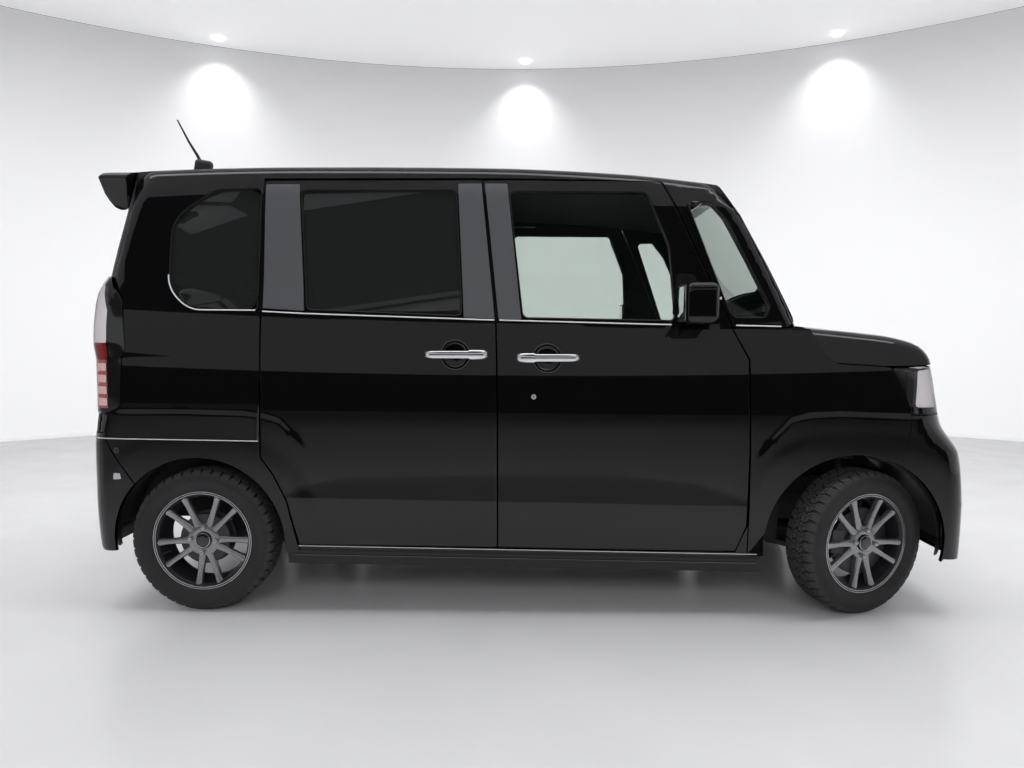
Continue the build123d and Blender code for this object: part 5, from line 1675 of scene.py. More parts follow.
    def _lip(self) -> bmesh.types.BMesh:
        """Two machined rings on the outer flange.

        Returns:
            Their mesh.
        """
        s, bm = self.size, bmesh.new()
        h = s.half
        for r in (191.6, 184.6):
            Workshop.turned(bm, [(-h - 0.6, r - 1.6), (-h - 0.9, r), (-h - 0.4, r + 1.6), (-h + 0.8, r + 2.2),
                                 (-h + 5.2, r + 1.2), (-h + 5.2, r - 1.6)], 96)
        return bm

    def _face(self) -> bmesh.types.BMesh:
        """Hub and spokes: each spoke falls from the rim to the hub and has a ridge along it.

        Returns:
            Their mesh.
        """
        s, bm = self.size, bmesh.new()
        Workshop.turned(bm, [(-44, 0.0), (-44, 27), (-50, 30), (-53.0, 33), (-54, 40), (-52.4, 55), (-49.0, 62),
                             (-43, 65), (-30, 66), (-30, 0.0)], 72)
        for angle in s.spokes:
            a = math.radians(angle)
            path, ups, taper = [], [], []
            for t in np.linspace(0, 1, 11):
                r = 44 + 141.0 * t
                y = -(50.5 + 7.5 * t ** 1.3 - 3.0 * math.sin(math.pi * t))
                path.append((r * math.cos(a), y, r * math.sin(a)))
                ups.append((0, -1, 0))
                taper.append(1.42 - 0.50 * min(t / 0.5, 1.0) + 1.5 * max(t - 0.74, 0.0))
            section = [(-12.4, -19), (-11.2, -3.0), (-8.0, 0.6), (0, 1.8), (8.0, 0.6), (11.2, -3.0), (12.4, -19)]
            Workshop.bar(bm, np.array(path), np.array(ups, float), section, taper=np.array(taper))
        return bm

    def _nuts(self) -> bmesh.types.BMesh:
        """The wheel nuts.

        Returns:
            Their mesh.
        """
        s, bm = self.size, bmesh.new()
        for angle in s.nuts:
            a = math.radians(angle)
            cx, cz = s.nut_circle * math.cos(a), s.nut_circle * math.sin(a)
            start = len(bm.verts)
            Workshop.turned(bm, [(-50, 0.0), (-50, 9.5), (-66, 9.0), (-69, 7.0), (-70.5, 4.0), (-70.5, 0.0)], 20)
            bm.verts.ensure_lookup_table()
            bmesh.ops.translate(bm, vec=(cx, 0, cz), verts=bm.verts[start:])
        return bm

    def _cap(self) -> bmesh.types.BMesh:
        """The plain centre cap.

        Returns:
            Its mesh.
        """
        bm = bmesh.new()
        Workshop.turned(bm, [(-40, 0.0), (-40, 27.5), (-57, 27.5), (-60, 26), (-61.4, 23), (-62.2, 14),
                             (-62.5, 0.0)], 48)
        return bm

    def _cap_ring(self) -> bmesh.types.BMesh:
        """The bright ring of the centre cap.

        Returns:
            Its mesh.
        """
        bm = bmesh.new()
        Workshop.turned(bm, [(-57, 27.2), (-57, 29.2), (-59.5, 29.4), (-61.2, 28.6), (-61.6, 27.0), (-60, 26.0)], 48)
        return bm

    def _valve(self) -> bmesh.types.BMesh:
        """The valve between two spokes.

        Returns:
            Its mesh.
        """
        bm = bmesh.new()
        a = math.radians(199)
        for r0, r1, w in ((148, 172, 4.2), (136, 150, 2.8)):
            path = np.array([(r * math.cos(a), -50 - (172 - r) * 0.12, r * math.sin(a)) for r in (r1, r0)])
            ring = [(w * math.cos(2 * math.pi * q / 8), w * math.sin(2 * math.pi * q / 8)) for q in range(8)]
            Workshop.bar(bm, path, np.array([(0, -1.0, 0)] * 2), ring)
        return bm

    def _brake(self, end: str) -> bmesh.types.BMesh:
        """A front brake disc or a rear drum.

        Args:
            end: "front" or "rear".

        Returns:
            Its mesh.
        """
        bm = bmesh.new()
        if end == "front":
            profile = [(-43, 0.0), (-43, 68), (-31, 72), (-31, 129), (-30.2, 130), (-23.2, 130), (-22.6, 127),
                       (-20.6, 127), (-20, 130), (-13.6, 130), (-13, 129), (-13, 60), (-20, 0.0)]
        else:
            profile = [(-43, 0.0), (-43, 66), (-40, 70), (-40, 92), (-36, 97.5), (-4, 98), (-1, 96), (-1, 60),
                       (-1, 0.0)]
        Workshop.turned(bm, profile, 72)
        return bm


# ------------------------------------------------------------------ what is fixed to the side
@dataclass(frozen=True)
class TrimSizes:
    """Places of the side's trim, in millimetres: x from the middle, z from the ground."""

    pillar_rear: Tuple[Point2, ...] = ((-1006, 1176), (-849, 1166), (-884, 1660), (-1014, 1660))
    pillar_slide: Tuple[Point2, ...] = ((-238, 1142), (-122, 1136), (-176, 1660), (-265, 1660))
    pillar_front: Tuple[Point2, ...] = ((-106, 1136), (-21, 1134), (-76, 1660), (-161, 1660))
    handle_half: float = 118.0
    key: Point2 = (27.0, 842.0)
    mirror_sail: Tuple[Point2, ...] = ((552, 1150), (690, 1140), (640, 1300), (574, 1310))
    lamp: Tuple[Point2, ...] = ((-1603, 1296), (-1550, 1204), (-1532, 1037), (-1545, 990), (-1549, 806), (-1609, 776))
    lamp_field_x: float = -1592.0
    lamp_rise: Tuple[Point2, ...] = ((776, 4), (800, 7), (860, 11), (985, 20), (1040, 32), (1100, 34), (1190, 36),
                                     (1230, 33), (1266, 24), (1300, 10))
    lamp_fields: Tuple[Tuple[str, Finish, float, float, float], ...] = (
        # name, finish, height over the surface, z from, z to
        ("white", LAMP_WHITE, -3.0, 1052, 1258), ("band", LAMP_RED, -2.0, 982, 1049),
        ("bed", LAMP_ROSE, -6.0, 796, 979),
        ("block_0", LAMP_PINK, -2.5, 938, 966), ("block_1", LAMP_PINK, -2.5, 894, 922),
        ("block_2", LAMP_PINK, -2.5, 850, 878), ("block_3", LAMP_PINK, -2.5, 806, 834))
    sensor: Point2 = (-1567.0, 636.0)
    reflector: Point2 = (-1568.0, 535.0)


class SideTrim:
    """Pillar covers, seals, handles, skirts and lamps on both sides.

    Args:
        shop: where its pieces are made.
        shell: the panels that it lies on.
        size: its places.
    """

    def __init__(self, shop: Workshop, shell: Shell, size: TrimSizes = TrimSizes()) -> None:
        self.shop, self.shell, self.size = shop, shell, size

    def build(self) -> None:
        """Builds the trim of both sides."""
        self.shop.copy_node("glass_side", "glass_quarter_front", CLEAR_GLASS, lambda mid, nrm: mid[:, 0] > 500,
                            stands_for=True)
        self.shop.copy_node("glass_side", "glass_side_rear", DARK_GLASS, lambda mid, nrm: mid[:, 0] <= 500,
                            stands_for=True)
        for hand, side in ((RIGHT, "right"), (LEFT, "left")):
            self._pillars(hand, side)
            self._windows(hand, side)
            self._belt(hand, side)
            self._handles(hand, side)
            self._mirror(hand, side)
            self._marks(hand, side)
            self._tail_lamp(hand, side)
            self._head_lamp(hand, side)
            self._skirt(hand, side)

    # -- lines on the surface
    def line(self, points: Sequence[Point2], hand: int, lift: float = 0.0, step: float = 16.0, closed: bool = False,
             relief: bool = True) -> Tuple[Array, Array]:
        """Points and normals along a line of surface coordinates.

        Args:
            points: its corners, as perimeter coordinate and level.
            hand: RIGHT or LEFT.
            lift: height over the panel, in millimetres.
            step: largest step between points.
            closed: whether the line is a ring.
            relief: whether it follows the panels' pressed forms.

        Returns:
            Places and unit normals, one row for each point.
        """
        pts = list(points) + ([points[0]] if closed else [])
        dense: List[Point2] = []
        for p, q in zip(pts, pts[1:]):
            n = max(int(math.dist(p, q) / step), 1)
            dense += [(p[0] + (q[0] - p[0]) * i / n, p[1] + (q[1] - p[1]) * i / n) for i in range(n)]
        if not closed:
            dense.append(tuple(pts[-1]))
        s, v = np.array([d[0] for d in dense]), np.array([d[1] for d in dense])
        mapping = self.shell.side_map()
        normal = Workshop.normal_of(mapping, s, v)
        up = lift + (self.shell.relief(s, v) if relief else 0.0)
        pos = np.stack(mapping(s, v), 1) + normal * np.reshape(up, (-1, 1))
        flip = np.array([1.0, float(hand), 1.0])
        return pos * flip, normal * flip

    def strip(self, name: str, points: Sequence[Point2], hand: int, width: float, height: float, finish: Finish,
              body: str, lift: float = 0.0, closed: bool = False, low: float = -1.5) -> None:
        """A moulding of rounded section along a line on the side.

        Args:
            name: the piece's name.
            points: corners of the line, as perimeter coordinate and level.
            hand: RIGHT or LEFT.
            width: its width.
            height: its height.
            finish: its finish.
            body: the CAD body it rides on.
            lift: height over the panel, in millimetres.
            closed: whether the line is a ring.
            low: where its underside lies.
        """
        path, ups = self.line(points, hand, lift, closed=closed)
        w = width / 2
        section = [(-w, low), (-w, height * 0.5), (-w * 0.6, height), (w * 0.6, height), (w, height * 0.5), (w, low)]
        self.shop.sweep(name, path, ups, section, finish, body, closed=closed, smooth=60.0)

    def patch(self, name: str, outline: Sequence[Point2], hand: int, finish: Finish, body: str, lift: float = 1.0,
              corner: float = 4.0, depth: float = 3.0, holes: Sequence[Sequence[Point2]] = (), level: bool = True,
              cell: Point2 = (30.0, 30.0), roll: float = 0.8) -> None:
        """A thin cover on the side's surface.

        Args:
            name: the piece's name.
            outline: its corners.
            hand: RIGHT or LEFT.
            finish: its finish.
            body: the CAD body it rides on.
            lift: height over the panel, in millimetres.
            corner: radius of its corners.
            depth: depth of its rim.
            holes: outlines of its openings.
            level: whether the corners are x and z instead of surface coordinates.
            cell: cell size.
            roll: radius of the rim's edge.
        """
        flat = rounded(self.shell.to_level(outline) if level else outline, corner)

        def relief(s: Array, v: Array) -> Array:
            """The panel's own form, with the cover's lift."""
            return self.shell.relief(s, v) + lift

        self.shop.skin(name, flat, holes, self.shell.side_map(), finish, body, hand, cell=cell, depth=depth, roll=roll,
                       relief=relief)

    # -- pieces
    def _pillars(self, hand: int, side: str) -> None:
        """Satin covers of the pillars between the windows.

        Args:
            hand: RIGHT or LEFT.
            side: the same as a word, for the names.
        """
        s = self.size
        self.patch(f"pillar_cover_rear_{side}", s.pillar_rear, hand, SATIN, "root", 1.2)
        self.patch(f"pillar_cover_slide_{side}", s.pillar_slide, hand, SATIN, "root", 1.2)
        self.patch(f"pillar_cover_front_{side}", s.pillar_front, hand, SATIN, f"door_{side}", 1.2)

    def _windows(self, hand: int, side: str) -> None:
        """Seals round the side windows.

        Args:
            hand: RIGHT or LEFT.
            side: the same as a word, for the names.
        """
        z = self.shell.size
        for label, glass, body, r in (
                ("front", z.front_glass, f"door_{side}", 24), ("slide", z.slide_glass, "root", 24),
                ("rear_quarter", z.rear_quarter, "root", QUARTER_CORNERS),
                ("front_quarter", z.front_quarter, "root", 22)):
            edge = rounded(self.shell.to_level(glass), r)
            self.strip(f"seal_{label}_{side}", edge, hand, 7.0, 0.8, SEAL, body, lift=-2.5, closed=True, low=-6.0)

    def _belt(self, hand: int, side: str) -> None:
        """Strips under the windows, round the quarter window and over the rear bumper, pale grey as a painted highlight
        of the belt weatherstrip and the tail's ledge.

        Args:
            hand: RIGHT or LEFT.
            side: the same as a word, for the names.
        """
        lv = self.shell.to_level
        for label, pts, body in (("slide", [(-1008, 1163), (-845, 1155), (-122, 1131)], "root"),
                                 ("front", [(-103, 1131), (500, 1114), (548, 1113)], f"door_{side}"),
                                 ("nose", [(790, 1110), (960, 1106)], "root")):
            self.strip(f"belt_{label}_{side}", lv(pts), hand, 4.6, 2.2, HIGHLIGHT_LINE, body, lift=0.6)
        q = self.shell.size.rear_quarter
        edge = rounded(lv(q), QUARTER_CORNERS)
        start = min(range(len(edge)), key=lambda i: math.dist(edge[i], lv([(-1376, 1300)])[0]))
        order = edge[start:] + edge[:start]
        stop = min(range(len(order)), key=lambda i: math.dist(order[i], lv([(-1034, 1166)])[0]))
        self.strip(f"belt_quarter_{side}", order[: stop + 1], hand, 4.6, 2.2, HIGHLIGHT_LINE, "root", lift=0.6)
        ledge = [(-1652.0, 657.0), (-1400.0, 657.0), (-1022.0, 657.0)]
        self.strip(f"ledge_line_{side}", ledge, hand, 3.0, 1.4, HIGHLIGHT_LINE, "root", lift=1.0)

    def _handles(self, hand: int, side: str) -> None:
        """Door handles with their feet, and satin grey rings round their recesses as a painted highlight of the recess
        edge.

        Args:
            hand: RIGHT or LEFT.
            side: the same as a word, for the names.
        """
        z, form = self.shell.size, self.shell.form
        for label, (hx, hz), body in (("front", z.handle_front, f"door_{side}"), ("slide", z.handle_slide, "root")):
            length = self.size.handle_half
            path, ups, taper = [], [], []
            n = 49
            grip = -1 if label == "front" else 1
            for k in range(n):
                t = -1 + 2 * k / (n - 1)
                x = hx + 3 + t * length
                v = hz + form.fall_at(hz) * x
                y = form.half_at(x, v - form.fall_at(v) * x)
                out = 24.0 * (1 - abs(t) ** 5.0) - 5.0 * abs(t) ** 5.0
                path.append((x, hand * (y + out), hz + 1.0))
                ups.append((0, hand, 0))
                thick = min(max((grip * t * length - (length - 70.0)) / 5.0, 0.0), 1.0)
                taper.append(1.0 + 0.27 * thick - 0.30 * abs(t) ** 14)
            section = [(14.6 * math.cos(a), 5.6 * math.sin(a) * (1.15 if math.sin(a) > 0 else 0.8))
                       for a in np.linspace(0, 2 * math.pi, 19)[:-1]]
            bm = bmesh.new()
            Workshop.bar(bm, np.array(path), np.array(ups, float), section, taper=np.array(taper))
            bmesh.ops.scale(bm, vec=(MM, MM, MM), verts=bm.verts)
            self.shop.piece(f"handle_{label}_{side}", bm, CHROME, body, smooth=60.0)
            # A satin grey ring on the recess edge: a painted highlight where the edge catches the light.
            ring = ringed(hx, hz + form.fall_at(hz) * hx, 54.5, 56)
            self.strip(f"handle_rim_{label}_{side}", ring, hand, 2.2, 0.7, SATIN, body, lift=0.2, closed=True)
            for k, dx in enumerate((-(length - 9), length - 6)):
                x = hx + 3 + dx
                y = form.half_at(x, hz)
                self.shop.block(f"handle_foot_{label}_{k}_{side}", (x, hand * (y + 0.5), hz + 1), (26, 9, 22), 4,
                                GLOSS_PLASTIC, body)

    def _mirror(self, hand: int, side: str) -> None:
        """What is fixed to the door mirror's housing.

        Args:
            hand: RIGHT or LEFT.
            side: the same as a word, for the names.
        """
        body = f"door_{side}"
        self.patch(f"mirror_sail_{side}", self.size.mirror_sail, hand, GLOSS_PLASTIC, body, 0.6, corner=10)
        self.shop.block(f"mirror_glass_{side}", (560.2, hand * 813, 1189), (2.4, 122, 118), 1.1, MIRROR, body)
        self.shop.block(f"mirror_frame_{side}", (562.0, hand * 812, 1188), (3.0, 134, 132), 1.4, PLASTIC, body)
        # The signal's lens carries the painted glow of the white lamp finish.
        self.shop.block(f"mirror_signal_{side}", (684.0, hand * 842, 1204), (3.0, 74, 9), 1.2, LAMP_WHITE, body)

    def _disc(self, name: str, x: float, z: float, hand: int, r: float, out: float, finish: Finish, body: str) -> None:
        """A small round part on the side.

        Args:
            name: the piece's name.
            x: distance ahead of the middle, in millimetres.
            z: height, in millimetres.
            hand: RIGHT or LEFT.
            r: its radius.
            out: how far it stands out.
            finish: its finish.
            body: the CAD body it rides on.
        """
        form = self.shell.form
        y = form.half_at(x, z)
        bm = bmesh.new()
        Workshop.turned(bm, [(2.0, 0.0), (2.0, r), (-out * 0.5, r), (-out, r * 0.86), (-out, 0.0)], 28)
        spin = Matrix.Scale(MM, 4) @ Matrix.Translation((x, hand * y, z))
        if hand == LEFT:
            bmesh.ops.scale(bm, vec=(1, -1, 1), verts=bm.verts)
            bmesh.ops.reverse_faces(bm, faces=bm.faces[:])
        bmesh.ops.transform(bm, matrix=spin, verts=bm.verts)
        self.shop.piece(name, bm, finish, body)

    def _marks(self, hand: int, side: str) -> None:
        """Key cylinder, rear sensor and side reflector.

        Args:
            hand: RIGHT or LEFT.
            side: the same as a word, for the names.
        """
        s = self.size
        self._disc(f"key_cylinder_{side}", *s.key, hand, 9.5, 2.0, KEY, f"door_{side}")
        self._disc(f"key_slot_{side}", s.key[0], s.key[1], hand, 4.0, 2.4, SEAL, f"door_{side}")
        a, v = self.shell.to_level([s.sensor])[0]
        self.patch(f"sensor_rear_{side}", ringed(a, v, 9, 24), hand, SATIN, "root", 1.0, corner=0, level=False,
                   holes=[ringed(a, v, 6, 24)])
        a, v = self.shell.to_level([s.reflector])[0]
        box = [(a - 16, v - 12), (a + 16, v - 9), (a + 13, v + 12), (a - 12, v + 13)]
        self.patch(f"reflector_rear_{side}", box, hand, REFLECTOR, "root", 1.0, corner=4, level=False)

    def _bulge(self, s: Array, v: Array) -> Array:
        """How far the tail lamp stands out of the corner.

        Args:
            s: perimeter coordinate.
            v: level.

        Returns:
            Height over the plain surface, in millimetres.
        """
        form, size = self.shell.form, self.size
        z = v - form.fall(v) * s
        out = np.interp(z, *zip(*size.lamp_rise))
        edge, inner = self.shell.to_level([(-1532, 1037)])[0][0], self.shell.at_end(579, 1037, False)[0]
        share = np.clip((s - inner) / (edge - inner), 0, 1)
        return out * np.interp(share, (0, 0.22, 0.5, 0.8, 1), (0.45, 0.9, 1.0, 0.55, 0.0))

    def _tail_lamp(self, hand: int, side: str) -> None:
        """The tail lamp: case, coloured fields and lens; the white, rose and pink fields carry a painted glow in place
        of light through the lens.

        Args:
            hand: RIGHT or LEFT.
            side: the same as a word, for the names.
        """
        shell, size = self.shell, self.size
        rim = shell.to_level(size.lamp)
        top, low = shell.at_end(579, 1298, False), shell.at_end(579, 776, False)
        whole = rounded([top, *rim, low], (3, 10, 20, 14, 8, 12, 10, 3))
        surface = shell.side_map()

        def part(name: str, outline: Sequence[Point2], finish: Finish, lift: float, depth: float, roll: float,
                 stands: Sequence[str] = ()) -> None:
            """One layer of the lamp."""
            self.shop.skin(f"tail_lamp_{name}_{side}", outline, [], surface, finish, "root", hand, cell=(9.0, 16.0),
                           relief=lambda s, v: self._bulge(s, v) + lift, depth=depth, roll=roll, stands_for=stands)

        part("case", grown(whole, -1.0), GLOSS_PLASTIC, -8.0, 10.0, 1.0, ("tail_lamps",) if hand == RIGHT else ())
        part("lens", whole, LENS, 0.5, 8.0, 1.8)
        # The white, rose and pink fields carry a painted glow from their lamp finishes.
        for name, finish, lift, z0, z1 in size.lamp_fields:
            x = size.lamp_field_x - (7 if z1 < 1000 else 0)
            outer = [(x - 26, z1), (x, 1160)] if z1 > 1200 else [(x, z1)]
            field = [shell.at_end(592, z1, False), *shell.to_level([*outer, (x, z0)]), shell.at_end(592, z0, False)]
            part(name, rounded(field, 4), finish, lift, 3.0, 1.2)

    def _head_lamp(self, hand: int, side: str) -> None:
        """The head lamp: lens, case, light guide and two round lamps; the guide, beads and rings carry a painted glow
        in place of light through the lens.

        Args:
            hand: RIGHT or LEFT.
            side: the same as a word, for the names.
        """
        shell = self.shell
        surface = shell.side_map(False)
        edge = shell.to_level([(1444, 778), (1404, 888), (1368, 950)])
        inner_top = [shell.at_end(y, 952, True) for y in (640, 520, 412)]
        inner_low = [shell.at_end(y, 778, True) for y in (412, 520, 640)]
        whole = rounded([*edge, *inner_top, *inner_low], (6, 30, 8, 0, 0, 4, 4, 0, 0))
        stands = ("headlamps",) if hand == RIGHT else ()
        self.shop.skin(f"head_lamp_lens_{side}", whole, [], surface, LENS, "root", hand, relief=sunk(-0.3), depth=8,
                       roll=2.0, cell=(16.0, 16.0), stands_for=stands)
        self.shop.skin(f"head_lamp_case_{side}", grown(whole, -2), [], surface, GLOSS_PLASTIC, "root", hand,
                       relief=sunk(38.0), depth=-36, roll=0.5, cell=(16.0, 16.0))
        # The guide, beads and rings use the white lamp finish, whose painted glow stands in for light through the lens.
        guide = [*shell.to_level([(1462, 806), (1480, 940)]), shell.at_end(640, 944, True),
                 shell.at_end(622, 800, True)]
        self.shop.skin(f"head_lamp_guide_{side}", rounded(guide, 12), [], surface, LAMP_WHITE, "root", hand,
                       relief=sunk(5.0), depth=12, roll=2.5, cell=(10.0, 16.0))
        v_mid = shell.at_end(560, 868, True)[1]
        for k, y in enumerate((560, 480)):
            s0 = shell.at_end(y, 868, True)[0]
            x, py, z = (float(np.ravel(c)[0]) for c in surface(np.array([s0]), np.array([v_mid])))
            n = Workshop.normal_of(surface, np.array([s0]), np.array([v_mid]))[0]
            spot, up = Vector((x, hand * py, z)), Vector((n[0], hand * n[1], n[2]))
            frame = Matrix.Translation(spot) @ Vector((0, -1, 0)).rotation_difference(up).to_matrix().to_4x4()
            for label, profile, finish in (
                    ("bowl", [(36, 8), (30, 22), (18, 31), (9, 34), (7, 35.5), (10, 35.5), (20, 32.5), (33, 23),
                              (38, 8)], REFLECTOR),
                    ("bead", [(34, 0.0), (34, 17), (22, 19), (16, 14), (13, 7), (12.2, 0.0)], LAMP_WHITE),
                    ("ring", [(8, 34), (5.5, 35), (5, 37), (7, 38.5), (9.5, 37.5)], LAMP_WHITE)):
                bm = bmesh.new()
                Workshop.turned(bm, profile, 36)
                bmesh.ops.transform(bm, matrix=Matrix.Scale(MM, 4) @ frame, verts=bm.verts)
                self.shop.piece(f"head_lamp_{label}_{k}_{side}", bm, finish, "root")

    def _skirt(self, hand: int, side: str) -> None:
        """Two fine lines along the skirt.

        Args:
            hand: RIGHT or LEFT.
            side: the same as a word, for the names.
        """
        for label, y, z, w, finish in (("top", 725.6, 251.0, 3.0, BRIGHT), ("step", 724.8, 216.0, 2.4, SATIN)):
            pts = np.array([(x, hand * y, z - 0.014 * x) for x in np.linspace(-900, 880, 12)])
            ups = np.array([(0.0, float(hand), 0.0)] * len(pts))
            section = [(-w / 2, -2), (-w / 2, 0.3), (w / 2, 0.3), (w / 2, -2)]
            self.shop.sweep(f"skirt_line_{label}_{side}", pts, ups, section, finish, "root")


# ------------------------------------------------------------------ nose, tail and roof
@dataclass(frozen=True)
class EndSizes:
    """Places of what is fixed to the nose, the tail and the roof, in millimetres."""

    grille_bars: Tuple[float, ...] = (798.0, 838.0, 918.0)            # heights
    grille_half: float = 404.0
    grille_posts: int = 21
    post_half: float = 380.0                                          # y of the outermost post
    intake_bars: Tuple[float, ...] = (318.0, 348.0, 378.0, 406.0)     # heights
    front_sensors: Tuple[Point2, ...] = ((640, 520), (330, 520))      # y and z
    plates: Tuple[Tuple[str, float, float, str], ...] = (             # name, x, z and body
        ("front", 1700.5, 587.5, "root"), ("rear", -1667.0, 787.5, "tailgate"))
    plate: Point3 = (1.6, 330, 165)
    screws: Tuple[float, ...] = (-105, 105)
    screw_rise: float = 60.5                                          # over the plate's middle
    wipers: Tuple[Point3, ...] = ((-430.0, 560.0, 0.075), (150.0, 520.0, 0.09))     # y of the foot, reach, rise
    wiper_up: Point3 = (0.82, 0.0, 0.57)                              # out of the windshield
    aerial_base: Point3 = (-1355.0, -398.0, 1741.0)
    aerial_tip: Point3 = (-1458.0, -398.0, 1971.0)
    wing_x: float = -1628.0
    wing_z: float = 1700.0
    wing_half: float = 562.0
    wing_section: Tuple[Point2, ...] = ((70, 68), (20, 68), (-30, 68), (-46, 66), (-52, 60), (-52, 30), (-50, -8),
                                        (-40, -40), (-22, -66), (-2, -76), (16, -76), (26, -70), (44, -20), (66, 40))
    rear_sensors: Tuple[float, ...] = (-520, -250, 250, 520)


class Ends:
    """Grille, intake, plates, wipers, aerial and the inner faces of the body.

    Args:
        shop: where its pieces are made.
        shell: the panels that it lies on.
        size: its places.
    """

    OUTER_SKIN: ClassVar[float] = 20.0    # faces that look out and lie this near the surface are the outer skin
    AT_SURFACE: ClassVar[float] = 6.0     # and faces this near it are left out, whichever way they look

    def __init__(self, shop: Workshop, shell: Shell, size: EndSizes = EndSizes()) -> None:
        self.shop, self.shell, self.size, self.form = shop, shell, size, shell.form

    def build(self) -> None:
        """Builds both ends and the roof's fittings."""
        self._grille()
        self._intake()
        self._plates()
        self._screen()
        self._roof()
        self._tail()
        self._wing()
        self._linings()

    def _front_line(self, y0: float, y1: float, z: float, inset: float, step: float = 25.0) -> Tuple[Array, Array]:
        """Points across the nose at one height, and the direction out of it.

        Args:
            y0: where it starts across the car.
            y1: where it ends.
            z: height, in millimetres.
            inset: how far it lies behind the surface.
            step: step between points.

        Returns:
            The points, and unit directions out of the nose.
        """
        ys = np.arange(y0, y1 + step / 2, step)
        s = np.array([self.form.s_of_y(abs(float(y)), z, True) for y in ys])
        px, py = self.form.wrap(s, np.full_like(s, z), np.zeros(len(s), bool))
        path = np.stack([px - inset, np.sign(ys) * py, np.full_like(px, z)], 1)
        tang = np.gradient(path, axis=0)
        out = np.stack([tang[:, 1], -tang[:, 0], np.zeros(len(path))], 1)
        return path, out / np.linalg.norm(out, axis=1)[:, None]

    @staticmethod
    def _bar_section(w: float, d: float) -> List[Point2]:
        """Section of a grille bar of one width and depth."""
        return [(-w / 2, -d), (-w / 2, -2), (-w * 0.3, 0), (w * 0.3, 0), (w / 2, -2), (w / 2, -d)]

    def _grille(self) -> None:
        """Grille bars, the bright bar, the back plate and the posts."""
        size = self.size
        for k, z in enumerate(size.grille_bars):
            path, out = self._front_line(4 - size.grille_half, size.grille_half - 4, z, 6)
            self.shop.sweep(f"grille_bar_{k}", path, out, self._bar_section(13, 14), GLOSS_PLASTIC, "root",
                            stands_for=("grille",) if k == 0 else ())
        path, out = self._front_line(-size.grille_half, size.grille_half, 878, 1)
        self.shop.sweep("grille_bright_bar", path, out, self._bar_section(22, 14), CHROME, "root")
        path, out = self._front_line(-size.grille_half, size.grille_half, 944, 1)
        self.shop.sweep("grille_top_bar", path, out, self._bar_section(16, 14), GLOSS_PLASTIC, "root")
        path, out = self._front_line(-size.grille_half, size.grille_half, 866, 34)
        self.shop.sweep("grille_back", path, out, self._bar_section(176, 8), PLASTIC, "root")
        for k, y in enumerate(np.linspace(-size.post_half, size.post_half, size.grille_posts)):
            path, _ = self._front_line(float(y) - 3, float(y) + 3, 866, 22, 3.0)
            self.shop.block(f"grille_post_{k}", path[1], (18, 3.5, 160), 0.8, PLASTIC, "root")

    def _intake(self) -> None:
        """Lower intake, fog lamp garnish and front sensors."""
        for k, z in enumerate(self.size.intake_bars):
            half = 424 + (z - 300) / 3
            path, out = self._front_line(-half, half, z, 12)
            self.shop.sweep(f"intake_bar_{k}", path, out, [(-5, -16), (-5, -2), (0, 0), (5, -2), (5, -16)],
                            GLOSS_PLASTIC if k % 2 else PLASTIC, "root")
        path, out = self._front_line(-452, 452, 360, 46)
        self.shop.sweep("intake_back", path, out, [(-62, -3), (-62, 0), (62, 0), (62, -3)], PLASTIC, "root")
        for hand, side in ((RIGHT, "right"), (LEFT, "left")):
            start = self.form.s_of_y(600, 430, True)
            path, ups = SideTrim(self.shop, self.shell).line([(start - 120, 452), (start - 10, 448), (start + 70, 446)],
                                                             hand, 0.5, relief=False)
            self.shop.sweep(f"fog_garnish_{side}", path, ups, [(-9, -2), (-7, 2.4), (7, 2.4), (9, -2)], GLOSS_PLASTIC,
                            "root")
            for k, (y, z) in enumerate(self.size.front_sensors):
                s0 = self.form.s_of_y(y, z, True)
                path, ups = SideTrim(self.shop, self.shell).line([(s0 - 1, z), (s0 + 1, z)], hand, 0, 1.0, relief=False)
                mid, up = Vector(path[0]), Vector(ups[0])
                bm = bmesh.new()
                Workshop.turned(bm, [(2, 0.0), (2, 10), (-0.6, 10), (-1.6, 8.6), (-1.6, 0.0)], 24)
                frame = Matrix.Translation(mid) @ Vector((0, -1, 0)).rotation_difference(up).to_matrix().to_4x4()
                bmesh.ops.transform(bm, matrix=Matrix.Scale(MM, 4) @ frame, verts=bm.verts)
                self.shop.piece(f"sensor_front_{k}_{side}", bm, SATIN, "root")

    def _plates(self) -> None:
        """Blank plates with two screws each, and the front plate's seat."""
        size = self.size
        for label, x, z, body in size.plates:
            self.shop.block(f"plate_{label}", (x, 0, z), size.plate, 0.7, PLATE, body, smooth=30)
            for k, y in enumerate(size.screws):
                bm = bmesh.new()
                Workshop.turned(bm, [(3, 0.0), (3, 6.5), (-1.5, 6.5), (-2.6, 5), (-2.6, 0.0)], 6)
                face = 1 if label == "front" else -1
                frame = Matrix.Translation((x + face * size.plate[0] / 2, y, z + size.screw_rise)) \
                    @ Vector((0, -1, 0)).rotation_difference(Vector((face, 0, 0))).to_matrix().to_4x4()
                bmesh.ops.transform(bm, matrix=Matrix.Scale(MM, 4) @ frame, verts=bm.verts)
                self.shop.piece(f"plate_screw_{label}_{k}", bm, CHROME, body)
        self.shop.block("plate_seat_front", (1688.0, 0, 587.5), (22, 300, 140), 4, PLASTIC, "root")

    def _screen(self) -> None:
        """The windshield with its black border, its wipers and the inner mirror."""
        form, z = self.form, self.shell.size

        def at(y: Array, h: Array) -> Tuple[Array, Array, Array]:
            """A place of the windshield."""
            return form.front_x(y, h) - 0.5, y, h

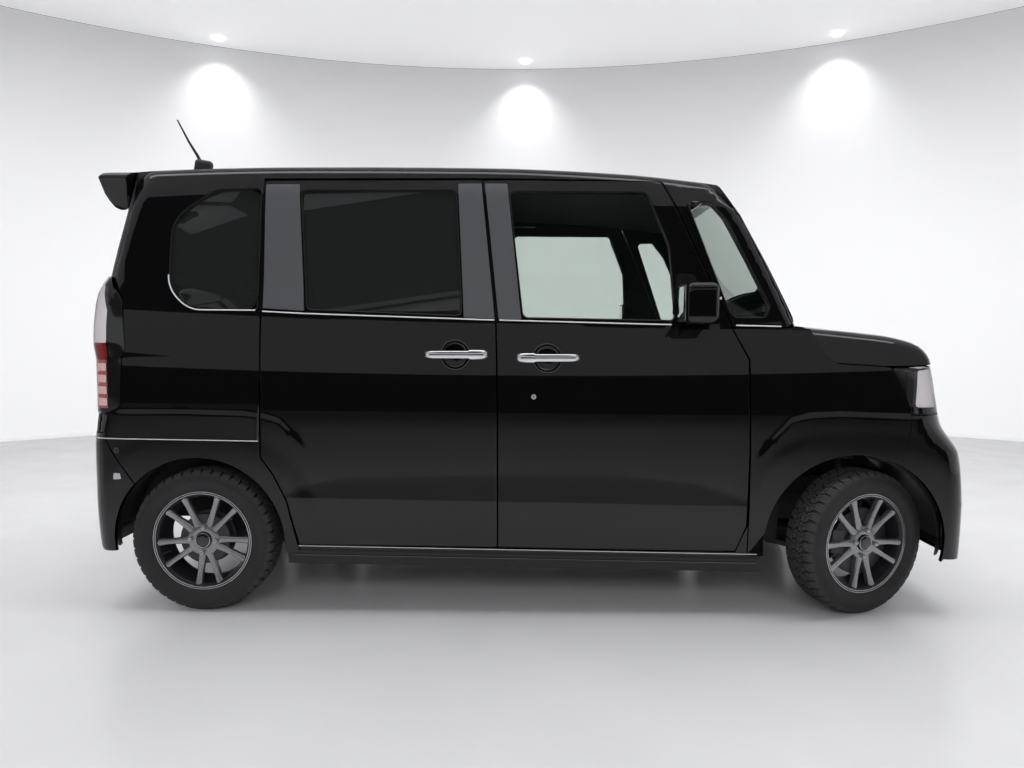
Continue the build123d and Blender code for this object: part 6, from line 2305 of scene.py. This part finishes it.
        pts = [(y, h) for y, h in z.screen if y > 0]
        half = [(0, 1126), *[(y - 3, h + (3 if h < 1200 else -3)) for y, h in pts], (0, 1680)]
        outer = rounded(half, (0, 30, 30, 20, 0))
        inner = rounded([(0, 1176), (592, 1168), (524, 1606), (180, 1648), (0, 1650)], (0, 34, 40, 20, 0))
        self.shop.skin("windshield_pane", outer, [], at, CLEAR_GLASS, "root", RIGHT, both=True, cell=(40.0, 40.0),
                       depth=4.0, roll=1.0, stands_for=["windshield"])

        def behind(y: Array, h: Array) -> Tuple[Array, Array, Array]:
            """A place just inside the windshield."""
            return form.front_x(y, h) - 6.0, y, h

        self.shop.skin("windshield_border", outer + list(reversed(inner)), [], behind, FRIT, "root",
                       RIGHT, both=True, cell=(40.0, 40.0), depth=1.0, roll=0.5)
        for k, (y0, reach, lean) in enumerate(self.size.wipers):
            ys = np.linspace(y0, y0 + reach, 12)
            hs = 1150 + lean * (ys - y0)
            xs = form.front_x(ys, hs)
            path = np.stack([xs + 9, ys, hs], 1)
            ups = np.array([self.size.wiper_up] * len(ys))
            self.shop.sweep(f"wiper_blade_{k}", path, ups, [(-4, -7), (-5.5, 0), (-2, 5), (2, 5), (5.5, 0), (1, -8)],
                            SEAL, "root")
            arm = np.array([(form.front_at(y0 - 30.0, 1130.0) + 22, y0 - 30, 1126),
                            (xs[3] + 24, ys[3], hs[3] + 4), (xs[6] + 14, ys[6], hs[6] + 2)])
            self.shop.sweep(f"wiper_arm_{k}", arm, np.array([self.size.wiper_up] * 3),
                            [(-6, -4), (-5, 4), (5, 4), (6, -4)], PLASTIC, "root")
        self.shop.block("inner_mirror", (740, 0, 1580), (26, 230, 62), 10, CABIN, "root", (0, 12, 0))
        self.shop.block("inner_mirror_glass", (726, 0, 1577), (2, 214, 50), 0.9, MIRROR, "root", (0, 12, 0))
        self.shop.block("inner_mirror_stem", (762, 0, 1606), (40, 16, 14), 4, CABIN, "root", (0, -38, 0))

    def _roof(self) -> None:
        """The aerial on its foot."""
        base, tip = Vector(self.size.aerial_base), Vector(self.size.aerial_tip)
        self.shop.block("aerial_foot", base + Vector((2, 0, 34)), (74, 36, 62), 15, PLASTIC, "root", (0, 10, 0))
        path = np.array([base + Vector((-4, 0, 46)), base.lerp(tip, 0.34) + Vector((12, 0, 6)),
                         base.lerp(tip, 0.6) + Vector((6, 0, 0)), tip])
        ring = [(math.cos(a), math.sin(a)) for a in np.linspace(0, 2 * math.pi, 13)[:-1]]
        bm = bmesh.new()
        Workshop.bar(bm, path, np.array([(0, 1.0, 0)] * 4), ring, taper=np.array([7.0, 6.2, 4.8, 3.0]))
        bmesh.ops.scale(bm, vec=(MM, MM, MM), verts=bm.verts)
        self.shop.piece("aerial_rod", bm, SEAL, "root")

    def _wing(self) -> None:
        """The roof spoiler: one section carried across the car, lowered with the roof's crown."""
        form, size = self.form, self.size
        half = size.wing_half
        ys = np.concatenate([[-half - 13, -half - 9], np.linspace(-half, half, 33), [half + 9, half + 13]])
        drop = form.drop(ys, form.ROOF_FLAT, form.ROOF_SAG)
        path = np.stack([np.full_like(ys, size.wing_x), ys, size.wing_z - drop * 0.9], 1)
        section = [(-z, x) for x, z in size.wing_section]
        taper = np.array([0.86, 0.97] + [1.0] * 33 + [0.97, 0.86])
        bm = bmesh.new()
        Workshop.bar(bm, path, np.array([(1.0, 0.0, 0.0)] * len(ys)), section, taper=taper)
        bmesh.ops.scale(bm, vec=(MM, MM, MM), verts=bm.verts)
        self.shop.piece("spoiler_wing", bm, PAINT, body_of(self.shop.nodes["spoiler"])[0], smooth=32.0,
                        stands_for=["spoiler"])

    def _tail(self) -> None:
        """What is fixed to the tailgate: glass border, wiper, stop lamp and handle bar."""
        form = self.form

        def at(y: Array, h: Array) -> Tuple[Array, Array, Array]:
            """A place just inside the tailgate's glass."""
            return form.rear_x(y, h) + 5.0, y, h

        outer = rounded([(0, 1166), (518, 1166), (479, 1559), (0, 1559)], (0, 36, 36, 0))
        inner = rounded([(0, 1196), (480, 1196), (448, 1530), (0, 1530)], (0, 44, 44, 0))
        self.shop.skin("gate_border", outer + list(reversed(inner)), [], at, FRIT, "tailgate", RIGHT, both=True,
                       cell=(40.0, 40.0), depth=1.0, roll=0.5)
        ys = np.linspace(-60, 300, 9)
        hs = 1196 + 0.05 * ys
        xs = form.rear_x(ys, hs)
        self.shop.sweep("rear_wiper", np.stack([xs - 10, ys, hs], 1), np.array([(-1.0, 0, 0)] * 9),
                        [(-5, -6), (-5, 2), (0, 5), (5, 2), (5, -6)], SEAL, "tailgate")
        x0 = form.rear_at(0.0, 1150.0)
        self.shop.block("rear_wiper_hub", (x0 - 9, -60, 1176), (22, 44, 44), 9, PLASTIC, "tailgate")
        self.shop.block("gate_handle", (form.rear_at(0.0, 925.0) - 6, 0, 921), (20, 420, 34), 7,
                        GLOSS_PLASTIC, "tailgate")
        self.shop.block("stop_lamp", (-1688, 0, 1716), (12, 260, 16), 3, LAMP_RED, "tailgate")
        for k, y in enumerate(self.size.rear_sensors):
            x = form.rear_at(y, 560.0)
            self.shop.block(f"rear_sensor_{k}", (x + 12, y, 400), (4, 19, 19), 1.8, SATIN, "root")
        for hand, side in ((RIGHT, "right"), (LEFT, "left")):
            self.shop.block(f"rear_reflector_{side}", (-1690.0, hand * 500, 300), (8, 150, 26), 3, LAMP_RED, "root")

    def _linings(self) -> None:
        """The body's inner faces, taken from the CAD solids whose outer faces the skins stand for."""
        for side in ("right", "left"):
            for label in ("front", "slide"):
                self.shop.copy_node(f"door_{label}_{side}", f"lining_door_{label}_{side}", CABIN, self._is_inner)
            self.shop.copy_node(f"body_side_{side}", f"lining_body_side_{side}", CABIN, self._is_inner)
        self.shop.copy_node("roof", "lining_roof", LINING,
                            lambda mid, nrm: (nrm[:, 2] < 0.2)
                            & (mid[:, 2] < self.form.roof_z(mid[:, 0], np.abs(mid[:, 1])) - self.AT_SURFACE))
        self.shop.copy_node("bonnet", "lining_bonnet", UNDER,
                            lambda mid, nrm: self.form.inside(mid[:, 0], mid[:, 1], mid[:, 2]) < -5.0)
        self.shop.copy_node("tailgate", "lining_tailgate", CABIN,
                            lambda mid, nrm: mid[:, 0] > self.form.rear_x(mid[:, 1], mid[:, 2]) + self.AT_SURFACE)
        for name in ("front_bumper", "rear_bumper"):
            sign = 1 if name.startswith("front") else -1
            self.shop.copy_node(name, f"lining_{name}", PLASTIC, self._bumper_inside(sign), strict=True)
        for side in ("right", "left"):
            self.shop.copy_node(f"fender_{side}", f"lining_fender_{side}", UNDER, self._is_inner)

    def _is_inner(self, mid: Array, nrm: Array) -> Array:
        """Which faces of a side's solid aren't its outer skin.

        Args:
            mid: centres of the faces, in millimetres.
            nrm: their normals.

        Returns:
            True for each such face.
        """
        depth = self.form.half(mid[:, 0], mid[:, 2]) - np.abs(mid[:, 1])
        outer = (nrm[:, 1] * np.sign(mid[:, 1]) > 0.35) & (depth < self.OUTER_SKIN)
        return ~outer & (depth > self.AT_SURFACE)

    def _bumper_inside(self, sign: int) -> Callable[[Array, Array], Array]:
        """A test for a bumper's inner faces.

        Args:
            sign: 1 for the front bumper, -1 for the rear.

        Returns:
            The test.
        """
        form = self.form

        def keep(mid: Array, _: Array) -> Array:
            """Which faces lie well under the surface.

            Args:
                mid: centres of the faces, in millimetres.
                _: their normals, not needed here.

            Returns:
                True for each face that stays.
            """
            x, y, z = mid[:, 0], np.abs(mid[:, 1]), mid[:, 2]
            level = z + form.fall(z) * x
            end = form.HALF_L - form.mix("front" if sign > 0 else "rear", level, np.zeros(len(z), bool))
            r = form.mix("r_front" if sign > 0 else "r_rear", level, np.zeros(len(z), bool))
            bow = form.mix("bow_front" if sign > 0 else "bow_rear", level, np.zeros(len(z), bool))
            hw = form.side(x, z)
            qx = sign * x - (end - bow * np.minimum(y / (hw - r), 1) ** 2) + r
            qy = y - hw + r
            plan = np.hypot(np.maximum(qx, 0), np.maximum(qy, 0)) + np.minimum(np.maximum(qx, qy), 0) - r
            return (plan < -7.0) & (z > (215 if sign > 0 else 242))

        return keep


# ------------------------------------------------------------------ cabin
@dataclass(frozen=True)
class CabinSizes:
    """Seats and steering wheel, in millimetres and degrees, as in the frame."""

    recline: float = -14.0
    seats: Tuple[Tuple[str, float, float, float, float, float], ...] = (
        # name, y from, y to, heel x, base z, headrest top
        ("front", 95.0, 565.0, 30.0, 328.0, 1330.0), ("rear", 10.0, 600.0, -960.0, 470.0, 1440.0))
    wheel_centre: Tuple[float, float, float] = (610.0, -350.0, 985.0)
    rake: float = 62.0
    wheel_r: float = 178.0
    grip_r: float = 15.0
    spokes: Tuple[float, ...] = (0.0, 180.0, 270.0)
    vents: Tuple[float, ...] = (-560, -170, 170, 560)


class Cabin:
    """Padded seats, steering wheel, dashboard fittings.

    Args:
        shop: where its pieces are made.
        size: its sizes.
    """

    def __init__(self, shop: Workshop, size: CabinSizes = CabinSizes()) -> None:
        self.shop, self.size = shop, size

    def build(self) -> None:
        """Builds the seats and what the driver handles."""
        for name, y0, y1, heel, base, top in self.size.seats:
            for hand, side in ((RIGHT, "right"), (LEFT, "left")):
                self._seat(f"{name}_{side}", name, hand, side, y0, y1, heel, base, top)
        self._steering()
        self._dash()

    def _pad(self, name: str, box: Sequence[float], finish: Finish, pivot: Optional[Tuple[float, float]], wings: float,
             wing_axis: str, round_by: float, stands_for: Sequence[str] = (), rows: int = 3) -> None:
        """A foam pad with bolsters and sewn channels.

        Args:
            name: the piece's name.
            box: x, y and z from and to.
            finish: its finish.
            pivot: x and z of the hinge it leans about, or None.
            wings: height of the bolsters.
            wing_axis: "up" for a cushion, "fore" for a back.
            round_by: radius of its edges.
            stands_for: the CAD nodes it is shown instead of.
            rows: how many channels run across it.
        """
        x0, x1, y0, y1, z0, z1 = box
        bm = bmesh.new()
        bmesh.ops.create_cube(bm, size=1.0)
        bmesh.ops.scale(bm, vec=(x1 - x0, y1 - y0, z1 - z0), verts=bm.verts)
        bmesh.ops.bevel(bm, geom=bm.edges[:], offset=round_by, segments=3, profile=0.5, affect="EDGES", material=-1)
        long_axis = 0 if wing_axis == "up" else 2
        spans = (x1 - x0, y1 - y0, z1 - z0)
        for axis, count in ((0, 7), (1, 13), (2, 9)):
            for k in range(1, count):
                place = [0.0, 0.0, 0.0]
                place[axis] = spans[axis] * (k / count - 0.5)
                normal = [float(q == axis) for q in range(3)]
                bmesh.ops.bisect_plane(bm, geom=bm.verts[:] + bm.edges[:] + bm.faces[:], dist=0.01, plane_co=place,
                                       plane_no=normal)
        half_y = (y1 - y0) / 2
        for v in bm.verts:
            front = v.co.z if wing_axis == "up" else v.co.x
            span = (z1 - z0) / 2 if wing_axis == "up" else (x1 - x0) / 2
            if front > span * 0.2:
                along = v.co[long_axis] / spans[long_axis]
                share = abs(v.co.y) / half_y
                lift = wings * (min(max((share - 0.55) / 0.25, 0), 1) - min(max((share - 0.86) / 0.14, 0), 1) * 0.4)
                channel = -5.0 * math.exp(-((share - 0.56) / 0.05) ** 2)
                if share < 0.56:
                    channel += -4.0 * (0.5 + 0.5 * math.cos(2 * math.pi * (along + 0.5) * rows)) ** 6
                move = (lift - wings * 0.45 + channel) * min((front - span * 0.2) / (span * 0.5), 1)
                if wing_axis == "up":
                    v.co.z += move
                else:
                    v.co.x += move
        place = Matrix.Translation(((x0 + x1) / 2, (y0 + y1) / 2, (z0 + z1) / 2))
        if pivot:
            turn = Matrix.Rotation(math.radians(self.size.recline), 4, "Y")
            around = Matrix.Translation((pivot[0], 0, pivot[1]))
            place = around @ turn @ around.inverted() @ place
        bmesh.ops.transform(bm, matrix=Matrix.Scale(MM, 4) @ place, verts=bm.verts)
        obj = self.shop.piece(name, bm, finish, "root", smooth=80.0, stands_for=stands_for)
        sub = obj.modifiers.new("soft", "SUBSURF")
        sub.levels = sub.render_levels = 1

    def _seat(self, tag: str, row: str, hand: int, side: str, y0: float, y1: float, heel: float, base: float,
              top: float) -> None:
        """One seat: cushion, back, head rest with its posts, base and hinge.

        Args:
            tag: row and side, for the names.
            row: "front" or "rear".
            hand: RIGHT or LEFT.
            side: the same as a word, for the names.
            y0: its inner side's distance from the centre plane.
            y1: its outer side's.
            heel: x of the hinge.
            base: height of the floor under it.
            top: height of the head rest.
        """
        ys = sorted((hand * y0, hand * y1))
        mid = sum(ys) / 2
        stands = (f"seats_{row}",) if side == "right" else ()
        pivot = (heel, base + 210)
        self._pad(f"seat_cushion_{tag}", (heel, heel + 470, ys[0], ys[1], base + 150, base + 300), CLOTH, None, 16.0,
                  "up", 34.0, stands)
        self._pad(f"seat_back_{tag}", (heel - 100, heel - 1, ys[0], ys[1], base + 210, base + 800), CLOTH, pivot, 22.0,
                  "fore", 30.0, (), 5)
        self._pad(f"head_rest_{tag}", (heel - 88, heel - 18, mid - 125, mid + 125, base + 801 + 16, top), CLOTH, pivot,
                  4.0, "fore", 26.0, (), 1)
        around = Matrix.Translation((pivot[0], 0, pivot[1]))
        turn = around @ Matrix.Rotation(math.radians(self.size.recline), 4, "Y") @ around.inverted()
        for k, dy in enumerate((-60, 60)):
            foot, head = (turn @ Vector((heel - 52, mid + dy, base + up)) for up in (780, 840))
            ring = [(6 * math.cos(a), 6 * math.sin(a)) for a in np.linspace(0, 2 * math.pi, 11)[:-1]]
            self.shop.sweep(f"rest_post_{k}_{tag}", np.array([foot, head]), np.array([(0, 1.0, 0)] * 2), ring, CHROME,
                            "root")
        self.shop.block(f"seat_base_{tag}", (heel + 230, mid, base + 76), (400, ys[1] - ys[0] - 60, 146), 12, CABIN,
                        "root")
        hinge_y = ys[0] + 12 if hand > 0 else ys[1] - 12
        self.shop.block(f"seat_hinge_{tag}", (heel - 10, hinge_y, base + 225), (110, 22, 90), 10, CABIN, "root")

    def _steering(self) -> None:
        """The steering wheel: rim, three spokes and hub."""
        s = self.size
        rake = math.radians(s.rake)
        frame = Matrix.Translation(s.wheel_centre) @ Matrix.Rotation(-rake, 4, "Y")
        n = 72
        ring = [(s.grip_r * math.cos(a), s.grip_r * math.sin(a)) for a in np.linspace(0, 2 * math.pi, 17)[:-1]]
        rim = np.array([(s.wheel_r * math.cos(2 * math.pi * k / n), s.wheel_r * math.sin(2 * math.pi * k / n), 0)
                        for k in range(n)])
        bm = bmesh.new()
        Workshop.bar(bm, rim, np.array([(0, 0, 1.0)] * n), ring, closed=True)
        bmesh.ops.transform(bm, matrix=Matrix.Scale(MM, 4) @ frame, verts=bm.verts)
        self.shop.piece("steering_rim", bm, CABIN, "steering_wheel", smooth=60, stands_for=["steering_wheel"])
        for k, angle in enumerate(s.spokes):
            a = math.radians(angle)
            path = np.array([(r * math.cos(a), r * math.sin(a), h) for r, h in
                             ((30, 6), (80, 0), (130, -5), (s.wheel_r - 8, -3))])
            bm = bmesh.new()
            Workshop.bar(bm, path, np.array([(0, 0, 1.0)] * 4), [(-19, -6), (-17, 4), (0, 7), (17, 4), (19, -6)])
            bmesh.ops.transform(bm, matrix=Matrix.Scale(MM, 4) @ frame, verts=bm.verts)
            self.shop.piece(f"steering_spoke_{k}", bm, GLOSS_PLASTIC if k == 2 else CABIN, "steering_wheel")
        bm = bmesh.new()
        bmesh.ops.create_cube(bm, size=1.0)
        bmesh.ops.scale(bm, vec=(118, 132, 34), verts=bm.verts)
        bmesh.ops.bevel(bm, geom=bm.edges[:], offset=15, segments=4, profile=0.5, affect="EDGES", material=-1)
        bmesh.ops.transform(bm, matrix=Matrix.Scale(MM, 4) @ frame, verts=bm.verts)
        self.shop.piece("steering_hub", bm, CABIN, "steering_wheel")

    def _dash(self) -> None:
        """Instruments, screen, vents, lever and glove lid."""
        shop = self.shop
        shop.block("instrument_hood", (742, -350, 1086), (150, 330, 66), 24, CABIN, "root", (0, 8, 0))
        shop.block("instrument_glass", (668, -350, 1084), (4, 280, 44), 1.8, FRIT, "root", (0, 14, 0))
        shop.block("centre_screen", (690, 0, 1000), (14, 240, 140), 5, FRIT, "root", (0, 10, 0))
        shop.block("heater_panel", (690, 0, 880), (14, 230, 84), 5, GLOSS_PLASTIC, "root")
        for k, y in enumerate(self.size.vents):
            shop.block(f"vent_{k}", (692, y, 1008), (14, 104, 60), 5, PLASTIC, "root")
            for j in range(4):
                shop.block(f"vent_{k}_vane_{j}", (684, y, 988 + 13 * j), (6, 92, 2.5), 0.8, CABIN, "root")
        shop.block("gear_lever", (672, -150, 900), (70, 26, 26), 11, GLOSS_PLASTIC, "root", (0, -28, 0))
        shop.block("glove_lid", (694, 380, 900), (8, 420, 130), 3, CABIN, "root")


# ------------------------------------------------------------------ the room
@dataclass(frozen=True)
class StudioSizes:
    """The room and the camera, in metres and degrees."""

    eye: Tuple[float, float, float] = (-0.009, -3.393, 1.070)
    yaw: float = -0.99
    pitch: float = 3.86
    lens: float = 24.86
    wall_r: float = 8.55
    wall_centre: Tuple[float, float] = (0.0, -3.06)
    wall_h: float = 4.33
    spots: Tuple[float, ...] = (-23.9, 0.0, 23.9)
    card_r: float = 8.4
    card_glow: float = 0.42
    card_bands: Tuple[Point2, ...] = ((1.75, 4.25),)
    sky_watts: float = 380.0
    line_watts: float = 45.0
    fill_watts: float = 260.0
    spot_watts: float = 26.0
    spot_angle: float = 112.0
    spot_glow: float = 6.0
    world_light: float = 0.42
    world_gloss: float = 0.012                      # the world's strength where the gloss shows it


class Studio:
    """A pale curved room with ceiling spots, and the camera.

    Args:
        palette: where finishes come from.
        size: its sizes.
    """

    def __init__(self, palette: Palette, size: StudioSizes = StudioSizes()) -> None:
        self.palette, self.size = palette, size

    def _material(self, name: str, color: Tuple[float, float, float], rough: float, spec: float = 0.5,
                  speckle: float = 0.0, seen: float = 0.0) -> bpy.types.Material:
        """A plain material of the room.

        Args:
            name: the material's name.
            color: its colour.
            rough: its roughness.
            spec: its specular level.
            speckle: how much the colour varies, from 0 to 1.
            seen: strength of the white that only the camera sees.

        Returns:
            The material.
        """
        mat, tree, out, coords = self.palette.start(name)
        bsdf = tree.nodes.new("ShaderNodeBsdfPrincipled")
        bsdf.inputs["Roughness"].default_value = rough
        bsdf.inputs["Specular IOR Level"].default_value = spec
        bsdf.inputs["Base Color"].default_value = (*color, 1)
        if speckle:
            noise = self.palette.noise(tree, coords, 1.6, 6.0)
            ramp = tree.nodes.new("ShaderNodeMix")
            ramp.data_type = "RGBA"
            ramp.inputs["A"].default_value = (*[c * (1 - speckle) for c in color], 1)
            ramp.inputs["B"].default_value = (*[min(c * (1 + speckle), 1) for c in color], 1)
            tree.links.new(noise.outputs["Fac"], ramp.inputs["Factor"])
            tree.links.new(ramp.outputs["Result"], bsdf.inputs["Base Color"])
            blotch = self.palette.noise(tree, coords, 3.0, 5.0)
            vary = tree.nodes.new("ShaderNodeMapRange")
            vary.inputs["To Min"].default_value = rough - 0.07
            vary.inputs["To Max"].default_value = rough + 0.09
            tree.links.new(blotch.outputs["Fac"], vary.inputs["Value"])
            tree.links.new(vary.outputs["Result"], bsdf.inputs["Roughness"])
        if seen:
            ray = tree.nodes.new("ShaderNodeLightPath")
            level = tree.nodes.new("ShaderNodeMapRange")
            level.inputs["To Max"].default_value = seen
            bsdf.inputs["Emission Color"].default_value = (1, 1, 1, 1)
            tree.links.new(ray.outputs["Is Camera Ray"], level.inputs["Value"])
            tree.links.new(level.outputs["Result"], bsdf.inputs["Emission Strength"])
        tree.links.new(bsdf.outputs[0], out.inputs["Surface"])
        return mat

    def _add(self, name: str, bm: bmesh.types.BMesh, mat: bpy.types.Material,
             smooth: bool = False) -> bpy.types.Object:
        """Makes a piece of the room.

        Args:
            name: the piece's name.
            bm: its mesh in metres, freed here.
            mat: its material.
            smooth: whether it is shaded smooth.

        Returns:
            The object.
        """
        mesh = bpy.data.meshes.new(name)
        bm.to_mesh(mesh)
        bm.free()
        if smooth:
            mesh.shade_smooth()
        mesh.materials.append(mat)
        obj = bpy.data.objects.new(name, mesh)
        bpy.context.scene.collection.objects.link(obj)
        return obj

    def build(self) -> None:
        """Builds floor, wall, ceiling, lights and camera."""
        s = self.size
        bm = bmesh.new()
        bmesh.ops.create_grid(bm, x_segments=1, y_segments=1, size=14.0)
        self._add("floor", bm, self._material("floor_concrete", (0.49, 0.49, 0.50), 0.22, 0.38, 0.08))
        bm = bmesh.new()
        steps = 96
        cx, cy = s.wall_centre
        ring = []
        for k in range(steps + 1):
            a = math.radians(-8 + 196 * k / steps)
            ring.append((cx + s.wall_r * math.cos(a), cy + s.wall_r * math.sin(a)))
        rows = (0.0, 0.08, 0.081, s.wall_h)
        outs = (0.0, 0.0, 0.015, 0.015)
        verts = [[bm.verts.new((x * (1 + o / s.wall_r), cy + (y - cy) * (1 + o / s.wall_r), h)) for x, y in ring]
                 for h, o in zip(rows, outs)]
        for j in range(len(rows) - 1):
            for i in range(steps):
                bm.faces.new((verts[j][i], verts[j + 1][i], verts[j + 1][i + 1], verts[j][i + 1]))
        self._add("wall", bm, self._material("wall_paint", (0.80, 0.80, 0.81), 0.85, seen=0.07), True)
        bm = bmesh.new()
        lid = [bm.verts.new((x, y, s.wall_h)) for x, y in ring]
        bm.faces.new(lid)
        self._add("ceiling", bm, self._material("ceiling_paint", (0.86, 0.86, 0.87), 0.9, seen=0.23))
        self._card()
        self._lights()
        self._camera()

    def _card(self) -> None:
        """A pale band of wall behind the camera, which only the gloss shows."""
        s = self.size
        mat, tree, out, _ = self.palette.start("card_glow")
        glow = tree.nodes.new("ShaderNodeEmission")
        glow.inputs["Strength"].default_value = s.card_glow
        tree.links.new(glow.outputs[0], out.inputs["Surface"])
        bm = bmesh.new()
        for z0, z1 in s.card_bands:
            steps, rows = 48, []
            for k in range(steps + 1):
                a = math.radians(180 + 180 * k / steps)
                x, y = s.card_r * math.cos(a), s.wall_centre[1] + 2.4 + s.card_r * math.sin(a)
                rows.append((bm.verts.new((x, y, z0)), bm.verts.new((x, y, z1))))
            for (a0, b0), (a1, b1) in zip(rows, rows[1:]):
                bm.faces.new((a0, a1, b1, b0))
        card = self._add("card", bm, mat, True)
        card.visible_camera = card.visible_diffuse = card.visible_shadow = False

    def _lights(self) -> None:
        """Ceiling lights, a soft fill and the world's light."""

        def area(name: str, spot: Point3, aim: Point3, size: Point2, watts: float) -> bpy.types.Object:
            """An area light aimed at a point.

            Args:
                name: the light's name.
                spot: where it hangs.
                aim: what it points at.
                size: its two lengths in metres.
                watts: its power.

            Returns:
                The light.
            """
            data = bpy.data.lights.new(name, "AREA")
            data.shape, data.size, data.size_y, data.energy = "RECTANGLE", size[0], size[1], watts
            obj = bpy.data.objects.new(name, data)
            obj.location = spot
            obj.rotation_euler = (Vector(aim) - Vector(spot)).to_track_quat("-Z", "Y").to_euler()
            bpy.context.scene.collection.objects.link(obj)
            obj.visible_camera = False
            return obj

        s = self.size
        sky = area("sky_panel", (0, 0.4, s.wall_h - 0.15), (0, 0.4, 0), (8.5, 3.4), s.sky_watts)
        sky.visible_glossy = False
        area("line_light", (0, -0.9, s.wall_h - 0.2), (0, -0.6, 0), (7.5, 0.7), s.line_watts)
        fill = area("front_fill", (0.0, -7.5, 3.9), (0, 0.5, 0.3), (8.0, 2.0), s.fill_watts)
        fill.visible_glossy = False
        cx, cy = s.wall_centre
        for k, degrees in enumerate(s.spots):
            a = math.radians(90 - degrees)
            spot = Vector((cx + (s.wall_r - 0.26) * math.cos(a), cy + (s.wall_r - 0.26) * math.sin(a), s.wall_h - 0.04))
            foot = Vector((cx + (s.wall_r + 0.35) * math.cos(a), cy + (s.wall_r + 0.35) * math.sin(a), 1.4))
            data = bpy.data.lights.new(f"spot_{k}", "SPOT")
            data.energy, data.spot_size = s.spot_watts, math.radians(s.spot_angle)
            data.spot_blend, data.shadow_soft_size = 1.0, 0.05
            obj = bpy.data.objects.new(f"spot_{k}", data)
            obj.location = spot
            obj.rotation_euler = (foot - spot).to_track_quat("-Z", "Y").to_euler()
            bpy.context.scene.collection.objects.link(obj)
            bm = bmesh.new()
            bmesh.ops.create_circle(bm, cap_ends=True, segments=32, radius=0.052)
            bmesh.ops.translate(bm, vec=spot + Vector((0, 0, 0.02)), verts=bm.verts)
            self._add(f"spot_disc_{k}", bm, self._lamp_material())
        world = bpy.data.worlds.new("world")
        bpy.context.scene.world = world
        world.use_nodes = True
        tree = world.node_tree
        back = tree.nodes["Background"]
        back.inputs[0].default_value = (0.80, 0.81, 0.83, 1)
        ray = tree.nodes.new("ShaderNodeLightPath")
        level = tree.nodes.new("ShaderNodeMapRange")
        level.inputs["To Min"].default_value = s.world_light
        level.inputs["To Max"].default_value = s.world_gloss
        tree.links.new(ray.outputs["Is Glossy Ray"], level.inputs["Value"])
        tree.links.new(level.outputs["Result"], back.inputs[1])

    def _lamp_material(self) -> bpy.types.Material:
        """The glow of a ceiling spot.

        Returns:
            The material.
        """
        mat, tree, out, _ = self.palette.start("spot_lamp")
        glow = tree.nodes.new("ShaderNodeEmission")
        glow.inputs["Strength"].default_value = self.size.spot_glow
        tree.links.new(glow.outputs[0], out.inputs["Surface"])
        return mat

    def _camera(self) -> None:
        """The camera and its colour handling."""
        s = self.size
        data = bpy.data.cameras.new("camera")
        data.lens, data.sensor_width = s.lens, 36.0
        cam = bpy.data.objects.new("camera", data)
        cam.location = s.eye
        cam.rotation_euler = (math.radians(90 - s.pitch), 0, math.radians(-s.yaw))
        bpy.context.scene.collection.objects.link(cam)
        bpy.context.scene.camera = cam
        scene = bpy.context.scene
        scene.view_settings.view_transform = "Standard"


NODE_FINISH: Dict[str, Finish] = {     # for the CAD nodes that stay shown, by the start of their names
    "tyre": RUBBER, "rim": GUNMETAL, "knuckle": CAST, "front_suspension": CAST, "rear_axle": CAST,
    "powertrain": CAST, "fuel_tank": UNDER, "exhaust": EXHAUST, "floor_pan": UNDER, "front_frame": UNDER,
    "load_floor": UNDER, "arch_liners": PLASTIC,
    "seats": CLOTH, "dashboard": CABIN, "steering_wheel": CABIN, "glass_side": DARK_GLASS,
    "glass_tailgate": DARK_GLASS, "glass_front": CLEAR_GLASS, "windshield": CLEAR_GLASS, "cowl": PLASTIC,
    "grille": GLOSS_PLASTIC, "headlamps": REFLECTOR, "tail_lamps": LAMP_RED, "side_skirts": PAINT,
    "spoiler": PAINT, "mirror": PAINT, "door": PAINT, "body_side": PAINT, "roof": PAINT, "bonnet": PAINT,
    "fender": PAINT, "front_bumper": PAINT, "rear_bumper": PAINT, "tailgate": PAINT, "fuel_lid": PAINT,
}


def main() -> None:
    """Builds the car's looks and the room."""
    logging.basicConfig(level=logging.INFO, format="%(message)s")
    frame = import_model()
    palette = Palette()
    shop = Workshop(palette, frame["nodes"])
    form = BodyForm()
    for name in frame["nodes"]:
        for start, finish in NODE_FINISH.items():
            if name.startswith(start):
                shop.paint_node(name, finish)
    shell = Shell(shop, form)
    shell.build()
    log.info("painted panels done")
    Wheels(shop).build()
    SideTrim(shop, shell).build()
    Ends(shop, shell).build()
    Cabin(shop).build()
    log.info("trim, wheels and cabin done")
    Studio(palette).build()


if __name__ == "__main__":
    main()
